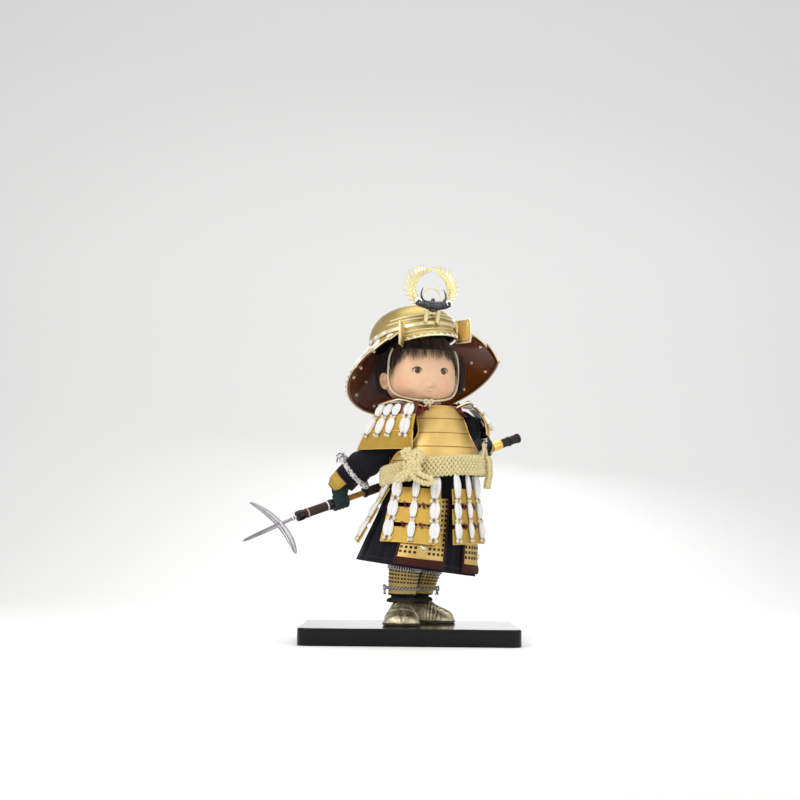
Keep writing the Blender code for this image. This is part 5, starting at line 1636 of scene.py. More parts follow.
@dataclass
class TassetSkirt(Assembly):
    """Five hanging panels of three gold lames, laced with white silk."""

    middle: tuple[float, float] = (0.0116, 0.003)
    top: float = 0.1200
    bottom: float = 0.0775
    top_width: float = 0.038
    bottom_width: float = 0.048
    row_gap: float = 0.0040
    bulge: float = 0.0016
    wall: float = 0.0010
    rows: int = 3
    bundles: tuple[float, ...] = (-0.80, 0.0, 0.80)
    ties_at: tuple[float, ...] = (-0.42, 0.42, -0.36, 0.36)
    panels: tuple = (("front", -12.0, 0.0, -4.0, True), ("front_left", 57.0, 0.0, 1.5, True),
                     ("back_left", 129.0, 0.004, 0.0, False), ("back_right", 201.0, 0.002, 0.0, False),
                     ("right", -87.0, 0.006, 0.0, False))

    def place(self, azimuth: float, flare: float, roll: float, on_guard: bool) -> tuple[Matrix, float]:
        """A panel's frame at its top, and its length.

        Args:
            azimuth: degrees in plan that the panel faces.
            flare: how much further its lower edge stands out.
            roll: degrees that it is turned in its own plane.
            on_guard: it lies on a thigh guard.

        Returns:
            The frame and the length.
        """
        outset = 0.0005 + (0.0022 if on_guard else 0.0)
        way, across = heading(azimuth), heading(azimuth + 90.0)
        middle = np.array((*self.middle, 0.0))
        top_out = SKIRT.reach(self.middle[0], azimuth, self.top, outset) - self.bulge
        low_out = SKIRT.reach(self.middle[0], azimuth, self.bottom, outset) - self.bulge + flare
        top = middle + way * top_out + (0.0, 0.0, self.top)
        low = middle + way * low_out + (0.0, 0.0, self.bottom)
        down = unit(low - top)
        out = unit(np.cross(across, down))
        out = out if out @ way > 0 else -out
        basis = Matrix((Vector(across), Vector(-out), Vector(-down))).transposed().to_4x4()
        tilt = Matrix.Rotation(math.radians(roll), 4, Vector(out))
        return Matrix.Translation(Vector(top)) @ tilt @ basis, float(np.linalg.norm(low - top))

    def ties(self, stock: Stock, place: Matrix, start: float) -> None:
        """Adds the red ties in the gap above a lame.

        Args:
            stock: where they go.
            place: the panel's frame.
            start: distance of the lame's upper edge from the panel's top.
        """
        near, proud = -self.bulge - 0.0012, -self.bulge - 0.0016
        for share in self.ties_at:
            across = 0.5 * self.top_width * share
            tie = np.array(((across - 0.0010, near, -start + self.row_gap + 0.0004),
                            (across, proud, -start + 0.5 * self.row_gap),
                            (across + 0.0010, near, -start - 0.0006)))
            stock.tube(curve(carry(place, tie), 10), 0.00032, 6, look=6)

    def build(self) -> None:
        """Makes each lame with its lacing, and the red ties in the gaps."""
        lacing, grow = Lacing(silk=2, thread=3, knot=4), self.bottom_width - self.top_width
        for name, azimuth, flare, roll, on_guard in self.panels:
            place, length = self.place(azimuth, flare, roll, on_guard)
            row_length = (length - (self.rows - 1) * self.row_gap) / self.rows
            out = -np.array(place.to_3x3())[:, 1]
            for row in range(self.rows):
                start = row * (row_length + self.row_gap)
                stock = Stock()
                s = np.linspace(-1.0, 1.0, 41)[None]
                along = np.linspace(start, start + row_length, 13)[:, None]
                half = 0.5 * (self.top_width + grow * along / length)
                flute = 0.00010 * np.abs(np.sin(half * s / 0.0012 * math.pi * 0.5))
                tip = 0.00025 * ((along - start) / row_length) ** 2
                depth = -self.bulge * (1 - s * s) - flute - tip
                grid = np.stack(np.broadcast_arrays(half * s, depth, -along), -1)
                stock.plate(carry(place, grid), self.wall - 0.0001, 0, 1)
                depth = -self.bulge * (1 - s[0] ** 2) - self.wall * 0.6
                rim = np.stack(np.broadcast_arrays(half[-1] * s[0], depth, -along[-1]), -1)
                stock.tube(carry(place, rim), 0.00055, 7, look=5)
                for share in self.bundles:
                    depth = -self.bulge * (1 - share * share) - self.wall
                    across = 0.5 * (self.top_width + grow * start / length) * share
                    rise = self.row_gap + 0.0012
                    if row == 0:
                        world = carry(place, (across, depth, -start + 0.0056))
                        rise = min(0.012, float(TRUNK.sash_height(world[0])) - 0.0065 - 0.0005 - self.top)
                    ends = carry(place, np.array(((across, depth - 0.0008, -start + rise),
                                                  (across * 1.02, depth - 0.0010,
                                                   -start - row_length + 0.0034))))
                    lacing.hang(stock, ends[0], ends[1], out, double=share != 0.0)
                if row:
                    self.ties(stock, place, start)
                self.add(stock.mesh(f"panel_{name}_{row + 1}"), "gold_armour",
                         [Look.ARMOUR, Look.BLACK, Look.WHITE, Look.GREY, Look.KNOT, Look.COPPER, Look.RED],
                         f"tasset_{name}_lame_{row + 1}")


def bow(stock: Stock, place: Matrix, size: float, radius: float, looks: Sequence[int] = (0,)) -> None:
    """Ties a small bow: two loops, two ends and a knot, whose front is its frame's -Y.

    Args:
        stock: where it goes.
        place: its frame.
        size: reach of a loop.
        radius: radius of the cord.
        looks: indices of the finishes of its plies.
    """
    for k, sign in enumerate((-1.0, 1.0)):
        loop = ((0, 0, 0), (0.5, -0.25, 0.5), (1.0, -0.3, 0.3), (0.65, -0.35, -0.12), (0, -0.1, 0))
        end = ((0, 0, 0), (0.28, -0.3, -0.4), (0.5 + 0.1 * sign, -0.2, -1.0))
        for shape, count in ((loop, 34), (end, 20)):
            path = curve(carry(place, np.array(shape) * (sign * size, size, size)), count)
            for i, strand in enumerate(twisted(path, radius * 0.5, 2, radius * 6.0)):
                stock.tube(strand, radius * 0.62, 7, look=looks[i % len(looks)], tint=0.4 * i)
    axes = np.array(place.to_3x3()).T
    stock.ball(carry(place, (0, -0.2 * size, 0)), (radius * 1.9, radius * 1.7, radius * 2.0), axes,
               look=looks[0], columns=12, levels=8)


def melded(stock: Stock, name: str, voxel: float, rounds: int = 4) -> bpy.types.Object:
    """Melts the parts of a stock into one smooth skin.

    Args:
        stock: closed parts that run into each other.
        name: the object's name.
        voxel: size of the finest detail kept.
        rounds: rounds of smoothing.

    Returns:
        The object.
    """
    made = stock.mesh(name)
    melt = made.modifiers.new("melt", "REMESH")
    melt.mode, melt.voxel_size = "VOXEL", voxel
    soften = made.modifiers.new("soften", "SMOOTH")
    soften.factor, soften.iterations = 0.5, rounds
    graph = bpy.context.evaluated_depsgraph_get()
    done = bpy.data.meshes.new_from_object(made.evaluated_get(graph))
    made.modifiers.clear()
    made.data = done
    done.shade_smooth()
    return made


# Trunk, sash and shoulders

@dataclass
class Cuirass(Assembly):
    """Front and back plates of riveted gold lames, with rolled rims, over a dark vest."""

    wall: float = 0.0012
    spreads: tuple = (88.0, 88.0, 78.0, 58.0, 48.0, 46.0, 54.0, 64.0, 68.0)
    seams: tuple = (0.1330, 0.1425, 0.1535, 0.1645, 0.1760, 0.1875)
    step: float = 0.00034
    high: float = 0.1865
    border: tuple[float, float] = (0.1332, 0.1860)
    bows: tuple = ((-0.93, 0.0006), (0.93, 0.0010))

    def face(self, turn: float, s: Array, height: Array, outset: Array) -> Array:
        """Points of a plate at shares s of its half spread."""
        spread = smooth_rows([(h, w) for (h, _), w in zip(TRUNK.profile, self.spreads)], height)[..., 0]
        return TRUNK.point(turn + spread * s, height, outset)

    def build(self) -> None:
        """Makes the vest and the two plates."""
        turns = np.arange(0.0, 360.0, 5.0)[None]
        vest = Stock().lattice(TRUNK.point(turns, np.linspace(0.133, self.high, 24)[:, None], -0.0024),
                               loop=True, caps=True)
        self.add(vest.mesh("vest"), "lining", [Look.NAVY], "torso")
        for side, turn in (("front", 0.0), ("back", 180.0)):
            s = np.linspace(-1.0, 1.0, 66)[None]
            height = np.concatenate([np.linspace(high - 0.00004, low + 0.00004, 11) for low, high in
                                     reversed(list(zip(self.seams, self.seams[1:])))])
            height = np.minimum(height, self.high)[:, None]
            lame = np.searchsorted(self.seams, height[:, 0] + 1e-6) - 1
            low = np.array(self.seams)[lame][:, None]
            top = np.array(self.seams)[lame + 1][:, None]
            lip = self.step * (1.0 - (height - low) / (top - low))
            stock = Stock().plate(self.face(turn, s, height, lip - self.wall - 0.0002), self.wall, 0, 1)
            # Painted shade: a darker bronze line along each seam between the lames, where the step would
            # shade it.
            for seam in self.seams[1:-1]:
                stock.tube(self.face(turn, 0.985 * s[0], seam, 0.00012), 0.00026, 6, look=4)
            rise = np.linspace(*self.border, 50)
            border = np.concatenate([self.face(turn, -1.0, rise, 0.0),
                                     self.face(turn, np.linspace(-0.98, 0.98, 40), self.high - 0.0001, 0.0),
                                     self.face(turn, 1.0, rise[::-1], 0.0)])
            stock.tube(border, 0.00075, 8, look=2)
            if side == "front":
                for share, drop in self.bows:
                    for k in range(3):
                        spot = self.face(turn, share + 0.05 * (k - 1), 0.1858 - drop - 0.0018 * k, 0.0012)
                        place = facing(spot, TRUNK.turn + 66.0 * share, 10.0 + 20.0 * k,
                                       -40.0 * share + 34.0 * (k - 1))
                        bow(stock, place, 0.0046, 0.00085, (3,))
                for k in range(5):
                    spot = self.face(turn, -0.80 + 0.05 * k, 0.1850 + 0.0004 * (k % 2), 0.0016)
                    stock.tube(np.stack([spot, spot + (0.0003, -0.0004, -0.0042)]), 0.0006, 6,
                               look=3, tint=0.2 * k)
            self.add(stock.mesh(f"cuirass_{side}_plate", 30.0), "gold_armour",
                     [Look.CUIRASS, Look.BLACK, Look.COPPER, Look.RED, Look.SEAM_SHADE], f"cuirass_{side}")


@dataclass
class Sash(Assembly):
    """A plaited cream cord sash, seven strands wide, with its knot, loops and hanging end."""

    strands: int = 7
    reach: float = 0.0074
    weave: float = 0.00165
    cord: float = 0.00128
    period: float = 0.0250
    knot_azimuth: float = -18.0
    end: tuple = ((56.0, 0.0070, 0.0040), (58.0, 0.0030, 0.0048), (59.0, -0.0070, 0.0050),
                  (58.0, -0.0130, 0.0040), (57.0, -0.0178, 0.0034))
    loop: tuple = ((47.0, 0.0050, 0.0020), (49.0, 0.0120, 0.0030), (53.0, 0.0170, 0.0024),
                   (57.0, 0.0120, 0.0030), (56.0, 0.0050, 0.0034))

    def build(self) -> None:
        """Weaves the band, then ties the knot."""
        turns = np.linspace(0.0, 360.0, 1441)
        line = TRUNK.sash_point(turns, 0.0, 0.0)
        run = np.concatenate([[0.0], np.cumsum(np.linalg.norm(np.diff(line, axis=0), axis=1))])
        period = run[-1] / round(run[-1] / self.period)
        stock = Stock()
        count = self.strands
        s = np.linspace(0.0, run[-1], 460, endpoint=False)
        for k in range(count):
            m = ((s / period - k / count) % 1.0) * 2 * count
            rising = m < count
            part = np.where(rising, m, m - count)
            slope = np.where(rising, 1.0, -1.0) * (2.0 * part / count - 1.0)
            across = self.reach * (0.72 * slope + 0.28 * np.sin(0.5 * math.pi * slope))
            edge = np.clip(np.minimum(part, count - part), 0.0, 1.0)
            out = np.where(rising, 1.0, -1.0) * self.weave * np.cos(math.pi * m) * edge
            path = TRUNK.sash_point(np.interp(s, run, turns), across, out + 0.0003)
            stock.tube(path, self.cord, 8, closed=True, flat=0.92, tint=0.25 * (k % 3))
        # Painted shade: a dark olive band under the plait, which shows in the gaps between the strands.
        band = TRUNK.sash_point(np.arange(0.0, 360.0, 4.0)[None],
                                np.array((self.reach, -self.reach))[:, None], -0.0016)
        stock.plate(band, 0.0008, 1, loop=True)
        self.hang_end(stock)
        self.add(stock.mesh("sash_plait"), "cream_cord", [Look.CREAM, Look.SASH_GAP_SHADE], "sash")
        self.tie()

    def cords(self, stock: Stock, path: Array, radius: float = 0.0015) -> None:
        """Adds a cord of three plies along a path."""
        for k, strand in enumerate(plaited(path, radius * 2.6, radius * 5.2)):
            stock.tube(strand, radius * 0.84, 8, tint=0.3 * k)

    def hang_end(self, stock: Stock) -> None:
        """Adds the end that hangs at the left hip, and the small loop above it.

        Args:
            stock: where they go.
        """
        end = [TRUNK.sash_point(*at) for at in self.end]
        for k in (-1.0, 1.0):
            self.cords(stock, curve(np.array(end) + heading(150.0) * 0.0018 * k, 70), 0.00125)
        loop = [TRUNK.sash_point(*at) for at in self.loop]
        self.cords(stock, curve(loop, 50), 0.0009)

    def tie(self) -> None:
        """Makes the knot: turns round the sash, two loops up, and two laid to the side below."""
        turn = self.knot_azimuth - TRUNK.turn
        rest = TRUNK.sash_point(turn, 0.0, 0.5 * TRUNK.sash_depth)
        place = facing(rest + heading(self.knot_azimuth) * 0.0016, self.knot_azimuth)
        stock = Stock()
        routes = (
            ((-2.6, 2.4, 6.4), (-2.4, -1.4, 5.6), (-1.2, -3.6, 0.6), (0.6, -2.6, -4.6), (1.6, 1.4, -6.8)),
            ((0.8, 2.4, 6.6), (1.0, -1.6, 5.6), (1.9, -3.6, 0.4), (3.2, -2.2, -4.6), (3.8, 1.6, -6.6)),
            ((-5.6, 1.8, 5.0), (-5.2, -1.4, 3.8), (-4.2, -3.0, -0.4), (-3.0, -1.8, -4.8), (-2.4, 1.4, -6.6)),
            ((0.4, -2.2, 2.6), (-3.6, -2.6, 6.0), (-7.4, -1.6, 9.2), (-7.2, -1.8, 12.2), (-3.8, -2.8, 12.4),
             (-1.0, -3.6, 7.2), (0.6, -3.2, 2.0)),
            ((-1.0, -2.4, 2.4), (0.2, -3.0, 7.0), (0.6, -2.4, 11.4), (3.6, -2.0, 11.8), (5.0, -2.4, 8.2),
             (3.6, -3.2, 4.6), (1.0, -3.4, 2.2)),
            ((-1.0, -2.6, -3.2), (2.4, -3.4, -7.4), (8.0, -2.6, -9.8), (12.2, -1.4, -9.6), (12.0, -1.8, -7.2),
             (7.6, -2.8, -5.6), (2.6, -3.2, -2.6)),
            ((-2.0, -2.6, -2.4), (-6.0, -3.0, -5.4), (-10.4, -1.6, -8.4), (-11.2, -1.6, -6.2),
             (-7.0, -2.6, -3.4), (-2.6, -3.0, -1.6)),
        )
        for route in routes:
            self.cords(stock, curve(carry(place, np.array(route) * 0.00112), 70), 0.00178)
        for x, z in ((-1.4, 3.8), (1.6, 3.4), (-2.2, -1.6), (2.6, -1.8)):
            path = np.array(((x - 2.6, -1.4, z - 1.2), (x, -4.2, z), (x + 2.6, -1.4, z + 1.2)))
            self.cords(stock, curve(carry(place, path * 0.001), 30), 0.0014)
        self.add(stock.mesh("sash_bow"), "cream_cord", [Look.CREAM], "sash_knot")


@dataclass
class ShoulderYoke(Assembly):
    """The brown lacquered collar yoke with a pale beaded rim and a row of red ties."""

    height: float = 0.1850
    rise: float = 0.0060
    droop: float = 0.0050
    shift: float = -0.0080
    half_width: float = 0.0400
    half_depth: float = 0.0250
    throat: tuple[float, float] = (0.0172, 0.0160)
    opening: float = 50.0

    def point(self, turn: Array, share: Array, lift: Array = 0.0) -> Array:
        """Points of its lower face: share 0 at the throat and 1 at the rim.

        Args:
            turn: degrees from the yoke's front.
            share: 0 at the throat and 1 at the rim.
            lift: distance up.

        Returns:
            Points.
        """
        turn, share, lift = np.broadcast_arrays(*(np.asarray(v, float) for v in (turn, share, lift)))
        angle = np.radians(turn)
        wide = self.throat[0] + (self.half_width - self.throat[0]) * share
        deep = self.throat[1] + (self.half_depth - self.throat[1]) * share
        side = heading(TRUNK.turn + 90.0) * (wide * np.sin(angle) + self.shift * share)[..., None]
        ahead = heading(TRUNK.turn) * (deep * np.cos(angle))[..., None]
        rise = self.rise * share - self.droop * (share * np.sin(angle)) ** 4 + lift
        return TRUNK.middle(self.height) + side + ahead + np.stack([0 * rise, 0 * rise, rise], -1)

    def build(self) -> None:
        """Makes the yoke, its rims and its ties."""
        turns = np.linspace(self.opening, 360.0 - self.opening, 120)
        stock = Stock().plate(self.point(turns[None], np.linspace(0.0, 1.0, 24)[:, None]), 0.0012)
        border = np.concatenate([self.point(turns[0], np.linspace(0.05, 0.99, 20), 0.0006),
                                 self.point(turns, 1.0, 0.0006),
                                 self.point(turns[-1], np.linspace(0.99, 0.05, 20), 0.0006)])
        stock.tube(border, 0.00085, 8, look=1)
        stock.tube(self.point(turns, 0.93, 0.0014), 0.00035, 6, look=1)
        for k, turn in enumerate(np.linspace(self.opening + 4.0, 356.0 - self.opening, 44)):
            ends = self.point(np.array((turn, turn + 1.6, turn + 0.4)), np.array((0.90, 0.78, 0.62)),
                              np.array((0.0013, 0.0022, 0.0013)))
            stock.tube(curve(ends, 9), 0.00075, 6, look=2, tint=0.3 * (k % 3))
        self.add(stock.mesh("collar_yoke"), "brown_lacquer", [Look.BROWN, Look.RIM, Look.RED],
                 "shoulder_yoke")


YOKE = ShoulderYoke()


@dataclass
class ShoulderArmour(Assembly):
    """Two hanging shoulder guards of three lames, laced in four columns."""

    top_half: float = 0.0150
    bottom_half: float = 0.0250
    bulge: float = 0.0040
    swell: float = 0.0040
    wall: float = 0.0010
    step: float = 0.0004
    lames: tuple = ((0.06, 0.30), (0.29, 0.64), (0.63, 1.0))
    columns: tuple = ((-0.86, False), (-0.34, False), (0.12, False), (0.72, True))
    rows: tuple = ((0.08, 0.32), (0.36, 0.70))
    guards: tuple = (("right", (-0.0222, -0.0190, 0.1516), -30.0), ("left", (0.0625, 0.0060, 0.1635), 92.0))

    def point(self, bottom: Sequence[float], azimuth: float, share: Array, s: Array,
              lift: Array = 0.0) -> Array:
        """Points of a guard: share 0 at the yoke and 1 at its lower edge, s from -1 to 1 across.

        Args:
            bottom: middle of the guard's lower edge.
            azimuth: degrees in plan that it faces.
            share: 0 at the yoke and 1 at the lower edge.
            s: from -1 to 1 across.
            lift: distance out.

        Returns:
            Points.
        """
        share, s, lift = np.broadcast_arrays(*(np.asarray(v, float) for v in (share, s, lift)))
        way, across = heading(azimuth), heading(azimuth + 90.0)
        top = YOKE.point(azimuth - TRUNK.turn, 0.88)
        middle = top + (np.array(bottom) - top) * share[..., None]
        half = self.top_half + (self.bottom_half - self.top_half) * share
        out = self.swell * np.sin(math.pi * share) - self.bulge * s * s + lift
        return middle + across * (half * s)[..., None] + way * out[..., None]

    def build(self) -> None:
        """Makes the lames and hangs the lacing on them."""
        lacing = Lacing(width=0.0066, depth=0.0040, silk=2, thread=3, knot=4)
        for side, bottom, azimuth in self.guards:
            stock, s = Stock(), np.linspace(-1.0, 1.0, 44)[None]
            for k, (high, low) in enumerate(self.lames):
                rows, lift = np.linspace(high, low, 14)[:, None], self.step * (2 - k)
                flute = 0.00008 * np.abs(np.sin(s * 33.0))
                stock.plate(self.point(bottom, azimuth, rows, s, lift + flute), self.wall, 0 if k else 6, 1)
                stock.tube(self.point(bottom, azimuth, low, s[0], lift + 0.0006), 0.00055, 7, look=5)
            for edge in (-1.0, 1.0):
                stock.tube(self.point(bottom, azimuth, np.linspace(0.66, 1.0, 12), edge, 0.0007),
                           0.0006, 7, look=5)
            way = heading(azimuth)
            for at, double in self.columns:
                for row, span in enumerate(self.rows):
                    ends = self.point(bottom, azimuth, np.array(span), at, 0.0024 + self.step * (1 - row))
                    lacing.hang(stock, ends[0], ends[1], way, double)
            self.add(stock.mesh(f"{side}_shoulder_lames"), "gold_armour",
                     [Look.ARMOUR, Look.BLACK, Look.WHITE, Look.GREY, Look.KNOT, Look.COPPER, Look.BROWN],
                     f"{side}_shoulder_guard")


@dataclass
class Arms(Assembly):
    """Navy sleeves with soft folds, plaited bands, gold hand plates and gloved hands on the spear."""

    right: tuple = ((0.0030, 0.0020, 0.1700, 0.0125), (-0.0150, 0.0020, 0.1570, 0.0130),
                    (-0.0320, 0.0040, 0.1440, 0.0118), (-0.0450, 0.0070, 0.1345, 0.0127),
                    (-0.0535, 0.0095, 0.1265, 0.0104))
    left: tuple = ((0.0400, 0.0040, 0.1740, 0.0112), (0.0440, 0.0160, 0.1695, 0.0134),
                   (0.0470, 0.0290, 0.1640, 0.0112), (0.0520, 0.0420, 0.1602, 0.0092),
                   (0.0580, 0.0560, 0.1590, 0.0088), (0.0610, 0.0635, 0.1585, 0.0080))
    hand_half: tuple[float, float, float] = (0.0070, 0.0056, 0.0080)
    lift: float = 0.0085
    band: int = 3
    grasp: tuple[float, float] = (0.0050, 0.1455)
    plate_azimuth: tuple[float, float] = (-30.0, 60.0)
    around_finger: float = 0.0050
    around_thumb: float = 0.0052

    def build(self) -> None:
        """Makes each sleeve, its band, plate and hand."""
        routes = (np.array(self.right), np.array(self.left))
        for side, route, grasp, azimuth in zip(("right", "left"), routes, self.grasp, self.plate_azimuth):
            self.sleeve(side, route)
            self.hand(side, route, grasp, azimuth)

    def sleeve(self, side: str, route: Array) -> None:
        """Lofts a sleeve with folds that gather at the elbow and wrist, and lays the band on it.

        Args:
            side: right or left.
            route: middle and radius at each place down the arm.
        """
        count = 84
        path = curve(route[:, :3], count)
        share = np.linspace(0.0, 1.0, count)
        radius = np.interp(share, np.linspace(0.0, 1.0, len(route)), route[:, 3])
        along, beside, over = frames(path, up=(0.0, 0.0, 1.0))
        angle = np.linspace(0.0, math.tau, 56, endpoint=False)
        grid = np.zeros((count, 56, 3))
        for i in range(count):
            for j, a in enumerate(angle):
                way = beside[i] * math.cos(a) + over[i] * math.sin(a)
                spot = Vector(path[i] + way * radius[i])
                fold = math.sin(share[i] * 34.0 + 1.6 * math.sin(a + 0.7) + 2.0 * noise.noise(spot * 60.0))
                tuck = noise.noise(spot * 130.0)
                size = radius[i] + (0.00045 * fold + 0.0006 * tuck) * min(1.0, 6.0 * share[i]) - 0.0005
                grid[i, j] = path[i] + way * size
        hem = grid[-1] + along[-1] * 0.0001
        inside = path[-1] + (grid[-1] - path[-1]) * 0.86
        grid = np.concatenate([grid, hem[None] * 0.5 + 0.5 * (hem + (grid[-1] - path[-1]) * 0.03)[None],
                               (inside + along[-1] * 0.0002)[None], (inside - along[-1] * 0.004)[None]])
        stock = Stock().lattice(grid, loop=True, caps=True)
        self.add(stock.mesh(f"{side}_sleeve_cloth"), "navy_cloth", [Look.NAVY], f"{side}_sleeve")

        level = route[self.band]
        way = unit(route[self.band + 1][:3] - route[self.band - 1][:3])
        beside = unit(np.cross(way, (0.0, 0.0, 1.0)))
        over = np.cross(beside, way)
        turn = np.linspace(0.0, math.tau, 200, endpoint=False)[:, None]
        loop = level[:3] + (beside * np.cos(turn) + over * np.sin(turn)) * (level[3] + 0.0017)
        cords = Stock()
        for k, strand in enumerate(plaited(loop, 0.0044, 0.0070, closed=True)):
            for i, thread in enumerate(twisted(strand, 0.00055, 2, 0.0026, closed=True)):
                cords.tube(thread, 0.00068, 6, closed=True, look=int(k == 2 and i == 1))
        out = unit(-beside * 0.4 + over * 0.9) if side == "right" else unit(over)
        spot = level[:3] + out * (level[3] + 0.0030)
        bow(cords, facing(spot, -55.0 if side == "right" else 60.0, 30.0), 0.0052, 0.0008, (0, 1))
        self.add(cords.mesh(f"{side}_sleeve_band"), "white_cord", [Look.BAND, Look.GREY],
                 f"{side}_sleeve_cord")

    def hand(self, side: str, route: Array, grasp: float, plate_azimuth: float) -> None:
        """Makes a gloved hand closed on the shaft, and the gold plate on its back.

        Args:
            side: right or left.
            route: middle and radius at each place down the arm.
            grasp: place on the spear that the hand holds.
            plate_azimuth: degrees in plan that the plate faces.
        """
        wrist = route[-1][:3]
        way = unit(wrist - route[-2][:3])
        grip = SPEAR.at(grasp)
        palm = grip + (0.0, 0.0, self.lift)
        palm = palm + (wrist - palm) * 0.12
        turned = np.array(facing(palm, TRUNK.turn).to_3x3()).T
        stock = Stock().ball(palm, self.hand_half, turned, columns=24, levels=16)
        stock.tube(np.stack([wrist - way * 0.0030, palm * 0.5 + wrist * 0.5, palm]),
                   np.array((0.0056, 0.0060, 0.0062)), 18)
        axes = SPEAR.axes()
        ahead = 1.0 if axes[0] @ heading(TRUNK.turn) > 0 else -1.0
        radius = self.around_finger
        for k in range(4):
            along = grasp + 0.0051 - 0.0033 * k
            wrap = np.radians(np.linspace(78.0, -160.0 + 8.0 * k, 18))
            finger = SPEAR.at(along + 0.0004 * np.sin(wrap), ahead * radius * np.cos(wrap),
                              radius * np.sin(wrap))
            root = palm + (finger[0] - palm) * 0.55
            stock.tube(np.concatenate([root[None], finger]), 0.00180 - 0.00008 * k, 12)
            stock.ball(finger[-1], (0.0017, 0.0017, 0.0017), columns=12, levels=8)
        wrap = np.radians(np.linspace(100.0, 214.0, 12))
        radius = self.around_thumb
        thumb = SPEAR.at(grasp + 0.0060 + 0 * wrap, ahead * radius * np.cos(wrap), radius * np.sin(wrap))
        stock.tube(np.concatenate([(palm + (thumb[0] - palm) * 0.5)[None], thumb]), 0.0021, 12)
        stock.ball(thumb[-1], (0.0020, 0.0020, 0.0020), columns=12, levels=8)
        self.add(melded(stock, f"{side}_glove", 0.00050, 3), "glove", [Look.GLOVE], f"{side}_hand")

        out = heading(plate_azimuth)
        out = unit(out - way * (out @ way))
        right = np.cross(-way, out)
        angle = np.linspace(-0.66, 0.66, 26)
        rows = []
        for along in np.linspace(-0.0032, 0.0088, 20):
            taper = 1.0 - 0.25 * ease(along, 0.003, 0.0088)
            size = route[-1][3] + 0.0004 - 0.0022 * ease(along, 0.003, 0.0088) + max(-along, 0.0) * 0.23
            rows.append(wrist + way * along + (out * np.cos(angle * taper)[:, None]
                                               + right * np.sin(angle * taper)[:, None]) * size)
        plate = np.array(rows)
        stock = Stock().plate(plate, 0.0008, 0, 1, toward=out)
        edge = np.concatenate([plate[:, 0], plate[-1, 1:-1], plate[::-1, -1], plate[0, -2:0:-1]])
        stock.tube(edge + out * 0.0004, 0.00058, 7, closed=True, look=2)
        self.add(stock.mesh(f"{side}_back_plate"), "pale_gold", [Look.ARMOUR, Look.BLACK, Look.DARK],
                 f"{side}_hand_plate")


# Head, hair and helmet

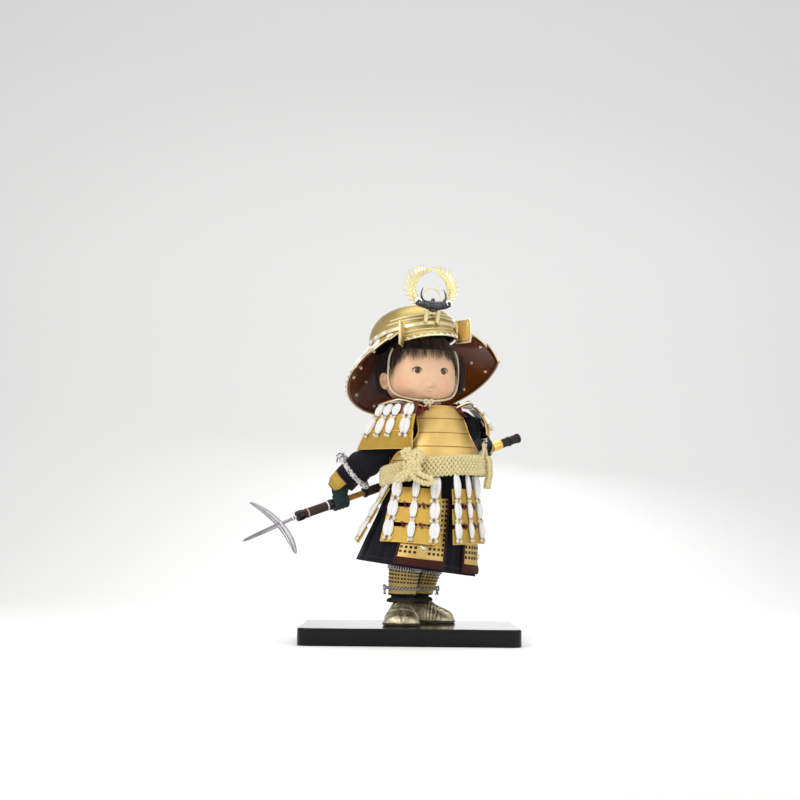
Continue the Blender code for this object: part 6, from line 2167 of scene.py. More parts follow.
@dataclass
class Face(Assembly):
    """The doll's pale round head: soft features, almond eyes of glass, folded ears."""

    eye: tuple[float, float] = (24.0, 5.6)
    eye_ball: tuple[float, float] = (0.0043, 0.0036)
    eye_width: float = 8.0
    neck: tuple[float, float, float, float] = (0.0175, 0.0045, 0.1870, 0.0075)
    # Nose, nostrils, lips and chin: height, azimuth to both sides, width, level and height of each swell.
    swells: tuple = (
        (0.0008, 0.0, 3.4, -16.5, 3.6), (0.0006, 4.6, 2.0, -18.8, 2.4), (0.0005, 0.0, 2.6, -6.0, 9.0),
        (-0.0005, 2.2, 1.1, -20.6, 1.0), (0.0007, 0.0, 5.2, -28.0, 1.7), (0.0008, 0.0, 4.2, -32.4, 2.0),
        (-0.0006, 0.0, 6.0, -30.1, 0.8), (0.0007, 0.0, 9.0, -42.0, 7.0))

    def lid(self, u: Array, upper: bool) -> Array:
        """Level of a lid's edge over the eye's middle, at a share u of the half width."""
        arc = np.maximum(1.0 - np.abs(u) ** 2.3, 0.0) ** 0.75
        return 3.9 * arc if upper else -2.9 * arc

    def features(self, a: Array, level: Array) -> Array:
        """How far the skin stands out from the plain head.

        Args:
            a: degrees from the face's middle, from -180 to 180.
            level: degrees up from the head's middle.

        Returns:
            Distances out.
        """
        side = np.abs(a)
        out = sum(height * bump_at(side, turn, wide) * bump_at(level, at, tall)
                  for height, turn, wide, at, tall in self.swells)
        for turn in (-self.eye[0], self.eye[0]):
            u = (a - turn) / self.eye_width
            over, under = self.lid(u, True), self.lid(u, False)
            v = level - self.eye[1]
            inside = np.where(np.abs(u) < 1.0, np.minimum(over - v, v - under), -1.0)
            out = out + 0.0006 * bump_at(v, over + 1.0, 1.5) * (np.abs(u) < 1.25)
            out = out + 0.0004 * bump_at(v, under - 1.0, 1.3) * (np.abs(u) < 1.25)
            out = out - 0.0034 * ease(inside, 0.0, 0.55)
        return out

    def build(self) -> None:
        """Makes the skin, the lids' lines, the ears, the neck and the eyes."""
        fine, coarse = np.arange(-46.2, 46.2, 0.7), np.arange(46.2, 313.8, 4.0)
        a = np.concatenate([fine, coarse])[None]
        level = np.concatenate([np.arange(-90.0, -46.0, 4.0), np.arange(-46.0, 18.0, 0.64),
                                np.arange(18.0, 90.1, 4.0)])[:, None]
        signed = (a + 180.0) % 360.0 - 180.0
        lips = np.maximum(bump_at(signed, 0.0, 6.4) * bump_at(level, -28.8, 1.2),
                          bump_at(signed, 0.0, 4.8) * bump_at(level, -31.4, 1.2))
        skin = HEAD.point(a, level, self.features(signed, level))
        stock = Stock().lattice(skin, loop=True, tint=0.34 * np.clip(1.3 * lips, 0.0, 1.0))
        x, y, low, radius = self.neck
        path = np.stack([np.full(8, x), np.full(8, y), np.linspace(low, 0.200, 8)], -1)
        path[:, 0] -= 0.004 * np.linspace(0.0, 1.0, 8)
        stock.tube(path, radius, 32)
        for sign in (-1.0, 1.0):
            self.ear(stock, sign)
            turn = sign * self.eye[0]
            u = np.linspace(-1.0, 1.0, 26)
            edge = HEAD.point(turn + (self.eye_width + 0.5) * u,
                              self.eye[1] + self.lid(u, True) + 0.2, 0.0005)
            stock.tube(edge, 0.00044 * (1.0 - 0.6 * np.abs(u) ** 3), 7, look=1)
            crease = HEAD.point(turn + 7.4 * u, self.eye[1] + self.lid(u, True) + 2.6, 0.00004)
            stock.tube(crease, 0.00010, 5, look=2)
        self.add(stock.mesh("face", 60.0), "skin", [Look.SKIN, Look.WRAP, Look.BROWN], "head")
        for sign, side in ((-1.0, "right"), (1.0, "left")):
            self.eyeball(sign, side)

    def ear(self, stock: Stock, sign: float) -> None:
        """Adds an ear with a rolled rim, an inner fold, a hollow and a lobe.

        Args:
            stock: where it goes.
            sign: -1 for the right ear and 1 for the left.
        """
        place = facing(HEAD.point(sign * 92.0, -4.0), HEAD.turn + sign * 68.0, 0.0, sign * 8.0)
        r = np.linspace(0.0, 1.0, 22)[:, None]
        t = np.linspace(0.0, math.tau, 44, endpoint=False)[None]
        back = sign * np.cos(t)
        rise = (0.0022 * bump_at(r, 0.86, 0.13) * (1.0 - 0.7 * bump_at(back, -1.0, 0.5))
                + 0.0011 * bump_at(r, 0.50, 0.12) * ease(back, -0.4, 0.4)
                + 0.0009 * bump_at(r, 0.55, 0.25) * bump_at(np.sin(t), -1.0, 0.5)
                - 0.0009 * bump_at(r, 0.18, 0.22) + 0.0004)
        rise = rise * np.sqrt(np.clip(1.0 - r ** 12, 0.0, 1.0))
        wide = 0.0047 * r * np.cos(t) * (1.0 + 0.22 * np.sin(t))
        tall = 0.0072 * r * np.sin(t) + 0 * wide
        front = np.stack([wide, -rise - 0.0012, tall], -1)
        rear = np.stack([wide * 0.72, 0.0022 + 0 * wide, tall * 0.80], -1)[::-1]
        stock.lattice(carry(place, np.concatenate([front, rear])), loop=True)

    def eyeball(self, sign: float, side: str) -> None:
        """Makes a glass eye whose rows run from the pupil to the back.

        Args:
            sign: -1 for the right eye and 1 for the left.
            side: right or left.
        """
        turn = sign * self.eye[0]
        azimuth = HEAD.turn + turn
        radius, depth = self.eye_ball
        place = facing(HEAD.point(turn, self.eye[1]) - heading(azimuth) * depth, azimuth - sign * 6.0, 3.0)
        theta = np.linspace(0.0, math.pi, 34)[:, None]
        t = np.linspace(0.0, math.tau, 48, endpoint=False)[None]
        grid = radius * np.stack(np.broadcast_arrays(np.sin(theta) * np.cos(t), -np.cos(theta),
                                                     np.sin(theta) * np.sin(t)), -1)
        share = np.where(theta < 0.5 * math.pi, np.sin(theta), 2.0 - np.sin(theta))
        laid = np.stack(np.broadcast_arrays(share, np.linspace(0.0, 1.0, 49)[None]), -1)
        stock = Stock().lattice(carry(place, grid), loop=True, laid=laid)
        self.add(stock.mesh(f"{side}_glass_eye"), "eye_glass", [Look.EYE], f"{side}_eye")


@dataclass
class Wig(Assembly):
    """Dark hair: a cap, a thin fringe under the helmet, side locks, and combed hair behind."""

    fringe: int = 300
    locks: int = 440
    wisps: int = 110
    falls: int = 130
    sides: tuple = ((78.0, 100.0, -26.0), (-130.0, -101.0, -38.0))

    def edge(self, a: Array) -> Array:
        """Level of the cap's lower edge at an azimuth."""
        side = np.abs((a + 180.0) % 360.0 - 180.0)
        return 31.0 - 22.0 * ease(side, 52.0, 68.0) - 28.0 * ease(side, 100.0, 110.0)

    def strand(self, stock: Stock, spots: Sequence[tuple[float, float, float]], radius: float,
               tint: float) -> None:
        """Adds a strand through azimuth, level and outset places.

        Args:
            stock: where it goes.
            spots: azimuth, level and outset of places on the head.
            radius: its radius at the root.
            tint: how much of the pale tip colour it has.
        """
        a, level, out = np.array(spots).T
        path = curve(HEAD.point(a, level, out), 7)
        stock.tube(path, radius * np.linspace(1.0, 0.2, 7), 5, tint=tint)

    def build(self) -> None:
        """Makes the cap and the strands."""
        rng = np.random.default_rng(7)
        a = np.arange(0.0, 360.0, 4.0)[None]
        share = np.linspace(0.0, 1.0, 22)[:, None]
        cap = HEAD.point(a, 88.0 + (self.edge(a) - 88.0) * share, 0.0008 + 0 * a)
        stock = Stock().plate(cap, 0.0014, loop=True)
        for _ in range(self.fringe):
            turn, sway = rng.uniform(-64.0, 64.0), rng.normal(0.0, 3.0)
            clump = math.sin(turn * 0.42) * 1.5 + math.sin(turn * 1.1 + 1.0) * 1.1
            low = 22.5 + clump + rng.normal(0.0, 1.9) - 9.0 * ease(abs(turn), 38.0, 62.0)
            turn = turn + 1.6 * math.cos(turn * 0.42)
            out = rng.uniform(0.0005, 0.0018)
            self.strand(stock, ((turn + sway, 46.0, 0.0026), (turn + 0.6 * sway, 36.0, out + 0.0008),
                                (turn, low, out)), rng.uniform(0.00014, 0.00027), rng.uniform(0.0, 1.0))
        for _ in range(self.wisps):
            turn, low = rng.uniform(-56.0, 58.0), rng.uniform(15.5, 22.0)
            self.strand(stock, ((turn, 40.0, 0.0022), (turn + rng.normal(0.0, 1.5), 30.0, 0.0016),
                                (turn + rng.normal(0.0, 3.0), low, rng.uniform(0.0004, 0.0012))),
                        rng.uniform(0.00010, 0.00016), 1.0)
        for _ in range(self.locks):
            turn = rng.uniform(54.0, 306.0)
            side = abs((turn + 180.0) % 360.0 - 180.0)
            low = self.edge(np.array(turn)) - rng.uniform(0.0, 6.0)
            if side < 78.0:
                low = low - 20.0 * rng.random() ** 2 * bump_at(side, 66.0, 9.0)
            sway, out = rng.normal(0.0, 2.5), rng.uniform(0.0018, 0.0028)
            self.strand(stock, ((turn + sway, 62.0, 0.0024), (turn + 0.5 * sway, 40.0, out),
                                (turn, 0.5 * (40.0 + low), out), (turn - 0.4 * sway, low, out - 0.0006)),
                        rng.uniform(0.00022, 0.0005), rng.uniform(0.0, 0.8))
        for first, last, low in self.sides:
            for _ in range(self.falls):
                turn = rng.uniform(first, last)
                full, end = rng.uniform(0.0030, 0.0098), low + 26.0 * rng.random() ** 1.6
                self.strand(stock, ((turn, 30.0, 0.0030), (turn, 18.0, full), (turn, 0.5 * end, full * 0.80),
                                    (turn, end, full * 0.30)),
                            rng.uniform(0.00035, 0.00065), rng.uniform(0.0, 0.3))
        self.add(stock.mesh("wig"), "hair", [Look.HAIR], "hair")


@dataclass
class ChinCord(Assembly):
    """The cream plaited cord from the helmet's sides to a knot under the chin."""

    side: tuple = ((73.0, 31.0), (75.0, 22.0), (76.0, 11.0), (77.0, -4.0), (74.0, -22.0), (64.0, -38.0),
                   (44.0, -48.0), (20.0, -54.0))

    def build(self) -> None:
        """Makes the cord and its knot."""
        route = [(-a, level) for a, level in self.side] + [(0.0, -56.0)] + list(reversed(self.side))
        a, level = np.array(route).T
        rest = HEAD.point(a, level)
        out = unit(HEAD.point(a, level, 0.01) - rest)
        off = 0.0016 + 0.0020 * ease(level, 0.0, 24.0)
        path = curve(rest + out * off[:, None], 240)
        stock = Stock()
        for k, strand in enumerate(plaited(path, 0.0019, 0.0052)):
            stock.tube(strand, 0.00058, 7, tint=0.25 * k)
        spot = HEAD.point(-1.5, -53.0) + unit(HEAD.point(0.0, -53.0, 0.01) - HEAD.point(0.0, -53.0)) * 0.0030
        bow(stock, facing(spot, HEAD.turn, -36.0), 0.0040, 0.00085)
        for sign in (-1.0, 1.0):
            spot = HEAD.point(sign * 76.0, 10.0, 0.0018)
            stock.ball(spot, (0.0014, 0.0014, 0.0017), columns=12, levels=8)
        self.add(stock.mesh("chin_plait"), "cream_cord", [Look.KNOT], "chin_cord")


@dataclass
class Helmet(Assembly):
    """The satin brass bowl with ridges, its lining, its stepped peak and laced rim."""

    spread: float = 33.0
    reach: float = 0.0070
    drop: float = 0.0105
    crown: tuple = ((0.0052, 0.0009), (0.0036, 0.0017), (0.0020, 0.0026))
    ridges: tuple = (7.0, 13.5, 20.0)

    def peak(self, share: Array, a: Array, lift: Array) -> Array:
        """Points of the peak: share 0 at the bowl and 1 at its edge.

        Args:
            share: 0 at the bowl and 1 at the edge.
            a: degrees from the bowl's front.
            lift: distance out.

        Returns:
            Points.
        """
        fade = np.cos(np.radians(a * 90.0 / (self.spread + 24.0)))
        out = BOWL.wall + 0.0004 + self.reach * share * fade + lift
        return BOWL.rim(a, out, -0.0006 - self.drop * share)

    def build(self) -> None:
        """Makes the bowl, lining and peak."""
        a = np.arange(0.0, 360.0, 3.0)[None]
        level = 89.0 - 89.0 * np.linspace(0.0, 1.0, 34)[:, None]
        facet = 0.00010 * np.abs(np.cos(np.radians(a * 9.0))) * ease(level, 86.0, 60.0)
        stock = Stock().plate(BOWL.point(a, level, facet), BOWL.wall, loop=True)
        axes = np.array(BOWL.place().to_3x3()).T
        for radius, up in self.crown:
            stock.ball(BOWL.point(0.0, 90.0, BOWL.wall - 0.0002), (radius, radius, up), axes, 1, 28, 10)
        turns = np.arange(0.0, 360.0, 2.0)
        for up in (0.0004, 0.0031):
            stock.tube(BOWL.rim(turns, BOWL.wall + 0.0001, up), 0.00055, 7, closed=True, look=1)
        stock.plate(BOWL.rim(turns[None], BOWL.wall, np.array((0.0031, 0.0004))[:, None]),
                    0.0004, 1, loop=True)
        for turn in np.arange(60.0, 301.0, 15.0):
            patch = BOWL.rim(turn + np.linspace(-2.6, 2.6, 6)[None], BOWL.wall + 0.0006,
                             np.linspace(0.0030, 0.0005, 5)[:, None])
            stock.plate(patch, 0.0004, 2)
        for k, level in enumerate(self.ridges):
            arc = np.linspace(-60.0 + 5.0 * k, 60.0 - 5.0 * k, 90)
            path = BOWL.point(arc, level, BOWL.wall + 0.0001)
            stock.tube(path, 0.00085 * np.sqrt(np.clip(1.0 - (arc / 62.0) ** 8, 0.05, 1.0)), 8,
                       look=1 if k else 0)
        self.add(stock.mesh("bowl", 40.0), "pale_gold", [Look.BRASS, Look.RIM, Look.WHITE], "helmet_bowl")

        inside = BOWL.point(a, 88.0 - 86.0 * np.linspace(0.0, 1.0, 14)[:, None], -0.0022)
        weave = 0.0002 * np.sin(np.radians(a * 24.0))[..., None] * unit(inside - np.array(BOWL.middle))
        self.add(Stock().plate(inside + weave, 0.0014, loop=True).mesh("bowl_lining"), "lining", [Look.NAVY],
                 "helmet_liner")

        s = np.linspace(-self.spread, self.spread, 80)[None]
        share = np.linspace(0.0, 1.0, 46)[:, None]
        tread = 0.0006 * (np.floor(share * 2.999) - share * 2.0)
        stock = Stock().plate(self.peak(share, s, tread), 0.0009)
        border = np.concatenate([self.peak(np.linspace(0.06, 0.98, 16), -self.spread, 0.0004),
                                 self.peak(1.0, s[0], 0.0005),
                                 self.peak(np.linspace(0.98, 0.06, 16), self.spread, 0.0004)])
        stock.tube(border, 0.00065, 8, look=1)
        for share in (0.34, 0.67):
            stock.tube(self.peak(share, s[0], 0.0011), 0.0004, 7, look=1)
        for turn in np.linspace(-29.0, 29.0, 9):
            tie = self.peak(np.array((0.86, 0.93, 1.02)), turn + np.array((-1.2, 0.0, 1.2)), 0.0013)
            stock.tube(curve(tie, 9), 0.00075, 7, look=2)
        self.add(stock.mesh("peak_steps", 35.0), "pale_gold",
                 [Look.BRASS, Look.RIM, Look.WHITE], "helmet_peak")


@dataclass
class NeckGuard(Assembly):
    """Three flaring lames, gold outside and brown lacquer inside, with a double bright rim."""

    columns: int = 15
    step: float = 0.0021
    names: tuple[str, str, str] = ("upper", "middle", "lower")

    def build(self) -> None:
        """Makes the lames, their lacing and knots, and the turned-back plates."""
        lacing = Lacing(width=0.0034, depth=0.0018, silk=3, thread=4, knot=5)
        around = np.linspace(0.0, 1.0, 121)[None]
        for index, name in enumerate(self.names):
            top, low = index / 3.0 - (0.05 if index else 0.0), (index + 1) / 3.0
            lift = index * self.step
            rows = np.linspace(top, low, 10)[:, None]
            stock = Stock().plate(GUARD.point(rows, around, lift), GUARD.wall - 0.0002, 0, 1)
            last = index == len(self.names) - 1
            rims = ((low - 0.016, lift + 0.0006),)
            if last:
                rims = ((low, lift + 0.0006), (low - 0.035, lift + 0.0013))
            for share, out in rims:
                stock.tube(GUARD.point(share, around[0], out + 0.0004),
                           0.00065 if last else 0.0004, 8, look=2)
            for end in (0.0, 1.0):
                stock.tube(GUARD.point(np.linspace(top + 0.02, low, 14), end, lift + 0.0006),
                           0.0006, 8, look=2)
            if last:
                rows = np.linspace(0.02, 0.985, 14)[:, None]
                stock.plate(GUARD.point(rows, around, 0.0042 * rows - 0.0018), 0.0006, 1)
                stock.tube(GUARD.point(0.992, around[0], 0.0036), 0.0010, 8, look=1)
                for k, at in enumerate(np.linspace(0.004, 0.996, 96)):
                    tie = GUARD.point(np.array((0.993, 0.968)), at, lift + 0.0017)
                    stock.tube(tie, 0.0007, 6, look=3 if k % 3 else 4)
            for k, at in enumerate(np.linspace(0.03, 0.97, self.columns)):
                ends = GUARD.point(np.array((top + 0.07, low - 0.10)), at, lift + 0.0020)
                way = unit(GUARD.point(0.5, at, 0.01) - GUARD.point(0.5, at))
                lacing.hang(stock, ends[0], ends[1], way, knots=False)
                if (k + index) % 2 and index:
                    inner = GUARD.point(low - 0.10, at, 0.0042 * (low - 0.10) - 0.0021)
                    stock.ball(inner, (0.0013, 0.0013, 0.0013), look=5, columns=12, levels=8)
            self.add(stock.mesh(f"{name}_guard_lame"), "gold_armour",
                     [Look.GUARD, Look.BROWN, Look.RIM, Look.WHITE, Look.GREY, Look.KNOT],
                     f"neck_guard_{name}")
        for side, sign in (("right", -1.0), ("left", 1.0)):
            self.turnback(side, sign)

    def turnback(self, side: str, sign: float) -> None:
        """Makes the plate folded forward from the front end of the neck guard.

        Args:
            side: right or left.
            sign: -1 for the right and 1 for the left.
        """
        way, across = heading(HEAD.turn + sign * 19.0), heading(HEAD.turn + sign * 109.0)
        start = GUARD.point(0.02, 0.0 if sign > 0 else 1.0, 0.5 * GUARD.wall) + way * 0.0006 - (0, 0, 0.0120)
        up, s = np.linspace(1.0, 0.0, 26)[:, None], np.linspace(0.0, 1.0, 26)[None]
        width = 0.0150 * (0.80 + 0.20 * np.sin(math.pi * (0.25 + 0.5 * up)))
        grid = (start + way * (width * s)[..., None] + across * (0.0020 * s * s + 0 * up)[..., None]
                + np.array((0.0, 0.0, 1.0)) * (0.0175 * up + 0 * s)[..., None])
        grid = grid - across * 0.0006
        stock = Stock().plate(grid, 0.0012, 0, 0, toward=across)
        edge = np.concatenate([grid[1:, 0][::-1], grid[0], grid[1:, -1], grid[-1, 1:-1][::-1]])
        stock.tube(edge + across * 0.0006, 0.00085, 8, closed=True, look=1)
        inset = grid[3:-3, 3:-3]
        loop = np.concatenate([inset[:, 0][::-1], inset[0, 1:], inset[1:, -1], inset[-1, 1:-1][::-1]])
        for lift in (-0.0001, 0.0013):
            stock.tube(loop + across * lift, 0.00030, 6, closed=True, look=1)
        self.add(stock.mesh(f"{side}_turned_plate"), "gold_armour", [Look.COPPER, Look.RIM],
                 f"{side}_turnback")


@dataclass
class Crest(Assembly):
    """A wreath of two fern fronds with a thin hoop, and a dark horned carving on gold pegs."""

    middle: tuple[float, float, float] = (0.0155, -0.0282, 0.2780)
    stem: tuple[float, float] = (0.0168, 0.0150)
    leaves: int = 15
    ahead: float = -0.0037
    base: float = -0.0175
    bosses: tuple = ((0.0, 0.0, 0.0022, (0.0046, 0.0026, 0.0042)),
                     (0.0, -0.0014, -0.0006, (0.0026, 0.0022, 0.0016)),
                     (-0.0021, -0.0016, 0.0040, (0.0019, 0.0013, 0.0010)),
                     (0.0021, -0.0016, 0.0040, (0.0019, 0.0013, 0.0010)),
                     (-0.0042, -0.0006, 0.0008, (0.0018, 0.0018, 0.0018)),
                     (0.0042, -0.0006, 0.0008, (0.0018, 0.0018, 0.0018)),
                     (0.0, -0.0020, 0.0014, (0.0010, 0.0010, 0.0020)),
                     (0.0, 0.0, 0.0066, (0.0018, 0.0016, 0.0026)))

    def place(self) -> Matrix:
        """The crest's frame."""
        return facing(self.middle, HEAD.turn, 0.0, 1.0)

    def oval(self, angle: Array, grow: Array = 0.0) -> Array:
        """Points of the stem's oval; angle 0 is its foot.

        Args:
            angle: radians from its foot.
            grow: distance out from the oval.

        Returns:
            Points in the crest's frame.
        """
        angle = np.asarray(angle, float)
        x, z = (self.stem[0] + grow) * np.sin(angle), -(self.stem[1] + grow) * np.cos(angle)
        return np.stack([x, 0 * x, z], -1)

    def leaf(self, stock: Stock, root: Array, way: Array, length: float, width: float) -> None:
        """Adds a pointed leaf with a raised midrib, in the crest's frame.

        Args:
            stock: where it goes.
            root: where it leaves the stem.
            way: the direction that it points in.
            length: its length.
            width: half its width.
        """
        t, s = np.linspace(0.0, 1.0, 9)[:, None], np.linspace(-1.0, 1.0, 7)[None]
        side = np.cross(way, (0.0, 1.0, 0.0))
        half = width * np.sin(math.pi * np.clip(t, 0.02, 0.985) ** 0.7) ** 0.8
        rise = 0.0004 * (1.0 - np.abs(s)) * (1.0 - t) + 0.0006 * t * t + 0.00035
        grid = root + way * (length * t + 0 * s)[..., None] + side * (half * s)[..., None]
        for front in (-1.0, 1.0):
            depth = front * rise * (1.0 - 0.9 * np.abs(s)) - 0.0002 * t
            face = grid + np.array((0.0, 1.0, 0.0)) * depth[..., None]
            stock.lattice(carry(self.place(), face))

    def build(self) -> None:
        """Makes the wreath and the carving."""
        stock = Stock()
        for sign in (-1.0, 1.0):
            angle = sign * np.linspace(0.30, math.pi - 0.02, 90)
            stock.tube(carry(self.place(), self.oval(angle)), np.linspace(0.00085, 0.0005, 90), 8)
            for k in range(self.leaves):
                share = (k + 0.4) / self.leaves
                at = sign * (0.34 + (math.pi - 0.40) * share)
                root = self.oval(at)
                ahead = unit(self.oval(at + 0.02 * sign) - root)
                out = unit(root * (1.0, 0.0, 1.0))
                size = math.sin(math.pi * (0.16 + 0.74 * share))
                outer = 0.0100 * size * (1.0 - 0.35 * share ** 4)
                self.leaf(stock, root, unit(out + ahead * 1.15), outer, 0.00080)
                self.leaf(stock, root, unit(-out + ahead * 0.95), 0.0072 * size, 0.00064)
        ring = np.linspace(0.0, math.tau, 90, endpoint=False)
        hoop = np.stack([0.0068 * np.sin(ring), 0 * ring - 0.0008, 0.0072 * np.cos(ring) - 0.0072], -1)
        stock.tube(carry(self.place(), hoop), 0.0005, 8, closed=True)
        foot = self.oval(np.linspace(-0.34, 0.34, 30))
        stock.tube(carry(self.place(), foot), 0.0008, 8)
        self.add(stock.mesh("fern_wreath", 35.0), "gold_armour", [Look.FERN], "crest_wreath")
        self.carving()

    def carving(self) -> None:
        """Makes the horned carving: a brow, a snout, cheeks, scrolls and two tall horns, on pegs."""
        place, mid, low = self.place(), self.ahead, self.base
        stock = Stock()
        s = np.linspace(-1.0, 1.0, 90)
        path = np.stack([0.0140 * s, mid - 0.0012 * (1.0 - s * s), low + 0.0032 + 0.0018 * s * s], -1)
        ring = 1.0 + 0.12 * np.sin(s * 46.0) * ease(np.abs(s), 0.30, 0.5)
        stock.tube(carry(place, path), 0.0034 * (1.0 - 0.45 * np.abs(s) ** 3) * ring, 16)
        axes = np.array(place.to_3x3()).T
        for x, y, z, half in self.bosses:
            stock.ball(carry(place, (x, mid + y, low + z)), half, axes, columns=16, levels=10)
        for sign in (-1.0, 1.0):
            turn = np.linspace(0.0, 4.8, 30)
            curl = np.stack([sign * (0.0122 + 0.0028 * np.cos(turn) * (1 - turn / 7)),
                             np.full(30, mid - 0.0022),
                             low + 0.0052 + 0.0028 * np.sin(turn) * (1 - turn / 7)], -1)
            stock.tube(carry(place, curl), np.linspace(0.0012, 0.0006, 30), 10, look=2)
            horn = curve(((sign * 0.0062, mid, low + 0.0045), (sign * 0.0096, mid - 0.001, low + 0.0080),
                          (sign * 0.0102, mid - 0.001, low + 0.0120), (sign * 0.0086, mid, low + 0.0170)), 40)
            stock.tube(carry(place, horn), 0.0013 * np.linspace(1.0, 0.12, 40) ** 0.8, 12)
            peg = np.array(((sign * 0.0048, mid, low), (sign * 0.0048, mid + 0.0026, low - 0.0097)))
            peg = np.stack([peg[0] + (peg[1] - peg[0]) * t for t in np.linspace(0.0, 1.0, 12)])
            stock.tube(carry(place, peg), 0.0019 + 0.00015 * np.cos(np.arange(12) * math.pi), 16, look=1)
        self.add(stock.mesh("horned_carving", 45.0), "dark_metal",
                 [Look.GUNMETAL, Look.RIM, Look.EDGE], "crest_horns")


@dataclass
class Spear(Assembly):
    """The cross spear: amber shaft with bound grips and rings, a ridged blade and a crescent."""

    front: float = -0.0340
    butt: float = 0.1835
    blade: float = 0.0490
    droop: float = 4.5
    roll: float = 51.0
    from_tip: float = 0.0335
    crescent: float = 0.0350
    neck: tuple[float, float] = (0.0023, 0.0018)

    def stretch(self, stock: Stock, first: float, last: float, radius: float, look: int) -> None:
        """Adds a stretch of the shaft."""
        stock.tube(SPEAR.at(np.linspace(first, last, 24)), radius, 24, look=look)

    def bound(self, stock: Stock, first: float, last: float, radius: float, look: int) -> None:
        """Winds thread round a stretch of the shaft.

        Args:
            stock: where it goes.
            first: where the stretch starts, along the spear.
            last: where it ends.
            radius: radius over the thread.
            look: index of its finish.
        """
        self.stretch(stock, first, last, radius - 0.0004, look)
        turns = (last - first) / 0.00105
        angle = np.linspace(0.0, turns * math.tau, int(turns * 13))
        stock.tube(SPEAR.at(np.linspace(first, last, len(angle)), (radius - 0.0003) * np.cos(angle),
                            (radius - 0.0003) * np.sin(angle)), 0.00056, 6, look=look, tint=0.3)

    def build(self) -> None:
        """Makes the shaft and the head."""
        stock = Stock()
        self.stretch(stock, self.front, 0.1640, 0.0025, 0)
        self.bound(stock, self.front, 0.0, 0.00355, 1)
        self.bound(stock, 0.0275, 0.0600, 0.00355, 1)
        self.bound(stock, 0.1640, self.butt - 0.0012, 0.0036, 1)
        rings = ((self.front + 0.0030, 0.0060, 2), (-0.0245, 0.0011, 4), (-0.0064, 0.0010, 5),
                 (-0.0030, 0.0050, 2), (0.0288, 0.0024, 2), (0.0588, 0.0024, 2), (0.1600, 0.0090, 3),
                 (0.1730, 0.0024, 2), (self.butt - 0.0014, 0.0024, 2))
        for at, length, look in rings:
            share = np.linspace(-1.0, 1.0, 13)
            radius = 0.0040 + 0.0003 * np.sqrt(np.clip(1.0 - share ** 2, 0.0, 1.0))
            stock.tube(SPEAR.at(at + 0.5 * length * share), radius, 28, look=look)
        self.add(stock.mesh("spear_pole"), "shaft_wood",
                 [Look.SHAFT, Look.WRAP, Look.BLACK, Look.COPPER, Look.PINK, Look.WHITE], "spear_shaft")
        self.head()

    def head(self) -> None:
        """Makes the blade with its neck and the crescent across it."""
        turn, rise = math.radians(SPEAR.turn), math.radians(SPEAR.rise + self.droop)
        way = -np.array((math.cos(turn) * math.cos(rise), math.sin(turn) * math.cos(rise), math.sin(rise)))
        flat = np.array((-math.sin(turn), math.cos(turn), 0.0))
        over = unit(np.cross(way, flat))
        over = over if over[2] > 0 else -over
        chord = unit(over * math.cos(math.radians(self.roll)) + flat * math.sin(math.radians(self.roll)))
        axes = np.stack([chord, np.cross(way, chord), way])
        start = SPEAR.at(self.front - 0.0004)
        along = np.linspace(0.0, self.blade, 90)
        share = np.interp(along, (0.0, 0.004, 0.014, 0.0175, 0.030, 0.037, 0.045, 0.049),
                          (0.75, 0.60, 0.60, 0.95, 0.95, 0.85, 0.7, 0.28))
        angle = np.linspace(0.0, math.tau, 25)[:-1]
        sharp, size = ease(along, 0.013, 0.017)[:, None], share[:, None]
        x, y = ((1.0 - sharp) * wave + sharp * (np.abs(wave) ** 1.5 * np.sign(wave))
                for wave in (np.cos(angle), np.sin(angle)))
        grid = np.stack([self.neck[0] * size * x, self.neck[1] * size * y, along[:, None] + 0 * x], -1)
        stock = Stock().lattice(start + grid @ axes, loop=True, caps=True)
        for at in (0.0016, 0.0040, 0.0150):
            ring = np.stack([0.0020 * np.cos(angle), 0.0017 * np.sin(angle), np.full(24, at)], -1)
            stock.tube(start + ring @ axes, 0.0005, 8, closed=True, look=1)

        s = np.linspace(-1.0, 1.0, 121)[:, None]
        middle = self.blade - self.from_tip + 0.0065 * s * s
        half = 0.0034 * np.sqrt(np.clip(1.0 - np.abs(s) ** 2.6, 0.0, 1.0)) + 0.0003
        section = np.array(((1.0, 0.04), (0.62, 0.62), (0.0, 1.0), (-0.62, 0.62), (-1.0, 0.04), (-1.0, -0.04),
                            (-0.62, -0.62), (0.0, -1.0), (0.62, -0.62), (1.0, -0.04)))
        depth = 0.0010 * (1.0 - 0.75 * np.abs(s) ** 3)
        grid = np.stack([self.crescent * s + 0 * section[None, :, 0], depth * section[None, :, 1],
                         middle + half * 0.85 * section[None, :, 0]], -1)
        stock.lattice(start + grid @ axes, loop=True, caps=True)
        for side in (-1.0, 1.0):
            line = np.concatenate([self.crescent * s * 0.94, side * (depth * 0.70), middle + half * 0.52], 1)
            stock.tube(start + line[8:-8] @ axes, 0.00022, 6, look=1)
        self.add(stock.mesh("cross_blade", 25.0), "steel", [Look.STEEL, Look.EDGE], "spear_blade")


# The studio

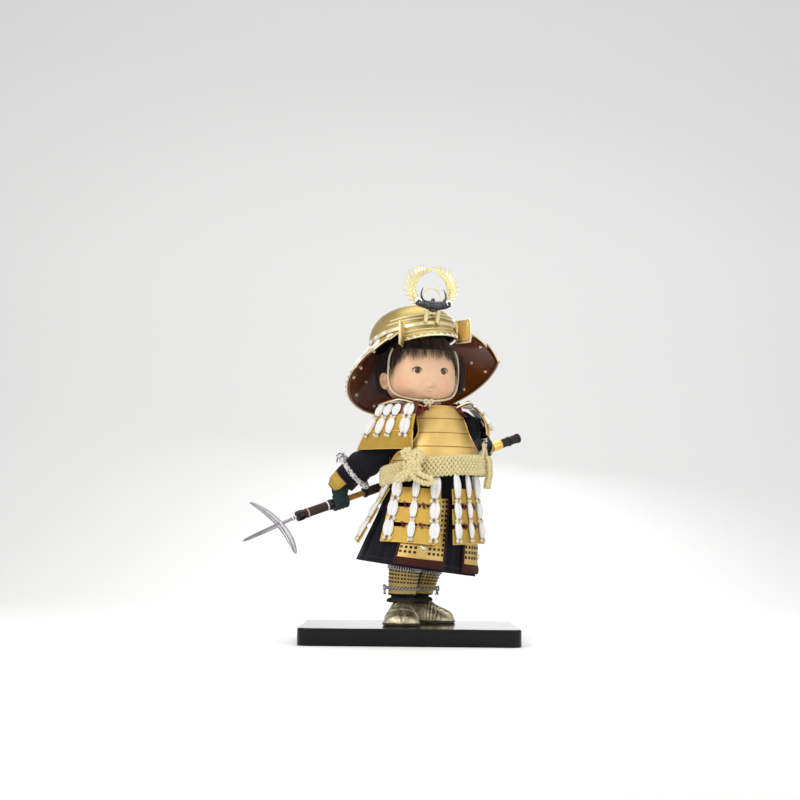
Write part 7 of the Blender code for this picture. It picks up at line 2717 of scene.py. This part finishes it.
@dataclass
class Studio:
    """A pale sweep, soft lamps and the camera."""

    lens: float = 65.86
    eye: tuple[float, float, float] = (-0.0087, -1.171, 0.080)
    pitch: float = 5.46
    roll: float = 0.55
    film: float = 36.0
    near: float = 0.01
    target: tuple[float, float, float] = (0.01, 0.0, 0.14)
    white: tuple[float, float, float] = (1.0, 1.0, 1.0)
    grey: tuple[float, float, float] = (0.56, 0.56, 0.56)
    lamps: tuple = (
        ("key lamp", (-0.42, -0.62, 0.62), 0.40, 3.1, (1.0, 0.97, 0.93)),
        ("fill lamp", (0.62, -0.52, 0.36), 0.55, 1.5, (0.94, 0.97, 1.0)),
        ("top lamp", (0.05, 0.05, 0.85), 0.60, 2.3, (1.0, 0.99, 0.97)),
        ("back lamp", (0.10, 0.75, 0.50), 0.50, 1.8, (1.0, 1.0, 1.0)))

    def build(self) -> None:
        """Lays the sweep, hangs the lamps and sets the camera."""
        self.sweep()
        for name, spot, size, power, colour in self.lamps:
            lamp = bpy.data.lights.new(name, "AREA")
            lamp.shape, lamp.size, lamp.energy, lamp.color = "DISK", size, power, colour
            made = bpy.data.objects.new(name, lamp)
            made.location = spot
            aim = Vector(self.target) - Vector(spot)
            made.rotation_euler = aim.to_track_quat("-Z", "Y").to_euler()
            bpy.context.scene.collection.objects.link(made)
        self.air()
        camera = bpy.data.cameras.new("camera")
        camera.lens, camera.sensor_width, camera.clip_start = self.lens, self.film, self.near
        made = bpy.data.objects.new("camera", camera)
        level = Matrix.Rotation(math.radians(90.0 + self.pitch), 4, "X")
        roll = Matrix.Rotation(math.radians(self.roll), 4, "Z")
        made.matrix_world = Matrix.Translation(self.eye) @ level @ roll
        bpy.context.scene.collection.objects.link(made)
        bpy.context.scene.camera = made
        bpy.context.scene.view_settings.view_transform = "Standard"

    def sweep(self) -> None:
        """A floor that curves up behind the doll."""
        rows = [(-1.6, 0.0), (0.5, 0.0), *[(0.5 + 0.5 * math.sin(a), 0.5 - 0.5 * math.cos(a))
                                           for a in np.linspace(0.1, 0.5 * math.pi, 14)], (1.0, 2.4)]
        grid = np.array([[(x, y, z) for x in (-2.4, 2.4)] for y, z in rows])
        made = Stock().lattice(grid).mesh("sweep")
        bench = Bench("paper")
        grain = bench.cloud(0.004, 3.0)
        made.data.materials.append(bench.finish(bench.mix(grain, (0.93, 0.93, 0.93), (0.96, 0.96, 0.96)),
                                                0.9, grain, 0.00002))

    def air(self) -> None:
        """White air for the camera and in what shines or is clear, and soft grey light from all round."""
        world = bpy.data.worlds.new("air")
        world.use_nodes = True
        bpy.context.scene.world = world
        air = Tree(world.node_tree)
        seen = air.node("ShaderNodeLightPath", out="Is Camera Ray")
        for kind in ("Is Glossy Ray", "Is Transmission Ray"):
            seen = seen.math("MAXIMUM", air.node("ShaderNodeLightPath", out=kind))
        shade = air.tree.nodes["Background"]
        air.feed(shade.inputs["Color"], air.mix(seen, self.grey, self.white))


def main() -> None:
    """Builds and dresses every sub-assembly in order, then the studio."""
    assemblies = (DisplayBoard(), Footwear(), LegArmour(), Trousers(), ThighArmour(), TassetSkirt(),
                  Cuirass(), Sash(), YOKE, ShoulderArmour(), Arms(), Face(), Wig(), ChinCord(), Helmet(),
                  NeckGuard(), Crest(), Spear())
    for assembly in assemblies:
        LOG.info("building %s", type(assembly).__name__)
        assembly.build()
        assembly.dress()
    Studio().build()


if __name__ == "__main__":
    logging.basicConfig(level=logging.INFO, format="%(message)s")
    main()
